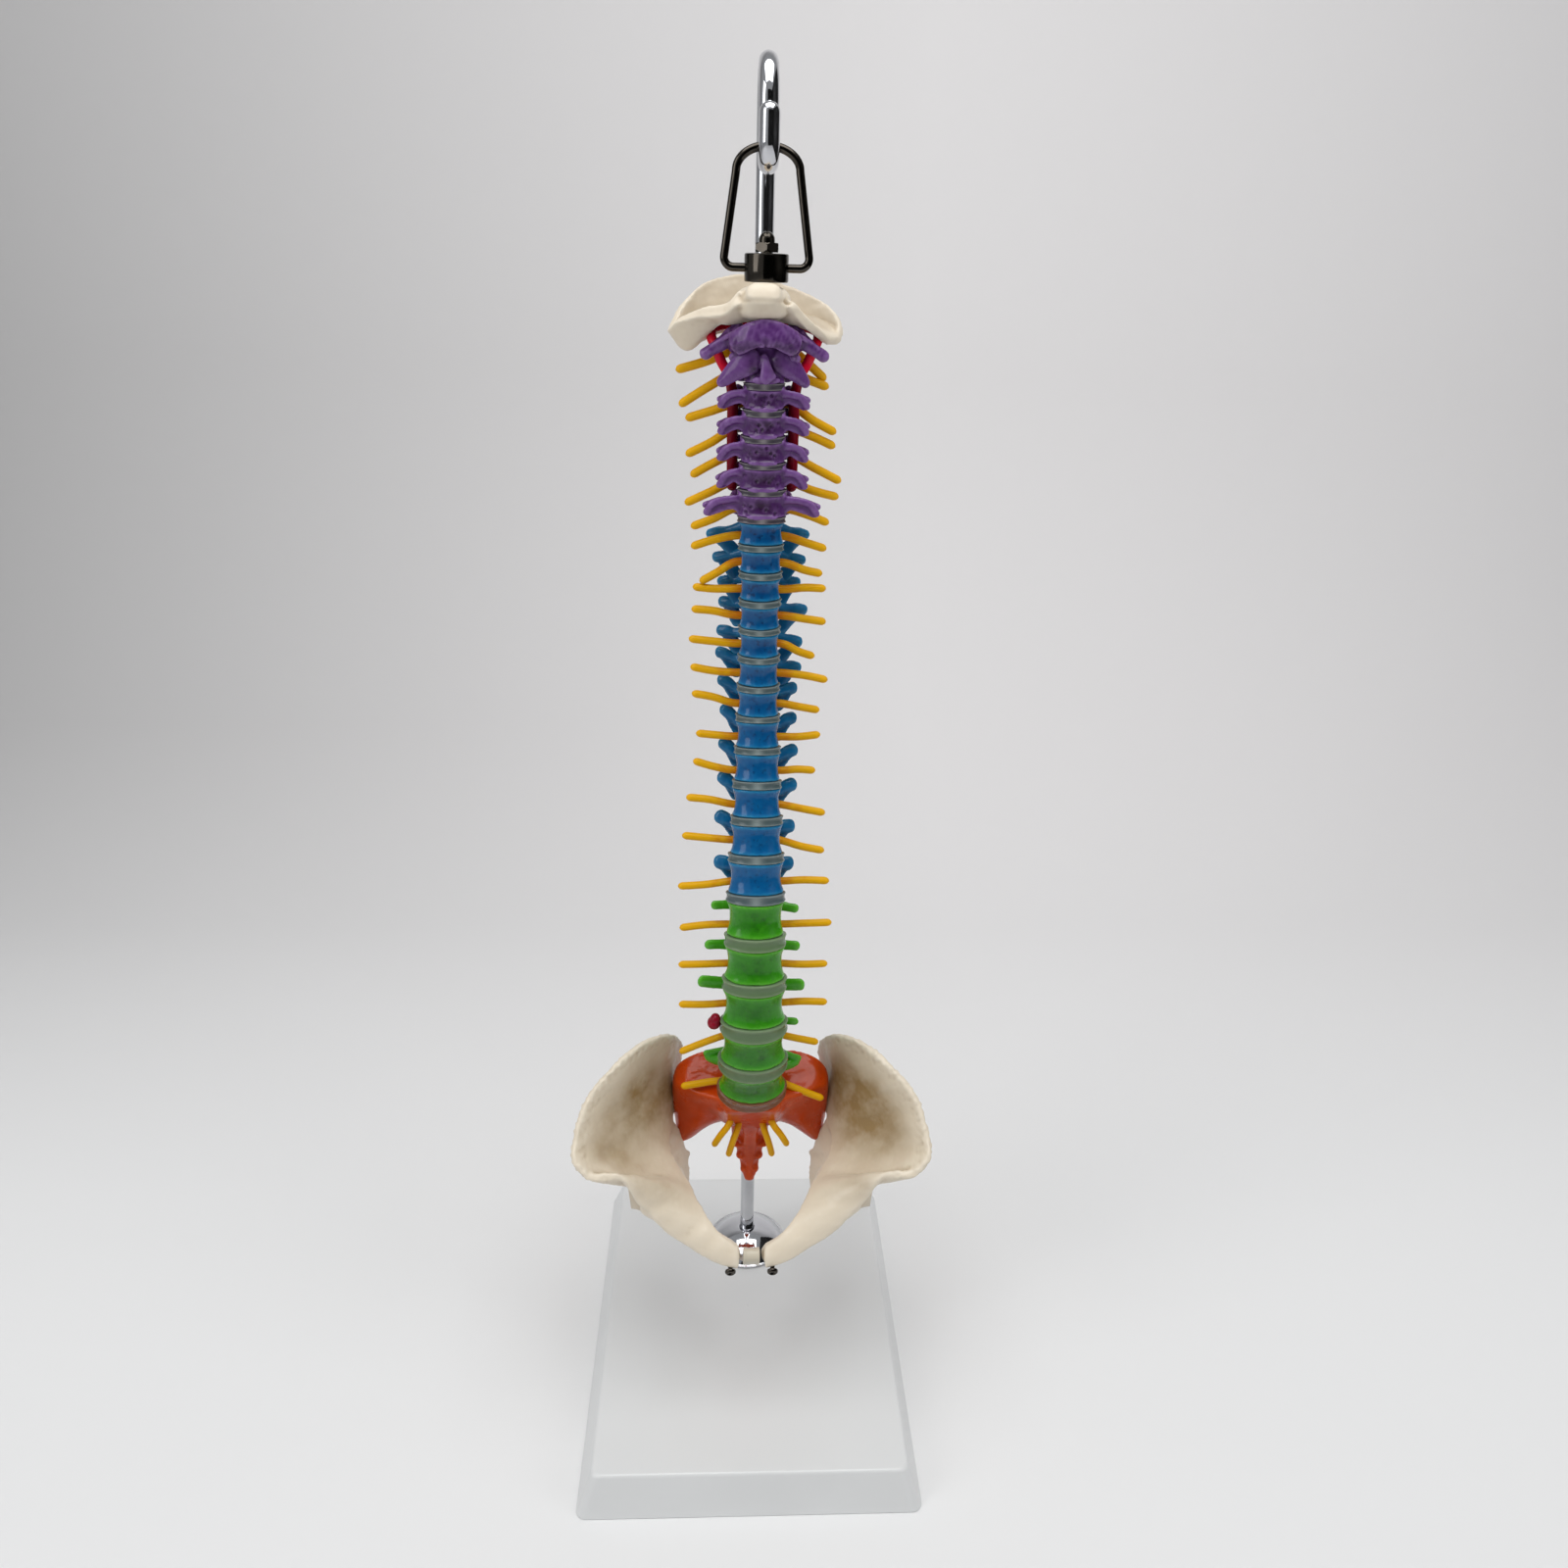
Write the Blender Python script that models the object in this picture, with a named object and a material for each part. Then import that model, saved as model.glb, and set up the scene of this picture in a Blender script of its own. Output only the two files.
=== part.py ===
"""Flexible spine model, about half life size, hanging from a hooked rod on a moulded base.

Metres, +Z up, the front of the body faces -Y. The origin is at the middle of the base's underside.
The column is worked out from the top down: hook, bail, swivel block, skull base, then vertebra by
vertebra to the sacrum, and the pelvis hangs on the sacrum. Each vertebra is made in a frame of its
own with X to the side, Y to the back and Z up through the middle of its body.
"""

import math

import bmesh
import bpy
import numpy as np
from mathutils import Matrix, Vector

# Fits
CLEARANCE = 0.0003
MERGE = 0.000001

# Base: a moulded tray, open underneath
BASE_WIDTH = 0.130
BASE_DEPTH = 0.167
BASE_HEIGHT = 0.016
BASE_DRAFT = 0.0055
BASE_CORNER = 0.004
BASE_EDGE = 0.0012
BASE_WALL = 0.0025
BASE_ROOF = 0.003
RIB_THICKNESS = 0.0016
RIBS_ALONG = 2
RIBS_ACROSS = 3
PAD_RADIUS = 0.010
BOSS_WALL = 0.0045

# Rod, flange and nut
ROD_RADIUS = 0.003
ROD_SETBACK = 0.0375
ROD_FOOT = 0.002
FLANGE_RADIUS = 0.0172
FLANGE_HEIGHT = 0.0085
FLANGE_RIM = 0.0012
FLANGE_WALL = 0.001
NUT_ACROSS = 0.010
NUT_HEIGHT = 0.005
BOSS_RELIEF = 0.0085
SPANNER_ROOM = 0.0021

# Hook at the top of the rod, as high as hangs the sitting bones at this room above the base
HANG_ROOM = 0.0321
CRADLE_SETBACK = 0.0085
CRADLE_RADIUS = 0.006
CRADLE_DROP = 0.0105
TIP_RISE = 0.0065
ROD_SIDES = 12

# Bail: a bent wire whose ends turn into the block
WIRE_RADIUS = 0.00125
BAIL_HEIGHT = 0.0325
BAIL_FOOT_HALF = 0.0128
BAIL_TOP_HALF = 0.0094
BAIL_ARCH_RISE = 0.0065
BAIL_CORNER = 0.0028
BAIL_GRIP = 0.0035

# Swivel block and cap nut
BLOCK_RADIUS = 0.0067
BLOCK_HEIGHT = 0.008
BLOCK_CHAMFER = 0.0006
CAP_ACROSS = 0.0068
CAP_HEX_HEIGHT = 0.0026
CAP_DOME_RADIUS = 0.0024
CAP_HEIGHT = 0.0058
CAP_CEILING = 0.0012

# Column: its length along the bends, from the top of the second neck vertebra's body to the sacrum.
# The heights of bodies and discs further down are parts of it: only their proportions count
COLUMN_LENGTH = 0.2800

# Flexible core and soft discs
CORE_RADIUS = 0.0015
CORE_SIDES = 6
BORE_SIDES = 8
DISC_FLARE = 1.04
OUTLINE_POINTS = 10

# Skull base
SKULL_THICKNESS = 0.009
SKULL_HALF_WIDTH = 0.027
SKULL_BACK = 0.0225
SKULL_SHELL = 0.0024
SKULL_RIM_RISE = 0.0085
SKULL_WING_DROP = 0.014
BASILAR_HALF = 0.0049
BASILAR_REACH = 0.011
BASILAR_RISE = 0.002
SKULL_FRONT = 0.0030
FORAMEN_RADIUS = 0.0050
CONDYLE_RADIUS = 0.0032

# Neck
ATLAS_SEAT = 0.0006
AXIS_SEAT = 0.0002
ATLAS_HEIGHT = 0.0086
ATLAS_HALF_SPAN = 0.0205
ATLAS_TIP_DROP = 0.0105
DENS_RADIUS = 0.0029
AXIS_PART = 10.4
AXIS_HALF_SPAN = 0.0142
CERVICAL_DISC_PART = 2.0
CERVICAL_PARTS = (5.9, 6.9)
CERVICAL_WIDTHS = (0.0128, 0.0160)
CERVICAL_DEPTHS = (0.0085, 0.0095)
CERVICAL_CANAL = 0.0045
CERVICAL_SPANS = (0.0148, 0.0152)
PROMINENT_SPAN = 0.0195
CERVICAL_SPINES = (0.0165, 0.0212)
ARTERY_RADIUS = 0.0012
ARTERY_HALF_GAP = 0.0098
ARTERY_LOOP = ((0.0134, 0.0034, -0.0090), (0.0152, 0.0027, -0.0048), (0.0167, 0.0050, -0.0014),
               (0.0160, 0.0072, 0.0006), (0.0118, 0.0102, 0.0018), (0.0056, 0.0122, 0.0026))

# Chest
THORACIC_PARTS = (7.2, 11.4)
THORACIC_DISC_PARTS = (2.0, 3.2)
THORACIC_NARROWEST = 0.0129
THORACIC_WIDEST = 0.0203
THORACIC_DEPTHS = (0.010, 0.0155)
THORACIC_CANAL = 0.0040
THORACIC_SPANS = (0.0190, 0.0150)
THORACIC_SPINES = (0.0206, 0.0246)

# Loin
LUMBAR_PARTS = (12.6, 14.4)
LUMBAR_DISC_PARTS = (4.2, 5.0)
LUMBAR_WIDTHS = (0.0213, 0.0265)
LUMBAR_DEPTHS = (0.0168, 0.0185)
LUMBAR_CANAL = 0.0050
LUMBAR_SPAN = 0.0212
LUMBAR_SPINES = (0.0270, 0.0262)

# Arches and waists common to all vertebrae. Stations of an arch: angle round the canal in degrees,
# then its lower and upper edge as shares of the body's height
ARCH_WALL = 0.0021
BODY_WAIST = 0.88
ARCH_STATIONS = ((12, -0.02, 0.46), (42, -0.25, 0.60), (66, -0.60, 0.30), (90, -0.50, 0.20))
AXIS_STATIONS = ((10, -0.02, 0.22), (45, -0.26, 0.22), (68, -0.48, 0.20), (90, -0.42, 0.22))

# Lean of each vertebra, in degrees: positive turns its front edge down
LEANS = (("C2", 0), ("C4", 7), ("T1", 1), ("T4", 3), ("T6", -2), ("T9", -14), ("T12", -14),
         ("L3", -3), ("L5", 20), ("S1", 32))

# Cord and nerve roots
CORD_RADIUS = 0.0021
NERVE_RADIUS = 0.00135
NERVE_SIDES = 5
NERVE_KNEE = 0.0085
NERVE_NECK_BACK = 0.0026
NERVE_TIP_BACK = 0.0010

# Each pair of roots: it leaves below this level's middle by a share of its height; then reach and
# rise of the tip from the root's exit, on the photograph's left and on its right. The rise is in
# parts of the column, as neighbouring roots cross there
NERVE_TIPS = (
    ("C1", 0.02, 0.0280, -7.0, 0.0200, -8.9), ("C2", 0.02, 0.0270, -11.0, 0.0210, -4.5),
    ("C3", 0.02, 0.0250, -5.5, 0.0240, -9.0), ("C4", 0.02, 0.0250, -9.5, 0.0240, -6.0),
    ("C5", 0.02, 0.0235, -8.0, 0.0265, -9.0), ("C6", 0.02, 0.0255, -8.5, 0.0260, -5.5),
    ("C7", 0.02, 0.0235, -7.0, 0.0230, -5.0), ("T1", 0.02, 0.0235, -4.5, 0.0225, -4.5),
    ("T2", 0.02, 0.0205, -7.5, 0.0215, -4.0), ("T3", 0.02, 0.0230, 0.0, 0.0230, 0.0),
    ("T4", 0.02, 0.0235, 1.5, 0.0235, -2.5), ("T5", 0.02, 0.0245, 1.0, 0.0200, -5.0),
    ("T6", 0.02, 0.0240, 1.5, 0.0250, -3.0), ("T7", 0.02, 0.0235, 3.0, 0.0225, -3.0),
    ("T8", 0.02, 0.0220, 0.5, 0.0230, 0.5), ("T9", 0.02, 0.0230, 3.0, 0.0215, -0.5),
    ("T10", 0.02, 0.0255, 2.0, 0.0255, -4.0), ("T11", 0.02, 0.0270, 1.0, 0.0255, -5.0),
    ("T12", 0.15, 0.0285, -3.0, 0.0275, -0.5), ("L1", 0.33, 0.0280, -2.5, 0.0290, 0.0),
    ("L2", 0.33, 0.0285, -1.5, 0.0280, -1.0), ("L3", 0.33, 0.0285, -1.5, 0.0285, -0.5),
    ("L4", 0.33, 0.0285, -9.5, 0.0260, -5.0), ("L5", 0.60, 0.0280, -3.0, 0.0290, -9.5),
)

# Sacrum: half width, front edge, rear edge, length along the bone and lean at each section
SACRUM_SECTIONS = (
    (0.0280, -0.0090, 0.0195, 0.000, 32),
    (0.0315, -0.0086, 0.0205, 0.006, 34),
    (0.0305, -0.0080, 0.0180, 0.013, 33),
    (0.0250, -0.0072, 0.0150, 0.019, 31),
    (0.0125, -0.0064, 0.0125, 0.025, 27),
    (0.0090, -0.0052, 0.0095, 0.033, 19),
    (0.0072, -0.0040, 0.0066, 0.041, 8),
    (0.0048, -0.0030, 0.0040, 0.048, -6),
    (0.0034, -0.0022, 0.0026, 0.054, -18),
    (0.0018, -0.0014, 0.0014, 0.059, -28),
)
SACRUM_REAR_DROP = 0.0036
SACRUM_WING_DROP = 0.0012

# Pelvis landmarks, from the middle of the sacrum's upper face: side, back, up
CREST = ((0.0300, 0.0285, -0.0020), (0.0300, 0.0235, 0.0075), (0.0345, 0.0124, 0.0175),
         (0.0425, 0.0034, 0.0195), (0.0510, -0.0076, 0.0160), (0.0605, -0.0166, 0.0080),
         (0.0675, -0.0236, -0.0005), (0.0655, -0.0376, -0.0125))
BRIM = ((0.0300, 0.0250, -0.0175), (0.0315, 0.0190, -0.0205), (0.0335, 0.0104, -0.0225),
        (0.0365, 0.0024, -0.0265), (0.0400, -0.0066, -0.0300), (0.0440, -0.0146, -0.0305),
        (0.0485, -0.0226, -0.0300), (0.0540, -0.0326, -0.0225))
WALL_TOP = ((0.0335, 0.0104, -0.0215), (0.0365, 0.0024, -0.0255), (0.0400, -0.0066, -0.0290),
            (0.0430, -0.0130, -0.0300))
WALL_FOOT = ((0.0290, 0.0130, -0.0320), (0.0262, 0.0108, -0.0500), (0.0280, 0.0034, -0.0600),
             (0.0340, -0.0076, -0.0600))
CREST_HALF_WALL = 0.0022
BLADE_HALF_WALL = 0.0013
BRIM_HALF_WALL = 0.0028
SIDE_HALF_WALL = 0.0019
BLADE_DISH = 0.0030
SIDE_DISH = 0.0008
EAR_CENTRE = (0.0335, 0.0135, -0.0045)
EAR_RADII = (0.0052, 0.0090, 0.0115)
SOCKET_CENTRE = (0.0400, -0.0156, -0.0395)
SOCKET_OUTER = 0.0110
SOCKET_BALL = 0.0105
SOCKET_OFFSET = (0.0092, -0.0046, -0.0042)
UPPER_RAMUS = ((0.0410, -0.0196, -0.0355, 0.0070), (0.0300, -0.0296, -0.0385, 0.0048),
               (0.0220, -0.0346, -0.0420, 0.0043), (0.0140, -0.0376, -0.0450, 0.0043),
               (0.0062, -0.0388, -0.0480, 0.0050))
LOWER_RAMUS = ((0.0062, -0.0366, -0.0515, 0.0048), (0.0125, -0.0290, -0.0585, 0.0036),
               (0.0210, -0.0176, -0.0680, 0.0036), (0.0285, -0.0046, -0.0760, 0.0054),
               (0.0330, -0.0036, -0.0650, 0.0056), (0.0390, -0.0116, -0.0480, 0.0068))
SYMPHYSIS_CENTRE = (0.0, -0.0371, -0.0495)
SYMPHYSIS_HALF_GAP = 0.0031
SYMPHYSIS_HEIGHT = 0.0130
SYMPHYSIS_DEPTH = 0.0064
SYMPHYSIS_LEAN = 38
SCREW_HEAD_RADIUS = 0.0021
SCREW_HEAD_HEIGHT = 0.0014
SCREW_SHANK_RADIUS = 0.0009
SCREW_LENGTH = 0.0040
SCREW_LEAN = 20
SCREW_PLACE = (0.0080, -0.0428, -0.0510)

# Slipped disc: a soft bead at the side of the disc between the third and fourth lumbar vertebrae
PROLAPSE_RADIUS = 0.0029
PROLAPSE_SQUASH = 0.78


def clear_scene():
    """Empty the scene of objects, meshes and curves."""
    for obj in list(bpy.data.objects):
        bpy.data.objects.remove(obj, do_unlink=True)


def material(name, colour, roughness, metallic=0.0):
    """A Principled material of one colour."""
    made = bpy.data.materials.new(name)
    made.use_nodes = True
    shader = made.node_tree.nodes["Principled BSDF"]
    shader.inputs["Base Color"].default_value = (*colour, 1.0)
    shader.inputs["Roughness"].default_value = roughness
    shader.inputs["Metallic"].default_value = metallic
    made.diffuse_color = (*colour, 1.0)
    return made


def place(name, mesh, finish, carrier=None, location=(0, 0, 0), lean=0.0):
    """Object made of a mesh, at a world place, under the empty that carries it."""
    mesh.name = name
    mesh.materials.clear()
    mesh.materials.append(finish)
    mesh.shade_smooth()
    mesh.set_sharp_from_angle(angle=math.radians(35))
    made = bpy.data.objects.new(name, mesh)
    bpy.context.scene.collection.objects.link(made)
    made.parent = carrier
    made.location = Vector(location) - (carrier.location if carrier else Vector())
    made.rotation_euler = (lean, 0, 0)
    return made


def empty(name, location):
    """Carrier for the pieces that turn together about a joint."""
    made = bpy.data.objects.new(name, None)
    made.location = location
    bpy.context.scene.collection.objects.link(made)
    return made


def blend(ends, share):
    """Value between two ends of a range."""
    return ends[0] + (ends[1] - ends[0]) * share


def mesh_from(bm):
    """Mesh with its faces pointing out, from a bmesh that is then freed."""
    bmesh.ops.recalc_face_normals(bm, faces=bm.faces)
    mesh = bpy.data.meshes.new("shape")
    bm.to_mesh(mesh)
    bm.free()
    return mesh


def loft(rings, closed=False):
    """Solid through rings of equally many points: capped at both ends, or joined end to end."""
    bm = bmesh.new()
    rows = [[bm.verts.new(p) for p in ring] for ring in rings]
    pairs = list(zip(rows, rows[1:]))
    if closed:
        pairs.append((rows[-1], rows[0]))
    for low, high in pairs:
        for i in range(len(low)):
            j = (i + 1) % len(low)
            bm.faces.new((low[i], low[j], high[j], high[i]))
    if not closed:
        bm.faces.new(list(reversed(rows[0])))
        bm.faces.new(rows[-1])
    return mesh_from(bm)


def turned(profile, sides):
    """Solid of revolution about Z: the profile's (radius, height) points, closed on themselves."""
    angles = [2 * math.pi * i / sides for i in range(sides)]
    rings = [[(r * math.cos(a), r * math.sin(a), z) for a in angles] for r, z in profile]
    return loft(rings, closed=True)


def plug(profile, sides, start=0.0):
    """Solid of revolution without a bore: rings from the lowest to the highest, with flat ends."""
    angles = [start + 2 * math.pi * i / sides for i in range(sides)]
    return loft([[(r * math.cos(a), r * math.sin(a), z) for a in angles] for r, z in profile])


def tube(points, radii, sides, flatten=1.0):
    """Round bar along a route, its rings turned as little as possible from one to the next."""
    route = [Vector(p) for p in points]
    if not hasattr(radii, "__len__"):
        radii = [radii] * len(route)
    side = None
    rings = []
    for i, (centre, radius) in enumerate(zip(route, radii)):
        ahead = route[min(i + 1, len(route) - 1)] - centre
        behind = centre - route[max(i - 1, 0)]
        along = (ahead.normalized() + behind.normalized()).normalized()
        if side is None:
            side = Vector((1, 0, 0)) if abs(along.x) < 0.9 else Vector((0, 0, 1))
        side = (side - along * side.dot(along)).normalized()
        up = along.cross(side)
        bend = 1.0
        if 0 < i < len(route) - 1:
            bend = math.sqrt(max(0.25, (1 + ahead.normalized().dot(behind.normalized())) / 2))
        wide, high = radius * flatten, radius / bend
        rings.append([centre + side * (wide * math.cos(a)) + up * (high * math.sin(a))
                      for a in (2 * math.pi * (k + 0.5) / sides for k in range(sides))])
    return loft(rings)


def ball(centre, radii, rings=6, sides=10):
    """Closed ellipsoid with flat little ends."""
    profile = [(max(0.18, math.sin(math.pi * i / rings)), -math.cos(math.pi * i / rings))
               for i in range(rings + 1)]
    made = plug([(r, h) for r, h in profile], sides)
    made.transform(Matrix.Translation(centre) @ Matrix.Diagonal((*radii, 1.0)))
    return made


def mirrored(mesh):
    """Copy of a mesh mirrored left to right, with its faces pointing out."""
    made = mesh.copy()
    made.transform(Matrix.Diagonal((-1, 1, 1, 1)))
    made.flip_normals()
    return made


def gathered(meshes):
    """One mesh that holds several separate closed shapes."""
    bm = bmesh.new()
    for mesh in meshes:
        bm.from_mesh(mesh)
    made = bpy.data.meshes.new("shapes")
    bm.to_mesh(made)
    bm.free()
    return made


def combined(mesh, tools, operation):
    """Mesh joined with, or cut by, each tool in turn."""
    scene = bpy.context.scene.collection
    target = bpy.data.objects.new("target", mesh)
    scene.objects.link(target)
    helpers = []
    for tool in tools:
        helper = bpy.data.objects.new("helper", tool)
        scene.objects.link(helper)
        helpers.append(helper)
        step = target.modifiers.new("step", "BOOLEAN")
        step.operation = operation
        step.solver = "EXACT"
        step.object = helper
    depsgraph = bpy.context.evaluated_depsgraph_get()
    depsgraph.update()
    made = bpy.data.meshes.new_from_object(target.evaluated_get(depsgraph))
    for obj in (target, *helpers):
        bpy.data.objects.remove(obj, do_unlink=True)
    bm = bmesh.new()
    bm.from_mesh(made)
    bmesh.ops.remove_doubles(bm, verts=bm.verts, dist=MERGE)
    bm.to_mesh(made)
    bm.free()
    return made


def joined(mesh, *tools):
    """One solid from a mesh and the shapes that grow out of it."""
    return combined(mesh, tools, "UNION")


def cut(mesh, *tools):
    """Mesh with room made for each tool."""
    return combined(mesh, tools, "DIFFERENCE")


def swollen(mesh, amount):
    """Copy of a mesh pushed out along its normals, to cut a fit with room round it."""
    bm = bmesh.new()
    bm.from_mesh(mesh)
    bm.normal_update()
    for vert in bm.verts:
        vert.co += vert.normal * (amount * min(vert.calc_shell_factor(), 2.0))
    made = bpy.data.meshes.new("swollen")
    bm.to_mesh(made)
    bm.free()
    return made


class Level:
    """Frame of one vertebra: the middle of its body, its lean and its sizes."""

    def __init__(self, name, centre, lean, height, width, depth, canal):
        self.name = name
        self.centre = Vector(centre)
        self.lean = lean
        self.height = height
        self.width = width
        self.depth = depth
        self.canal = canal

    @property
    def matrix(self):
        """Place and lean of the vertebra in the world."""
        return Matrix.Translation(self.centre) @ Matrix.Rotation(self.lean, 4, "X")

    @property
    def canal_back(self):
        """Distance from the middle of the body back to the middle of the canal."""
        return self.depth * 0.42 + self.canal

    def point(self, x, y, z):
        """World place of a point of the vertebra."""
        return self.matrix @ Vector((x, y, z))


def lean_at(names, name):
    """Lean of a named level, eased between the levels that state one."""
    stated = [(names.index(n), math.radians(a)) for n, a in LEANS]
    here = names.index(name)
    for (low, a), (high, b) in zip(stated, stated[1:]):
        if low <= here <= high:
            share = (here - low) / (high - low)
            return a + (b - a) * (3 - 2 * share) * share * share
    return stated[0][1]


def vertebra_table():
    """Height, width, depth, canal radius and disc below of C2 to L5, the heights and discs in parts."""
    sizes = {"C2": (AXIS_PART, CERVICAL_WIDTHS[0], CERVICAL_DEPTHS[0], CERVICAL_CANAL, CERVICAL_DISC_PART)}
    for i in range(5):
        share = i / 4
        sizes["C%d" % (i + 3)] = (blend(CERVICAL_PARTS, share), blend(CERVICAL_WIDTHS, share),
                                  blend(CERVICAL_DEPTHS, share), CERVICAL_CANAL, CERVICAL_DISC_PART)
    for i in range(12):
        share = i / 11
        spread = ((share - 0.35) / 0.65) ** 2
        sizes["T%d" % (i + 1)] = (blend(THORACIC_PARTS, share * share),
                                  blend((THORACIC_NARROWEST, THORACIC_WIDEST), spread),
                                  blend(THORACIC_DEPTHS, share), THORACIC_CANAL,
                                  blend(THORACIC_DISC_PARTS, share))
    for i in range(5):
        share = i / 4
        sizes["L%d" % (i + 1)] = (blend(LUMBAR_PARTS, share), blend(LUMBAR_WIDTHS, share),
                                  blend(LUMBAR_DEPTHS, share), LUMBAR_CANAL,
                                  blend(LUMBAR_DISC_PARTS, share))
    return sizes


def part_length():
    """Length of one part of the column."""
    return COLUMN_LENGTH / sum(high + disc for high, _, _, _, disc in vertebra_table().values())


def spine_levels(top):
    """Levels C2 to L5 and the sacrum's upper face, hung one under the other from a top point."""
    sizes = vertebra_table()
    part = part_length()
    names = list(sizes) + ["S1"]
    levels = {}
    seat = Vector(top)
    disc = 0.0
    lean_above = lean_at(names, "C2")
    for name in sizes:
        high_parts, width, depth, canal, disc_parts = sizes[name]
        height = high_parts * part
        lean = lean_at(names, name)
        middle = (lean + lean_above) / 2
        seat = seat + Vector((0, math.sin(middle), -math.cos(middle))) * disc
        down = Vector((0, math.sin(lean), -math.cos(lean)))
        levels[name] = Level(name, seat + down * (height / 2), lean, height, width, depth, canal)
        seat = seat + down * height
        disc = disc_parts * part
        lean_above = lean
    lean = lean_at(names, "S1")
    middle = (lean + lean_above) / 2
    seat = seat + Vector((0, math.sin(middle), -math.cos(middle))) * disc
    levels["S1"] = Level("S1", seat, lean, 0.0, LUMBAR_WIDTHS[1], LUMBAR_DEPTHS[1], LUMBAR_CANAL)
    return levels


def body_outline(width, depth, z, count=OUTLINE_POINTS):
    """Outline of a vertebral body: rounded in front, flat and a little hollow behind."""
    ring = []
    for i in range(count):
        a = 2 * math.pi * i / count
        x = math.cos(a) * width / 2
        y = math.sin(a) * depth / 2
        if y > 0:
            y *= 0.80 - 0.10 * math.sin(a) ** 4
        ring.append((x, y, z))
    return ring


def bore(radius, low, high):
    """Straight cutter for a hole along Z whose flats clear the radius."""
    corner = radius / math.cos(math.pi / BORE_SIDES)
    return plug([(corner, low), (corner, high)], BORE_SIDES)


def waisted_body(level):
    """Body of a vertebra: a spool that is narrower at mid height."""
    half = level.height / 2
    return loft([body_outline(level.width * s, level.depth * s, z)
                 for s, z in ((1.0, -half), (BODY_WAIST, 0.0), (1.0, half))])


def arch_band(level, stations):
    """Neural arch: a band round the canal, each station (angle, low, high) in degrees and heights."""
    inner = level.canal
    outer = level.canal + ARCH_WALL
    back = level.canal_back
    spots = []
    for angle, low, high in stations:
        a = math.radians(angle)
        spots.append((math.cos(a), math.sin(a), low, high))
    half = [((min(inner * 0.8, level.width * 0.30), level.depth * 0.10),
             (min(outer, level.width * 0.44), level.depth * 0.08), stations[0][1], stations[0][2] * 0.9)]
    for c, s, low, high in spots:
        half.append(((inner * c, back + inner * s), (outer * c, back + outer * s), low, high))
    other = [((-i[0], i[1]), (-o[0], o[1]), low, high) for i, o, low, high in reversed(half[:-1])]
    h = level.height
    return loft([[(*i, low * h), (*o, low * h), (*o, high * h), (*i, high * h)]
                 for i, o, low, high in half + other])


def lobe(start, end, root, tip, knob=None):
    """Tapering process of four sides: root and tip are (half width, half height) pairs."""
    a, b = Vector(start), Vector(end)
    along = (b - a).normalized()
    up = Vector((0, 0, 1))
    side = along.cross(up).normalized()
    up = side.cross(along).normalized()
    rings = []
    stops = [(0.0, root), (0.72, tip if knob is None else knob), (1.0, tip)]
    for share, (w, h) in stops:
        centre = a.lerp(b, share)
        rings.append([centre + side * w + up * h * 0.5, centre + side * w * 0.4 + up * h,
                      centre - side * w + up * h * 0.5, centre - side * w - up * h * 0.5,
                      centre - side * w * 0.4 - up * h, centre + side * w - up * h * 0.5])
    return loft(rings)


def processes(level, span, spine, wing):
    """The two side processes and the spinous process of a vertebra."""
    h = level.height
    back = level.canal_back
    root_x = level.canal + ARCH_WALL * 0.4
    root = (root_x, back + wing["root_back"], wing["root_up"] * h)
    tip = (span, back + wing["tip_back"], wing["tip_up"] * h)
    side = lobe(root, tip, wing["root"], wing["tip"], wing["knob"])
    rear = back + level.canal + ARCH_WALL * 0.4
    drop = spine["root_up"] * h
    tail = lobe((0, rear, drop), (0, spine["tip_back"], drop - spine["drop"]),
                spine["root"], spine["tip"], spine["knob"])
    return side, mirrored(side), tail


def vertebra(level, span, spine, wing):
    """Closed solid of one vertebra with the core's bore through its body."""
    arch = arch_band(level, ARCH_STATIONS)
    shape = joined(waisted_body(level), arch, *processes(level, span, spine, wing))
    half = level.height / 2
    return cut(shape, bore(CORE_RADIUS + CLEARANCE, -2 * half, 2 * half))


def cervical(level, share, span):
    """Vertebra of the neck, with short forked side processes and a short split spine."""
    spine = {"root_up": -0.10, "tip_back": blend(CERVICAL_SPINES, share),
             "drop": blend((0.0012, 0.0030), share), "root": (0.0011, 0.0024),
             "tip": (0.0012, 0.0013), "knob": (0.0010, 0.0019)}
    wing = {"root_back": -0.0045, "root_up": 0.10, "tip_back": -0.0040, "tip_up": -0.12,
            "root": (0.0022, 0.0018), "tip": (0.0020, 0.0012), "knob": (0.0027, 0.0015)}
    return vertebra(level, span, spine, wing)


def thoracic(level, share):
    """Vertebra of the chest, with backswept side processes and a long sloping spine."""
    steep = math.sin(math.pi * min(1.0, share * 1.15))
    spine = {"root_up": -0.10, "tip_back": blend(THORACIC_SPINES, share ** 2) - 0.0014 * steep,
             "drop": 0.0022 + 0.0062 * steep,
             "root": (0.0012, 0.0030), "tip": (0.0010, 0.0015), "knob": (0.0009, 0.0019)}
    wing = {"root_back": 0.0010, "root_up": 0.16, "tip_back": 0.0050, "tip_up": 0.30,
            "root": (0.0020, 0.0021), "tip": (0.0017, 0.0017), "knob": (0.0019, 0.0020)}
    return vertebra(level, blend(THORACIC_SPANS, share), spine, wing)


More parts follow.
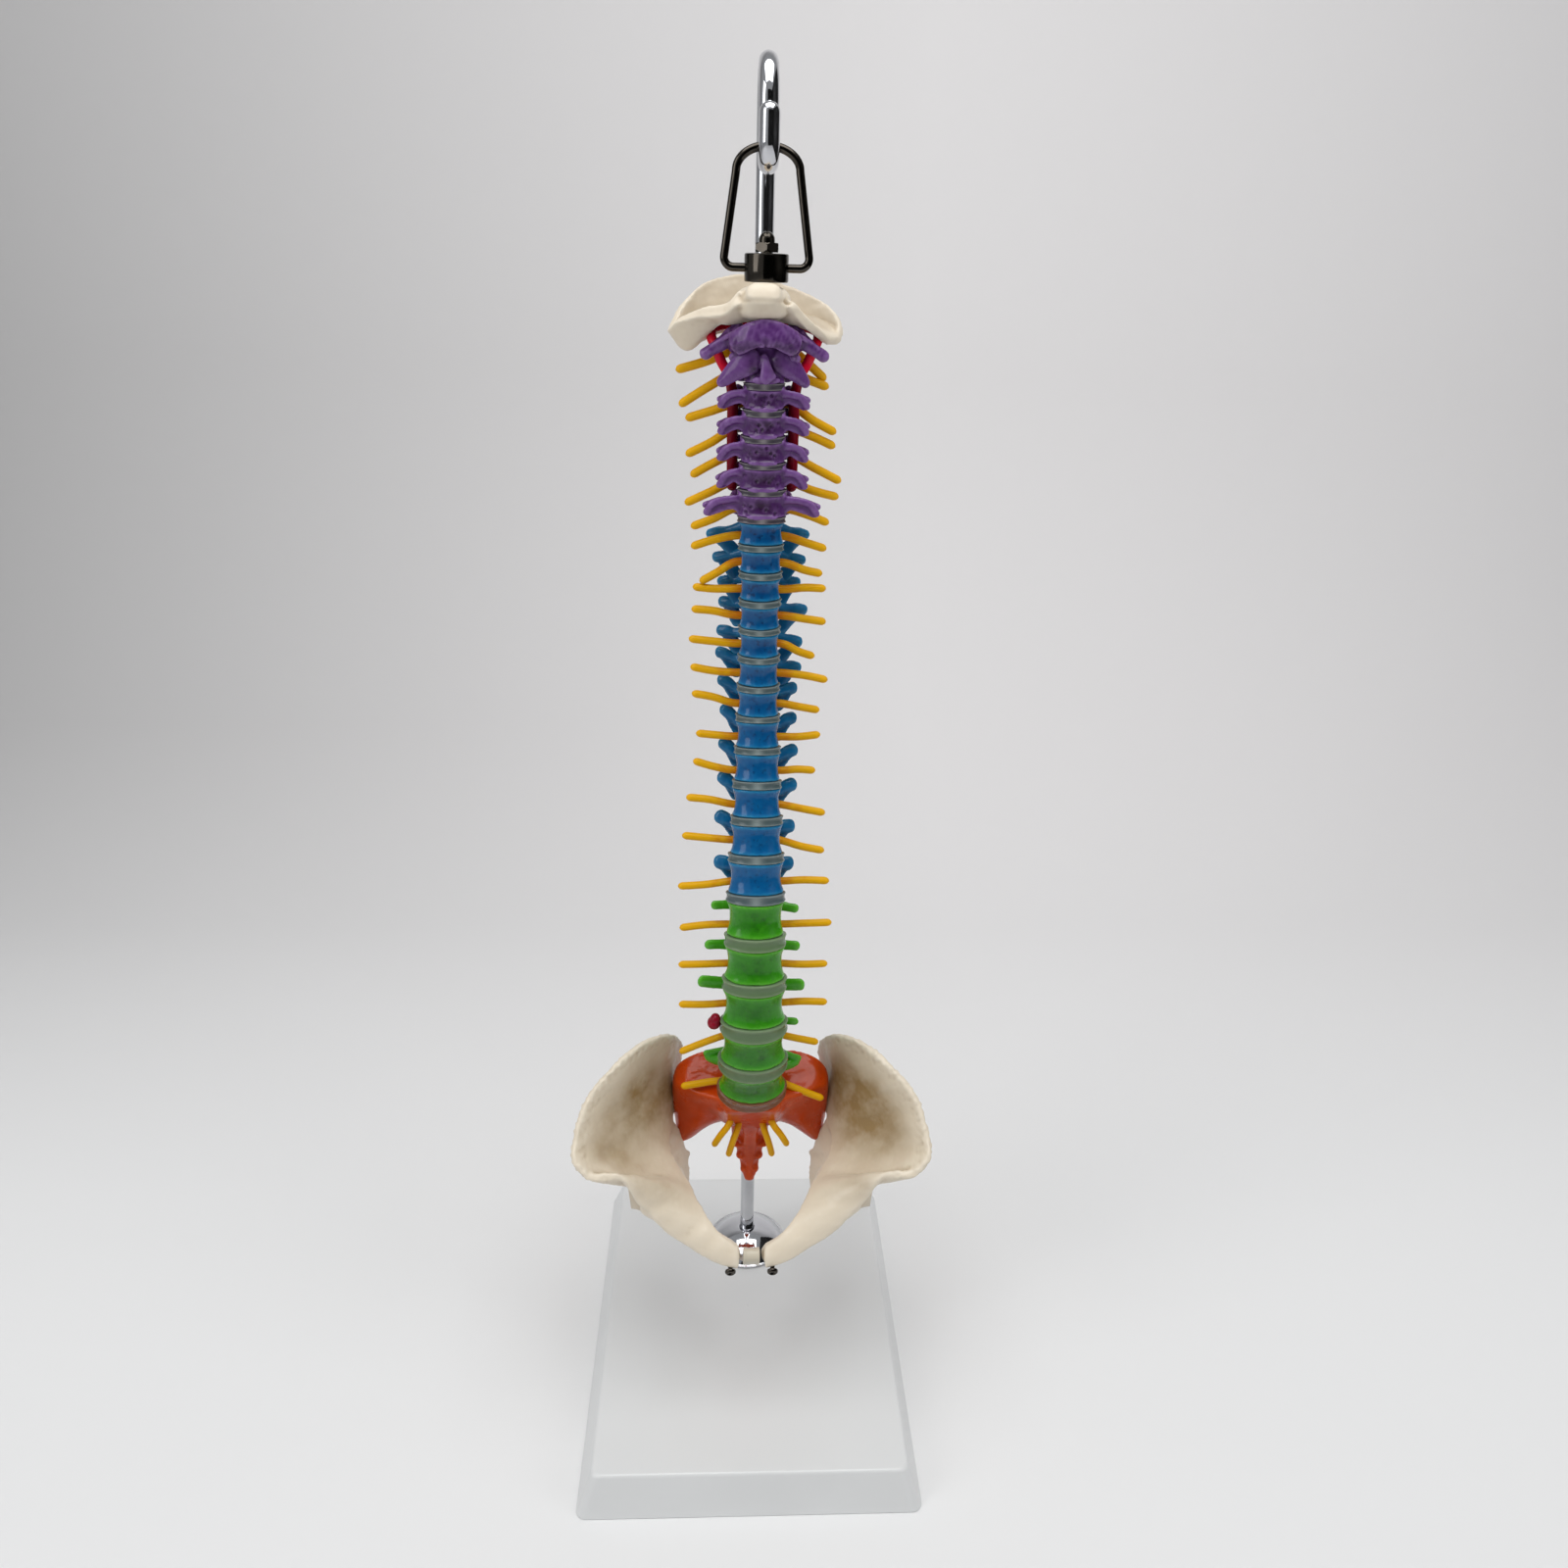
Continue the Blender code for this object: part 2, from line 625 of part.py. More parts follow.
def lumbar(level, share):
    """Vertebra of the loin, with flat straight side processes and a deep hatchet spine."""
    spine = {"root_up": -0.12, "tip_back": blend(LUMBAR_SPINES, share), "drop": 0.0016,
             "root": (0.0014, 0.0044), "tip": (0.0013, 0.0044), "knob": (0.0012, 0.0052)}
    wing = {"root_back": -0.0030, "root_up": 0.16 - 0.16 * share ** 3, "tip_back": 0.0005,
            "tip_up": 0.20 - 0.25 * share ** 3,
            "root": (0.0018, 0.0026), "tip": (0.0012, 0.0018), "knob": (0.0014, 0.0022)}
    return vertebra(level, LUMBAR_SPAN, spine, wing)


def axis(level):
    """Second neck vertebra: a body that carries the peg, low shoulders and a stout split spine."""
    half = level.height / 2
    w, d = level.width, level.depth
    body = loft([body_outline(w, d, -half), body_outline(w * 0.84, d * 0.86, -half * 0.2),
                 body_outline(w * 0.78, d * 0.80, half)])
    rise = ATLAS_HEIGHT * 0.98
    peg = plug([(DENS_RADIUS * 1.05, half - 0.001), (DENS_RADIUS, half + rise * 0.55),
                (DENS_RADIUS * 1.02, half + rise * 0.8), (DENS_RADIUS * 0.72, half + rise)], 10)
    shoulder = lobe((0.0032, 0.0012, 0.0012), (0.0098, 0.0022, -0.0004),
                    (0.0034, 0.0040), (0.0034, 0.0022), (0.0037, 0.0030))
    back = level.canal_back
    side = lobe((0.0050, 0.0012, -0.0012), (AXIS_HALF_SPAN, 0.0030, -0.0050), (0.0022, 0.0022),
                (0.0016, 0.0014), (0.0019, 0.0016))
    root = (0, back + level.canal + ARCH_WALL * 0.4, -0.0010)
    tail = lobe(root, (0, CERVICAL_SPINES[0] + 0.0025, -0.0026),
                (0.0015, 0.0028), (0.0024, 0.0018), (0.0020, 0.0022))
    shape = joined(body, peg, shoulder, mirrored(shoulder), arch_band(level, AXIS_STATIONS),
                   side, mirrored(side), tail)
    return cut(shape, bore(CORE_RADIUS + CLEARANCE, -2 * level.height, 3 * level.height))


def atlas(canal_back, canal):
    """First neck vertebra: a ring round the peg and the canal, with long drooping side processes."""
    front = DENS_RADIUS + 2 * CLEARANCE
    rings = [[(0, -front - 0.0026, -0.0006), (0, -front, -0.0006), (0, -front, 0.50 * ATLAS_HEIGHT),
              (0, -front - 0.0026, 0.50 * ATLAS_HEIGHT)]]
    ring_points = (
        ((0.0040, -front - 0.0018), (0.0034, -front + 0.0009), -0.12, 0.46),
        ((0.0088, -0.0042), (0.0044, -0.0006), -0.45, 0.42),
        ((0.0098, 0.0020), (0.0050, 0.0030), -0.50, 0.44),
        ((0.0088, 0.0070), (0.0052, 0.0062), -0.40, 0.30),
        ((0.0072, canal_back + canal * 0.75), (0.0048, canal_back + canal * 0.42), -0.28, 0.16),
        ((0.0034, canal_back + canal + 0.0026), (0.0026, canal_back + canal + 0.0004), -0.26, 0.16),
    )
    for outer, inner, low, high in ring_points:
        rings.append([(*outer, low * ATLAS_HEIGHT), (*inner, low * ATLAS_HEIGHT),
                      (*inner, high * ATLAS_HEIGHT), (*outer, high * ATLAS_HEIGHT)])
    rear = canal_back + canal
    rings.append([(0, rear + 0.0034, -0.0024), (0, rear + 0.0010, -0.0024),
                  (0, rear + 0.0010, 0.0014), (0, rear + 0.0034, 0.0014)])
    other = [[(-x, y, z) for x, y, z in ring] for ring in reversed(rings[1:-1])]
    hoop = loft(rings + other, closed=True)
    side = lobe((0.0075, 0.0018, -0.0006), (ATLAS_HALF_SPAN, 0.0032, 0.0022 - ATLAS_TIP_DROP),
                (0.0030, 0.0030), (0.0022, 0.0015), (0.0024, 0.0019))
    return joined(hoop, side, mirrored(side))


def skull_base(canal_back):
    """Bowl of the occipital bone: a thick centre with the bore, wings, a raised back rim and condyles."""
    bottom = -SKULL_THICKNESS
    count = 18
    lows, highs = [], []
    for share in (0.0, 0.36, 0.70, 1.0):
        low, high = [], []
        for i in range(count):
            a = 2 * math.pi * i / count
            c, s = math.cos(a), math.sin(a)
            reach = SKULL_BACK - canal_back if s > 0 else canal_back + SKULL_FRONT
            x = FORAMEN_RADIUS * c * (1 - share) + SKULL_HALF_WIDTH * c * share
            y = canal_back + (FORAMEN_RADIUS * (1 - share) + reach * share) * s
            drop = SKULL_WING_DROP * abs(c) ** 2 * (1 - 0.75 * max(0.0, s))
            z = bottom + 0.0014 + (SKULL_RIM_RISE * max(0.0, s) ** 1.5 - drop * 0.62) * share ** 1.5
            wall = SKULL_SHELL * (1.3 - 0.35 * share)
            low.append((x, y, z))
            high.append((x * (1 - 0.02 * share), y, z + wall))
        lows.append(low)
        highs.append(high)
    bowl = loft(lows + list(reversed(highs)), closed=True)
    front = -BASILAR_REACH
    shelf = -CLEARANCE

    def slab(y, half_low, half_high, low, high):
        return [(-half_low, y, low), (half_low, y, low), (half_high, y, high), (-half_high, y, high)]

    half = BASILAR_HALF
    basilar = loft([slab(front, half * 0.9, half, 0.10 * bottom, BASILAR_RISE),
                    slab(front * 0.72, half * 1.1, half * 1.15, 0.62 * bottom, BASILAR_RISE * 0.6),
                    slab(front * 0.66, half * 1.2, half * 1.2, 0.70 * bottom, shelf),
                    slab(-0.0020, 0.0085, 0.0072, bottom, shelf),
                    slab(canal_back - FORAMEN_RADIUS - 0.0004, 0.0085, 0.0060, bottom + 0.0006, -0.0026)])
    condyle = ball((0.0066, 0.0014, bottom - 0.0008 + CONDYLE_RADIUS * 0.7),
                   (CONDYLE_RADIUS, CONDYLE_RADIUS * 1.3, CONDYLE_RADIUS * 0.7), 4, 8)
    shape = joined(bowl, basilar, condyle, mirrored(condyle))
    return cut(shape, bore(CORE_RADIUS + CLEARANCE, bottom - 0.01, 0.01))


def base_plate():
    """Tray with leaning sides, ribs and bosses underneath, and the rod's hole."""
    def rounded(half_x, half_y, radius, z):
        ring = []
        for quarter in range(4):
            sx = 1 if quarter in (0, 3) else -1
            sy = 1 if quarter in (0, 1) else -1
            for k in range(4):
                a = math.pi / 2 * (quarter + k / 3)
                ring.append((sx * (half_x - radius) + radius * math.cos(a),
                             sy * (half_y - radius) + radius * math.sin(a), z))
        return ring

    half_x, half_y = BASE_WIDTH / 2, BASE_DEPTH / 2
    roof = BASE_HEIGHT - BASE_ROOF
    slope = BASE_DRAFT / BASE_HEIGHT
    top_x, top_y = half_x - BASE_DRAFT, half_y - BASE_DRAFT
    shoulder = BASE_HEIGHT - BASE_EDGE
    outer = [rounded(half_x, half_y, BASE_CORNER, 0),
             rounded(half_x - slope * shoulder, half_y - slope * shoulder, BASE_CORNER, shoulder),
             rounded(top_x - BASE_EDGE * 0.8, top_y - BASE_EDGE * 0.8, BASE_CORNER, BASE_HEIGHT)]
    inner_radius = BASE_CORNER - BASE_WALL / 2
    inset = slope * roof + BASE_WALL
    inner = [rounded(half_x - inset, half_y - inset, inner_radius, roof),
             rounded(half_x - BASE_WALL, half_y - BASE_WALL, inner_radius, 0)]
    bm = bmesh.new()
    rows = [[bm.verts.new(p) for p in ring] for ring in outer]
    pocket = [[bm.verts.new(p) for p in ring] for ring in inner]
    chains = list(zip(rows, rows[1:])) + [(pocket[0], pocket[1]), (pocket[1], rows[0])]
    for low, high in chains:
        for i in range(len(low)):
            j = (i + 1) % len(low)
            bm.faces.new((low[i], low[j], high[j], high[i]))
    bm.faces.new(rows[-1])
    bm.faces.new(pocket[0])
    tray = mesh_from(bm)

    rib_top = roof + BASE_ROOF / 2
    inside_x, inside_y = half_x - BASE_WALL / 2, half_y - BASE_WALL / 2
    lean_in = slope * rib_top

    def rectangle(half_wide, half_long, x, y, z):
        return [(x - half_wide, y - half_long, z), (x + half_wide, y - half_long, z),
                (x + half_wide, y + half_long, z), (x - half_wide, y + half_long, z)]

    ribs = []
    thin = RIB_THICKNESS / 2
    for i in range(RIBS_ALONG):
        x = BASE_WIDTH * ((i + 1) / (RIBS_ALONG + 1) - 0.5)
        ribs.append(loft([rectangle(thin, inside_y, x, 0, ROD_FOOT / 2),
                          rectangle(thin, inside_y - lean_in, x, 0, rib_top)]))
    for i in range(RIBS_ACROSS):
        y = BASE_DEPTH * ((i + 1) / (RIBS_ACROSS + 1) - 0.5)
        ribs.append(loft([rectangle(inside_x, thin, 0, y, ROD_FOOT / 2),
                          rectangle(inside_x - lean_in, thin, 0, y, rib_top)]))
    pad = plug([(PAD_RADIUS, 0), (PAD_RADIUS, rib_top)], 20)
    boss_radius = ROD_RADIUS + BOSS_WALL
    boss = plug([(boss_radius, BOSS_RELIEF), (boss_radius, rib_top)], 16)
    boss.transform(Matrix.Translation((0, ROD_SETBACK, 0)))
    loose = ROD_RADIUS + CLEARANCE
    hole = plug([(loose, -BASE_HEIGHT), (loose, 2 * BASE_HEIGHT)], ROD_SIDES)
    hole.transform(Matrix.Translation((0, ROD_SETBACK, 0)))
    spanner = NUT_ACROSS / math.sqrt(3) + SPANNER_ROOM
    room = plug([(spanner, -BASE_HEIGHT), (spanner, BOSS_RELIEF - CLEARANCE / 10)], 16)
    room.transform(Matrix.Translation((0, ROD_SETBACK, 0)))
    return cut(joined(tray, *ribs, pad, boss), hole, room)


def flange():
    """Domed cover over the rod's hole, hollow underneath."""
    sphere = (FLANGE_RADIUS ** 2 + FLANGE_HEIGHT ** 2) / (2 * FLANGE_HEIGHT)
    bore_radius = ROD_RADIUS + CLEARANCE
    foot = BASE_HEIGHT + CLEARANCE

    def height(r):
        return foot + FLANGE_RIM + math.sqrt(sphere ** 2 - r * r) - (sphere - (FLANGE_HEIGHT - FLANGE_RIM))

    steps = 4
    radii = [bore_radius + (FLANGE_RADIUS - 0.0006 - bore_radius) * i / steps for i in range(steps + 1)]
    top = [(r, min(height(r), foot + FLANGE_HEIGHT)) for r in radii]
    rim = [(FLANGE_RADIUS, foot + FLANGE_RIM * 0.8), (FLANGE_RADIUS, foot)]
    under = [(FLANGE_RADIUS - FLANGE_WALL * 1.5, foot), (bore_radius, top[0][1] - FLANGE_WALL * 2)]
    made = turned(top + rim + under, 24)
    made.transform(Matrix.Translation((0, ROD_SETBACK, 0)))
    return made


def drop_to_axis():
    """Height from the bail's pivot down to the top of the second neck vertebra's body."""
    to_skull = BLOCK_HEIGHT / 2 + CLEARANCE + SKULL_THICKNESS
    return to_skull + ATLAS_SEAT + ATLAS_HEIGHT - AXIS_SEAT


def arch_height():
    """Height of the hook's arch that leaves the hanging room under the pelvis."""
    column = -spine_levels((0, 0, 0))["S1"].centre.z
    pelvis = max(radius - up for _, _, up, radius in LOWER_RAMUS)
    pivot = BASE_HEIGHT + HANG_ROOM + pelvis + column + drop_to_axis()
    floor = pivot + BAIL_HEIGHT - WIRE_RADIUS - CLEARANCE
    return floor - ROD_RADIUS + CRADLE_RADIUS + CRADLE_DROP


def hook_route(arch_top):
    """Middle line of the rod: up from the base, over the arch and round the cradle to the tip."""
    down_leg = CRADLE_SETBACK + CRADLE_RADIUS
    arch = (ROD_SETBACK - down_leg) / 2
    middle = (ROD_SETBACK + down_leg) / 2
    low = arch_top - CRADLE_DROP
    route = [(0, ROD_SETBACK, ROD_FOOT), (0, ROD_SETBACK, arch_top * 0.5)]
    route += [(0, middle + arch * math.cos(a), arch_top + arch * math.sin(a))
              for a in (math.pi * i / 10 for i in range(11))]
    route += [(0, CRADLE_SETBACK + CRADLE_RADIUS * math.cos(a), low - CRADLE_RADIUS * math.sin(a))
              for a in (math.pi * i / 8 for i in range(9))]
    tip = CRADLE_SETBACK - CRADLE_RADIUS
    route += [(0, tip, low + TIP_RISE)]
    return route


def stand_rod(arch_top):
    """Bent rod with a rounded tip."""
    route = hook_route(arch_top)
    end = Vector(route[-1])
    route += [end + Vector((0, 0, ROD_RADIUS * 0.6)), end + Vector((0, 0, ROD_RADIUS * 0.95))]
    radii = [ROD_RADIUS] * (len(route) - 2) + [ROD_RADIUS * 0.78, ROD_RADIUS * 0.35]
    return tube(route, radii, ROD_SIDES)


def cradle_floor(arch_top):
    """Height of the hook's inner floor, where the bail sits."""
    return arch_top - CRADLE_DROP - CRADLE_RADIUS + ROD_RADIUS


def bail_route(pivot):
    """Middle line of the bail, from one turned-in end over the hook to the other."""
    grip = BLOCK_RADIUS - BAIL_GRIP
    top = pivot.z + BAIL_HEIGHT
    waist = top - BAIL_ARCH_RISE
    y, z = pivot.y, pivot.z
    half = [(grip, y, z), (BAIL_FOOT_HALF - BAIL_CORNER, y, z)]
    half += [(BAIL_FOOT_HALF - BAIL_CORNER * (1 - math.sin(a)), y, z + BAIL_CORNER * (1 - math.cos(a)))
             for a in (math.pi / 6 * k for k in (1, 2, 3))]
    half += [(BAIL_TOP_HALF * math.cos(a), y, waist + BAIL_ARCH_RISE * math.sin(a))
             for a in (math.pi / 12 * k for k in range(6))]
    return half + [(0, y, top)] + [(-x, y, z) for x, y, z in reversed(half)]


def swivel_block():
    """Turned block with the bail's two side holes and the core's bore."""
    half = BLOCK_HEIGHT / 2
    body = turned([(CORE_RADIUS + CLEARANCE, half), (BLOCK_RADIUS - BLOCK_CHAMFER, half),
                   (BLOCK_RADIUS, half - BLOCK_CHAMFER), (BLOCK_RADIUS, BLOCK_CHAMFER - half),
                   (BLOCK_RADIUS - BLOCK_CHAMFER, -half), (CORE_RADIUS + CLEARANCE, -half)], 24)
    hole = plug([(WIRE_RADIUS + CLEARANCE, BLOCK_RADIUS - BAIL_GRIP - CLEARANCE),
                 (WIRE_RADIUS + CLEARANCE, BLOCK_RADIUS + 0.002)], 10)
    hole.transform(Matrix.Rotation(math.pi / 2, 4, "Y"))
    return cut(body, hole, mirrored(hole))


def cap_nut():
    """Acorn nut: a hexagon with a dome, hollow for the end of the core."""
    across = CAP_ACROSS / math.sqrt(3)
    hexagon = plug([(across * 0.93, 0), (across, 0.0004), (across, CAP_HEX_HEIGHT - 0.0004),
                    (across * 0.93, CAP_HEX_HEIGHT)], 6)
    straight = CAP_HEIGHT - CAP_DOME_RADIUS
    dome = plug([(CAP_DOME_RADIUS, CAP_HEX_HEIGHT * 0.5), (CAP_DOME_RADIUS, straight)]
                + [(CAP_DOME_RADIUS * math.cos(a), straight + CAP_DOME_RADIUS * math.sin(a))
                   for a in (math.radians(d) for d in (30, 55, 78))], 12)
    return cut(joined(hexagon, dome), bore(CORE_RADIUS + CLEARANCE, -0.005, CAP_HEIGHT - CAP_CEILING))


def core_and_discs(pivot, levels, top):
    """Flexible core from the cap nut to the sacrum, with a soft disc between each pair of bodies."""
    names = list(levels)
    route = [Vector((0, pivot.y, top)), levels["C2"].point(0, 0, levels["C2"].height / 2)]
    for name in names[:-1]:
        level = levels[name]
        if name != "C2":
            route.append(level.point(0, 0, level.height / 2))
        route.append(level.point(0, 0, -level.height / 2))
    sacrum = levels["S1"]
    route += [sacrum.centre, sacrum.point(0, 0, -0.010)]
    core = tube([p - pivot for p in route], CORE_RADIUS, CORE_SIDES)
    discs = []
    for above, below in zip(names, names[1:]):
        upper, lower = levels[above], levels[below]
        width, depth = (upper.width + lower.width) / 2, (upper.depth + lower.depth) / 2
        rings = []
        for level, z in ((lower, lower.height / 2 + CLEARANCE), (upper, -upper.height / 2 - CLEARANCE)):
            outline = body_outline(width * DISC_FLARE, depth * DISC_FLARE, z)
            rings.append([level.point(*p) - pivot for p in outline])
        discs.append(loft(rings))
    return joined(core, gathered(discs))


def artery_route(levels, pivot, atlas_centre):
    """Middle line of one vertebral artery, from the sixth neck vertebra up and round behind the atlas."""
    x = ARTERY_HALF_GAP
    route = []
    for name in ("C7", "C6", "C5", "C4", "C3"):
        level = levels[name]
        back = level.canal_back - 0.0043
        if name == "C7":
            route.append(level.point(x, back, level.height / 2))
        else:
            route.append(level.point(x, back, 0))
    route.append(levels["C2"].point(x + 0.0014, 0.0029, -0.0036))
    for side, back, up in ARTERY_LOOP:
        route.append(atlas_centre + Vector((side, back, up)))
    return [p - pivot for p in route]


def nerve_exit(levels, name, drop, atlas_centre):
    """Place where a pair of roots leaves the canal, below the named vertebra's pedicles."""
    if name == "C1":
        c2 = levels["C2"]
        return atlas_centre + Vector((0, c2.canal_back, -ATLAS_HEIGHT * 0.62))
    level = levels[name]
    return level.point(0, level.canal_back - 0.0008, -drop * level.height - NERVE_RADIUS - 0.0011)


def cord_and_nerves(levels, pivot, atlas_centre, sacral):
    """Spinal cord through the canal with its nerve roots, one piece of soft plastic."""
    route = [atlas_centre + Vector((0, levels["C2"].canal_back, ATLAS_HEIGHT * 0.9))]
    for name, level in levels.items():
        if name != "S1":
            route.append(level.point(0, level.canal_back, 0))
    route += sacral["trunk"]
    radii = [CORD_RADIUS] * (len(route) - 2) + [CORD_RADIUS * 0.8, CORD_RADIUS * 0.55]
    cord = tube([p - pivot for p in route], radii, 6)
    roots = []
    part = part_length()
    for name, drop, left, left_rise, right, right_rise in NERVE_TIPS:
        out = nerve_exit(levels, name, drop, atlas_centre)
        neck = name[0] == "C" and name != "C7"
        bend = Vector((NERVE_KNEE, NERVE_TIP_BACK if neck else 0.0, -0.0002))
        back = NERVE_NECK_BACK if neck else NERVE_TIP_BACK
        tips = []
        for sign, reach, rise in ((-1, left, left_rise), (1, right, right_rise)):
            side = Vector((sign, 1, 1))
            tip = Vector((reach, back, rise * part))
            tips.append((out + bend * side, out + tip * side))
        route = [tips[0][1], tips[0][0], tips[1][0], tips[1][1]]
        roots.append(tube([p - pivot for p in route], NERVE_RADIUS, NERVE_SIDES))
    for branch in sacral["branches"]:
        roots.append(tube([p - pivot for p in branch], NERVE_RADIUS * 0.95, NERVE_SIDES))
    return joined(cord, *roots)


def sacrum_frames(level):
    """Frames along the sacrum and coccyx, from the upper face down to the tip."""
    frames = []
    at = level.centre.copy()
    last = 0.0
    for half_width, front, rear, length, lean in SACRUM_SECTIONS:
        a = math.radians(lean)
        down = Vector((0, math.sin(a), -math.cos(a)))
        at = at + down * (length - last)
        last = length
        frames.append((at.copy(), a, half_width, front, rear))
    return frames


def sacral_routes(level):
    """Trunk of the nerves inside the sacrum and the branches that leave through its front holes."""
    frames = sacrum_frames(level)

    def inside(k, x, back):
        at, a, _, _, _ = frames[k]
        return at + Vector((x, back * math.cos(a), back * math.sin(a)))

    trunk = [inside(1, 0, level.canal_back * 0.86), inside(2, 0, 0.0090)]
    trunk += [inside(4, 0, 0.0050), inside(5, 0, 0.0030)]
    branches = []
    for k, side, drop, spread in ((3, 0.0085, 0.0120, 0.0150), (4, 0.0052, 0.0150, 0.0090)):
        for sign in (-1, 1):
            start = inside(k, -sign * 0.0007, 0.0060 + sign * 0.0002)
            leave = inside(k, sign * side, -0.0085)
            branches.append([start, inside(k, sign * side * 0.7, 0.0), leave,
                             leave + Vector((sign * (spread - side) * 0.6, -0.0008, -drop * 0.5)),
                             leave + Vector((sign * (spread - side), 0.0006, -drop))])
    return {"trunk": trunk, "branches": branches}


def sacrum_block(level, pivot):
    """Outer shape of the sacrum and coccyx."""
    outline = ((0.0, -1.0), (0.30, -0.96), (0.46, -0.60), (0.74, -0.32), (1.0, 0.05), (0.97, 0.62),
               (0.62, 0.86), (0.28, 0.80), (0.0, 1.0))
    rings = []
    for k, (at, a, half_width, front, rear) in enumerate(sacrum_frames(level)):
        middle, half = (front + rear) / 2, (rear - front) / 2
        ring = []
        for u, v in outline + tuple((-u, v) for u, v in reversed(outline[1:-1])):
            y = middle + v * half
            z = -SACRUM_REAR_DROP * max(0.0, v) - SACRUM_WING_DROP * u * u if k == 0 else 0.0
            ring.append(at + Vector((u * half_width, y * math.cos(a) - z * math.sin(a),
                                     y * math.sin(a) + z * math.cos(a))))
        rings.append([p - pivot for p in ring])
    return loft(rings)


def sacrum(block, level, cord, pivot):
    """Sacrum and coccyx as one bone, with the canal and the front holes cut for the nerves."""
    shape = cut(block, swollen(cord, CLEARANCE))
    down = Matrix.Translation(level.centre - pivot) @ Matrix.Rotation(level.lean, 4, "X")
    socket = bore(CORE_RADIUS + CLEARANCE, -0.0105, 0.004)
    socket.transform(down)
    return cut(shape, socket)


def hip_bone(anchor, pivot, sacrum_room, screw_room):
    """Right hip bone: flared blade, socket, and the loop of the pubis and the sitting bone."""
    origin = anchor - pivot

    def plate(upper, lower, walls, dish):
        """Curved plate between two lines, dished outwards, each row with its half wall."""
        shares = np.linspace(0, 1, len(walls))[None, :, None]
        top = np.array([tuple(origin + Vector(p)) for p in upper])[:, None]
        foot = np.array([tuple(origin + Vector(p)) for p in lower])[:, None]
        grid = top + (foot - top) * shares
        normal = np.cross(np.gradient(grid, axis=0), np.gradient(grid, axis=1))
        normal /= np.linalg.norm(normal, axis=2, keepdims=True)
        normal *= np.where(normal[..., :1] > 0, 1.0, -1.0)
        bow = np.sin(np.pi * np.linspace(0, 1, len(upper)))[:, None, None]
        grid = grid + normal * dish * np.sin(np.pi * shares) * bow
        thick = np.array(walls)[None, :, None]
        faces = zip(grid + normal * thick, grid - normal * thick)
        return loft([[Vector(p) for p in (*outer, *inner[::-1])] for outer, inner in faces])

    thin, wall = BLADE_HALF_WALL, SIDE_HALF_WALL
    blade = plate(CREST, BRIM, (CREST_HALF_WALL, thin, thin * 1.3, BRIM_HALF_WALL), BLADE_DISH)
    side_wall = plate(WALL_TOP, WALL_FOOT, (wall * 1.2, wall, wall * 0.9), -SIDE_DISH)
    centre = origin + Vector(SOCKET_CENTRE)
    block = ball(centre, (SOCKET_OUTER,) * 3, 6, 12)
    ear = ball((0, 0, 0), EAR_RADII, 6, 10)
    ear_lean = Matrix.Rotation(math.radians(LEANS[-1][1]), 4, "X")
    ear.transform(Matrix.Translation(origin + Vector(EAR_CENTRE)) @ ear_lean)
    upper = tube([origin + Vector(p[:3]) for p in UPPER_RAMUS], [p[3] for p in UPPER_RAMUS], 8, 0.85)
    lower = tube([origin + Vector(p[:3]) for p in LOWER_RAMUS], [p[3] for p in LOWER_RAMUS], 8, 0.85)
    shape = joined(blade, side_wall, ear, block, upper, lower)
    cup = ball(centre + Vector(SOCKET_OFFSET), (SOCKET_BALL,) * 3, 6, 12)
    far = BASE_DEPTH
    half_gap = SYMPHYSIS_HALF_GAP + CLEARANCE
    face = loft([[(-far, -far, z), (half_gap, -far, z), (half_gap, far, z), (-far, far, z)]
                 for z in (-far, far)])
    face.transform(Matrix.Translation(origin))
    return cut(shape, cup, face, sacrum_room, screw_room)


def symphysis():
    """Soft block between the two pubic bones."""
    half = SYMPHYSIS_HEIGHT / 2
    deep = SYMPHYSIS_DEPTH / 2
    w = SYMPHYSIS_HALF_GAP
    rings = []
    for x, s in ((-w, 1.0), (-w * 0.4, 0.92), (w * 0.4, 0.92), (w, 1.0)):
        rings.append([(x, deep * s * math.cos(a), half * s * math.sin(a))
                      for a in (2 * math.pi * (k + 0.5) / 10 for k in range(10))])
    made = loft(rings)
    made.transform(Matrix.Rotation(math.radians(SYMPHYSIS_LEAN), 4, "X"))
    return made


def screw(lean):
    """Round-headed screw that points to the back, its head in front."""
    head, shank = SCREW_HEAD_RADIUS, SCREW_SHANK_RADIUS
    profile = [(head * 0.55, -SCREW_HEAD_HEIGHT), (head * 0.95, -SCREW_HEAD_HEIGHT * 0.5), (head, 0),
               (shank, 0), (shank, SCREW_LENGTH * 0.8), (shank * 0.6, SCREW_LENGTH)]
    made = plug(profile, 10)
    made.transform(Matrix.Rotation(lean - math.pi / 2, 4, "X"))
    return made


def prolapse():
    """Soft bead that bulges from the side of a disc."""
    return ball((0, 0, 0), (PROLAPSE_RADIUS * PROLAPSE_SQUASH, PROLAPSE_RADIUS, PROLAPSE_RADIUS), 6, 10)


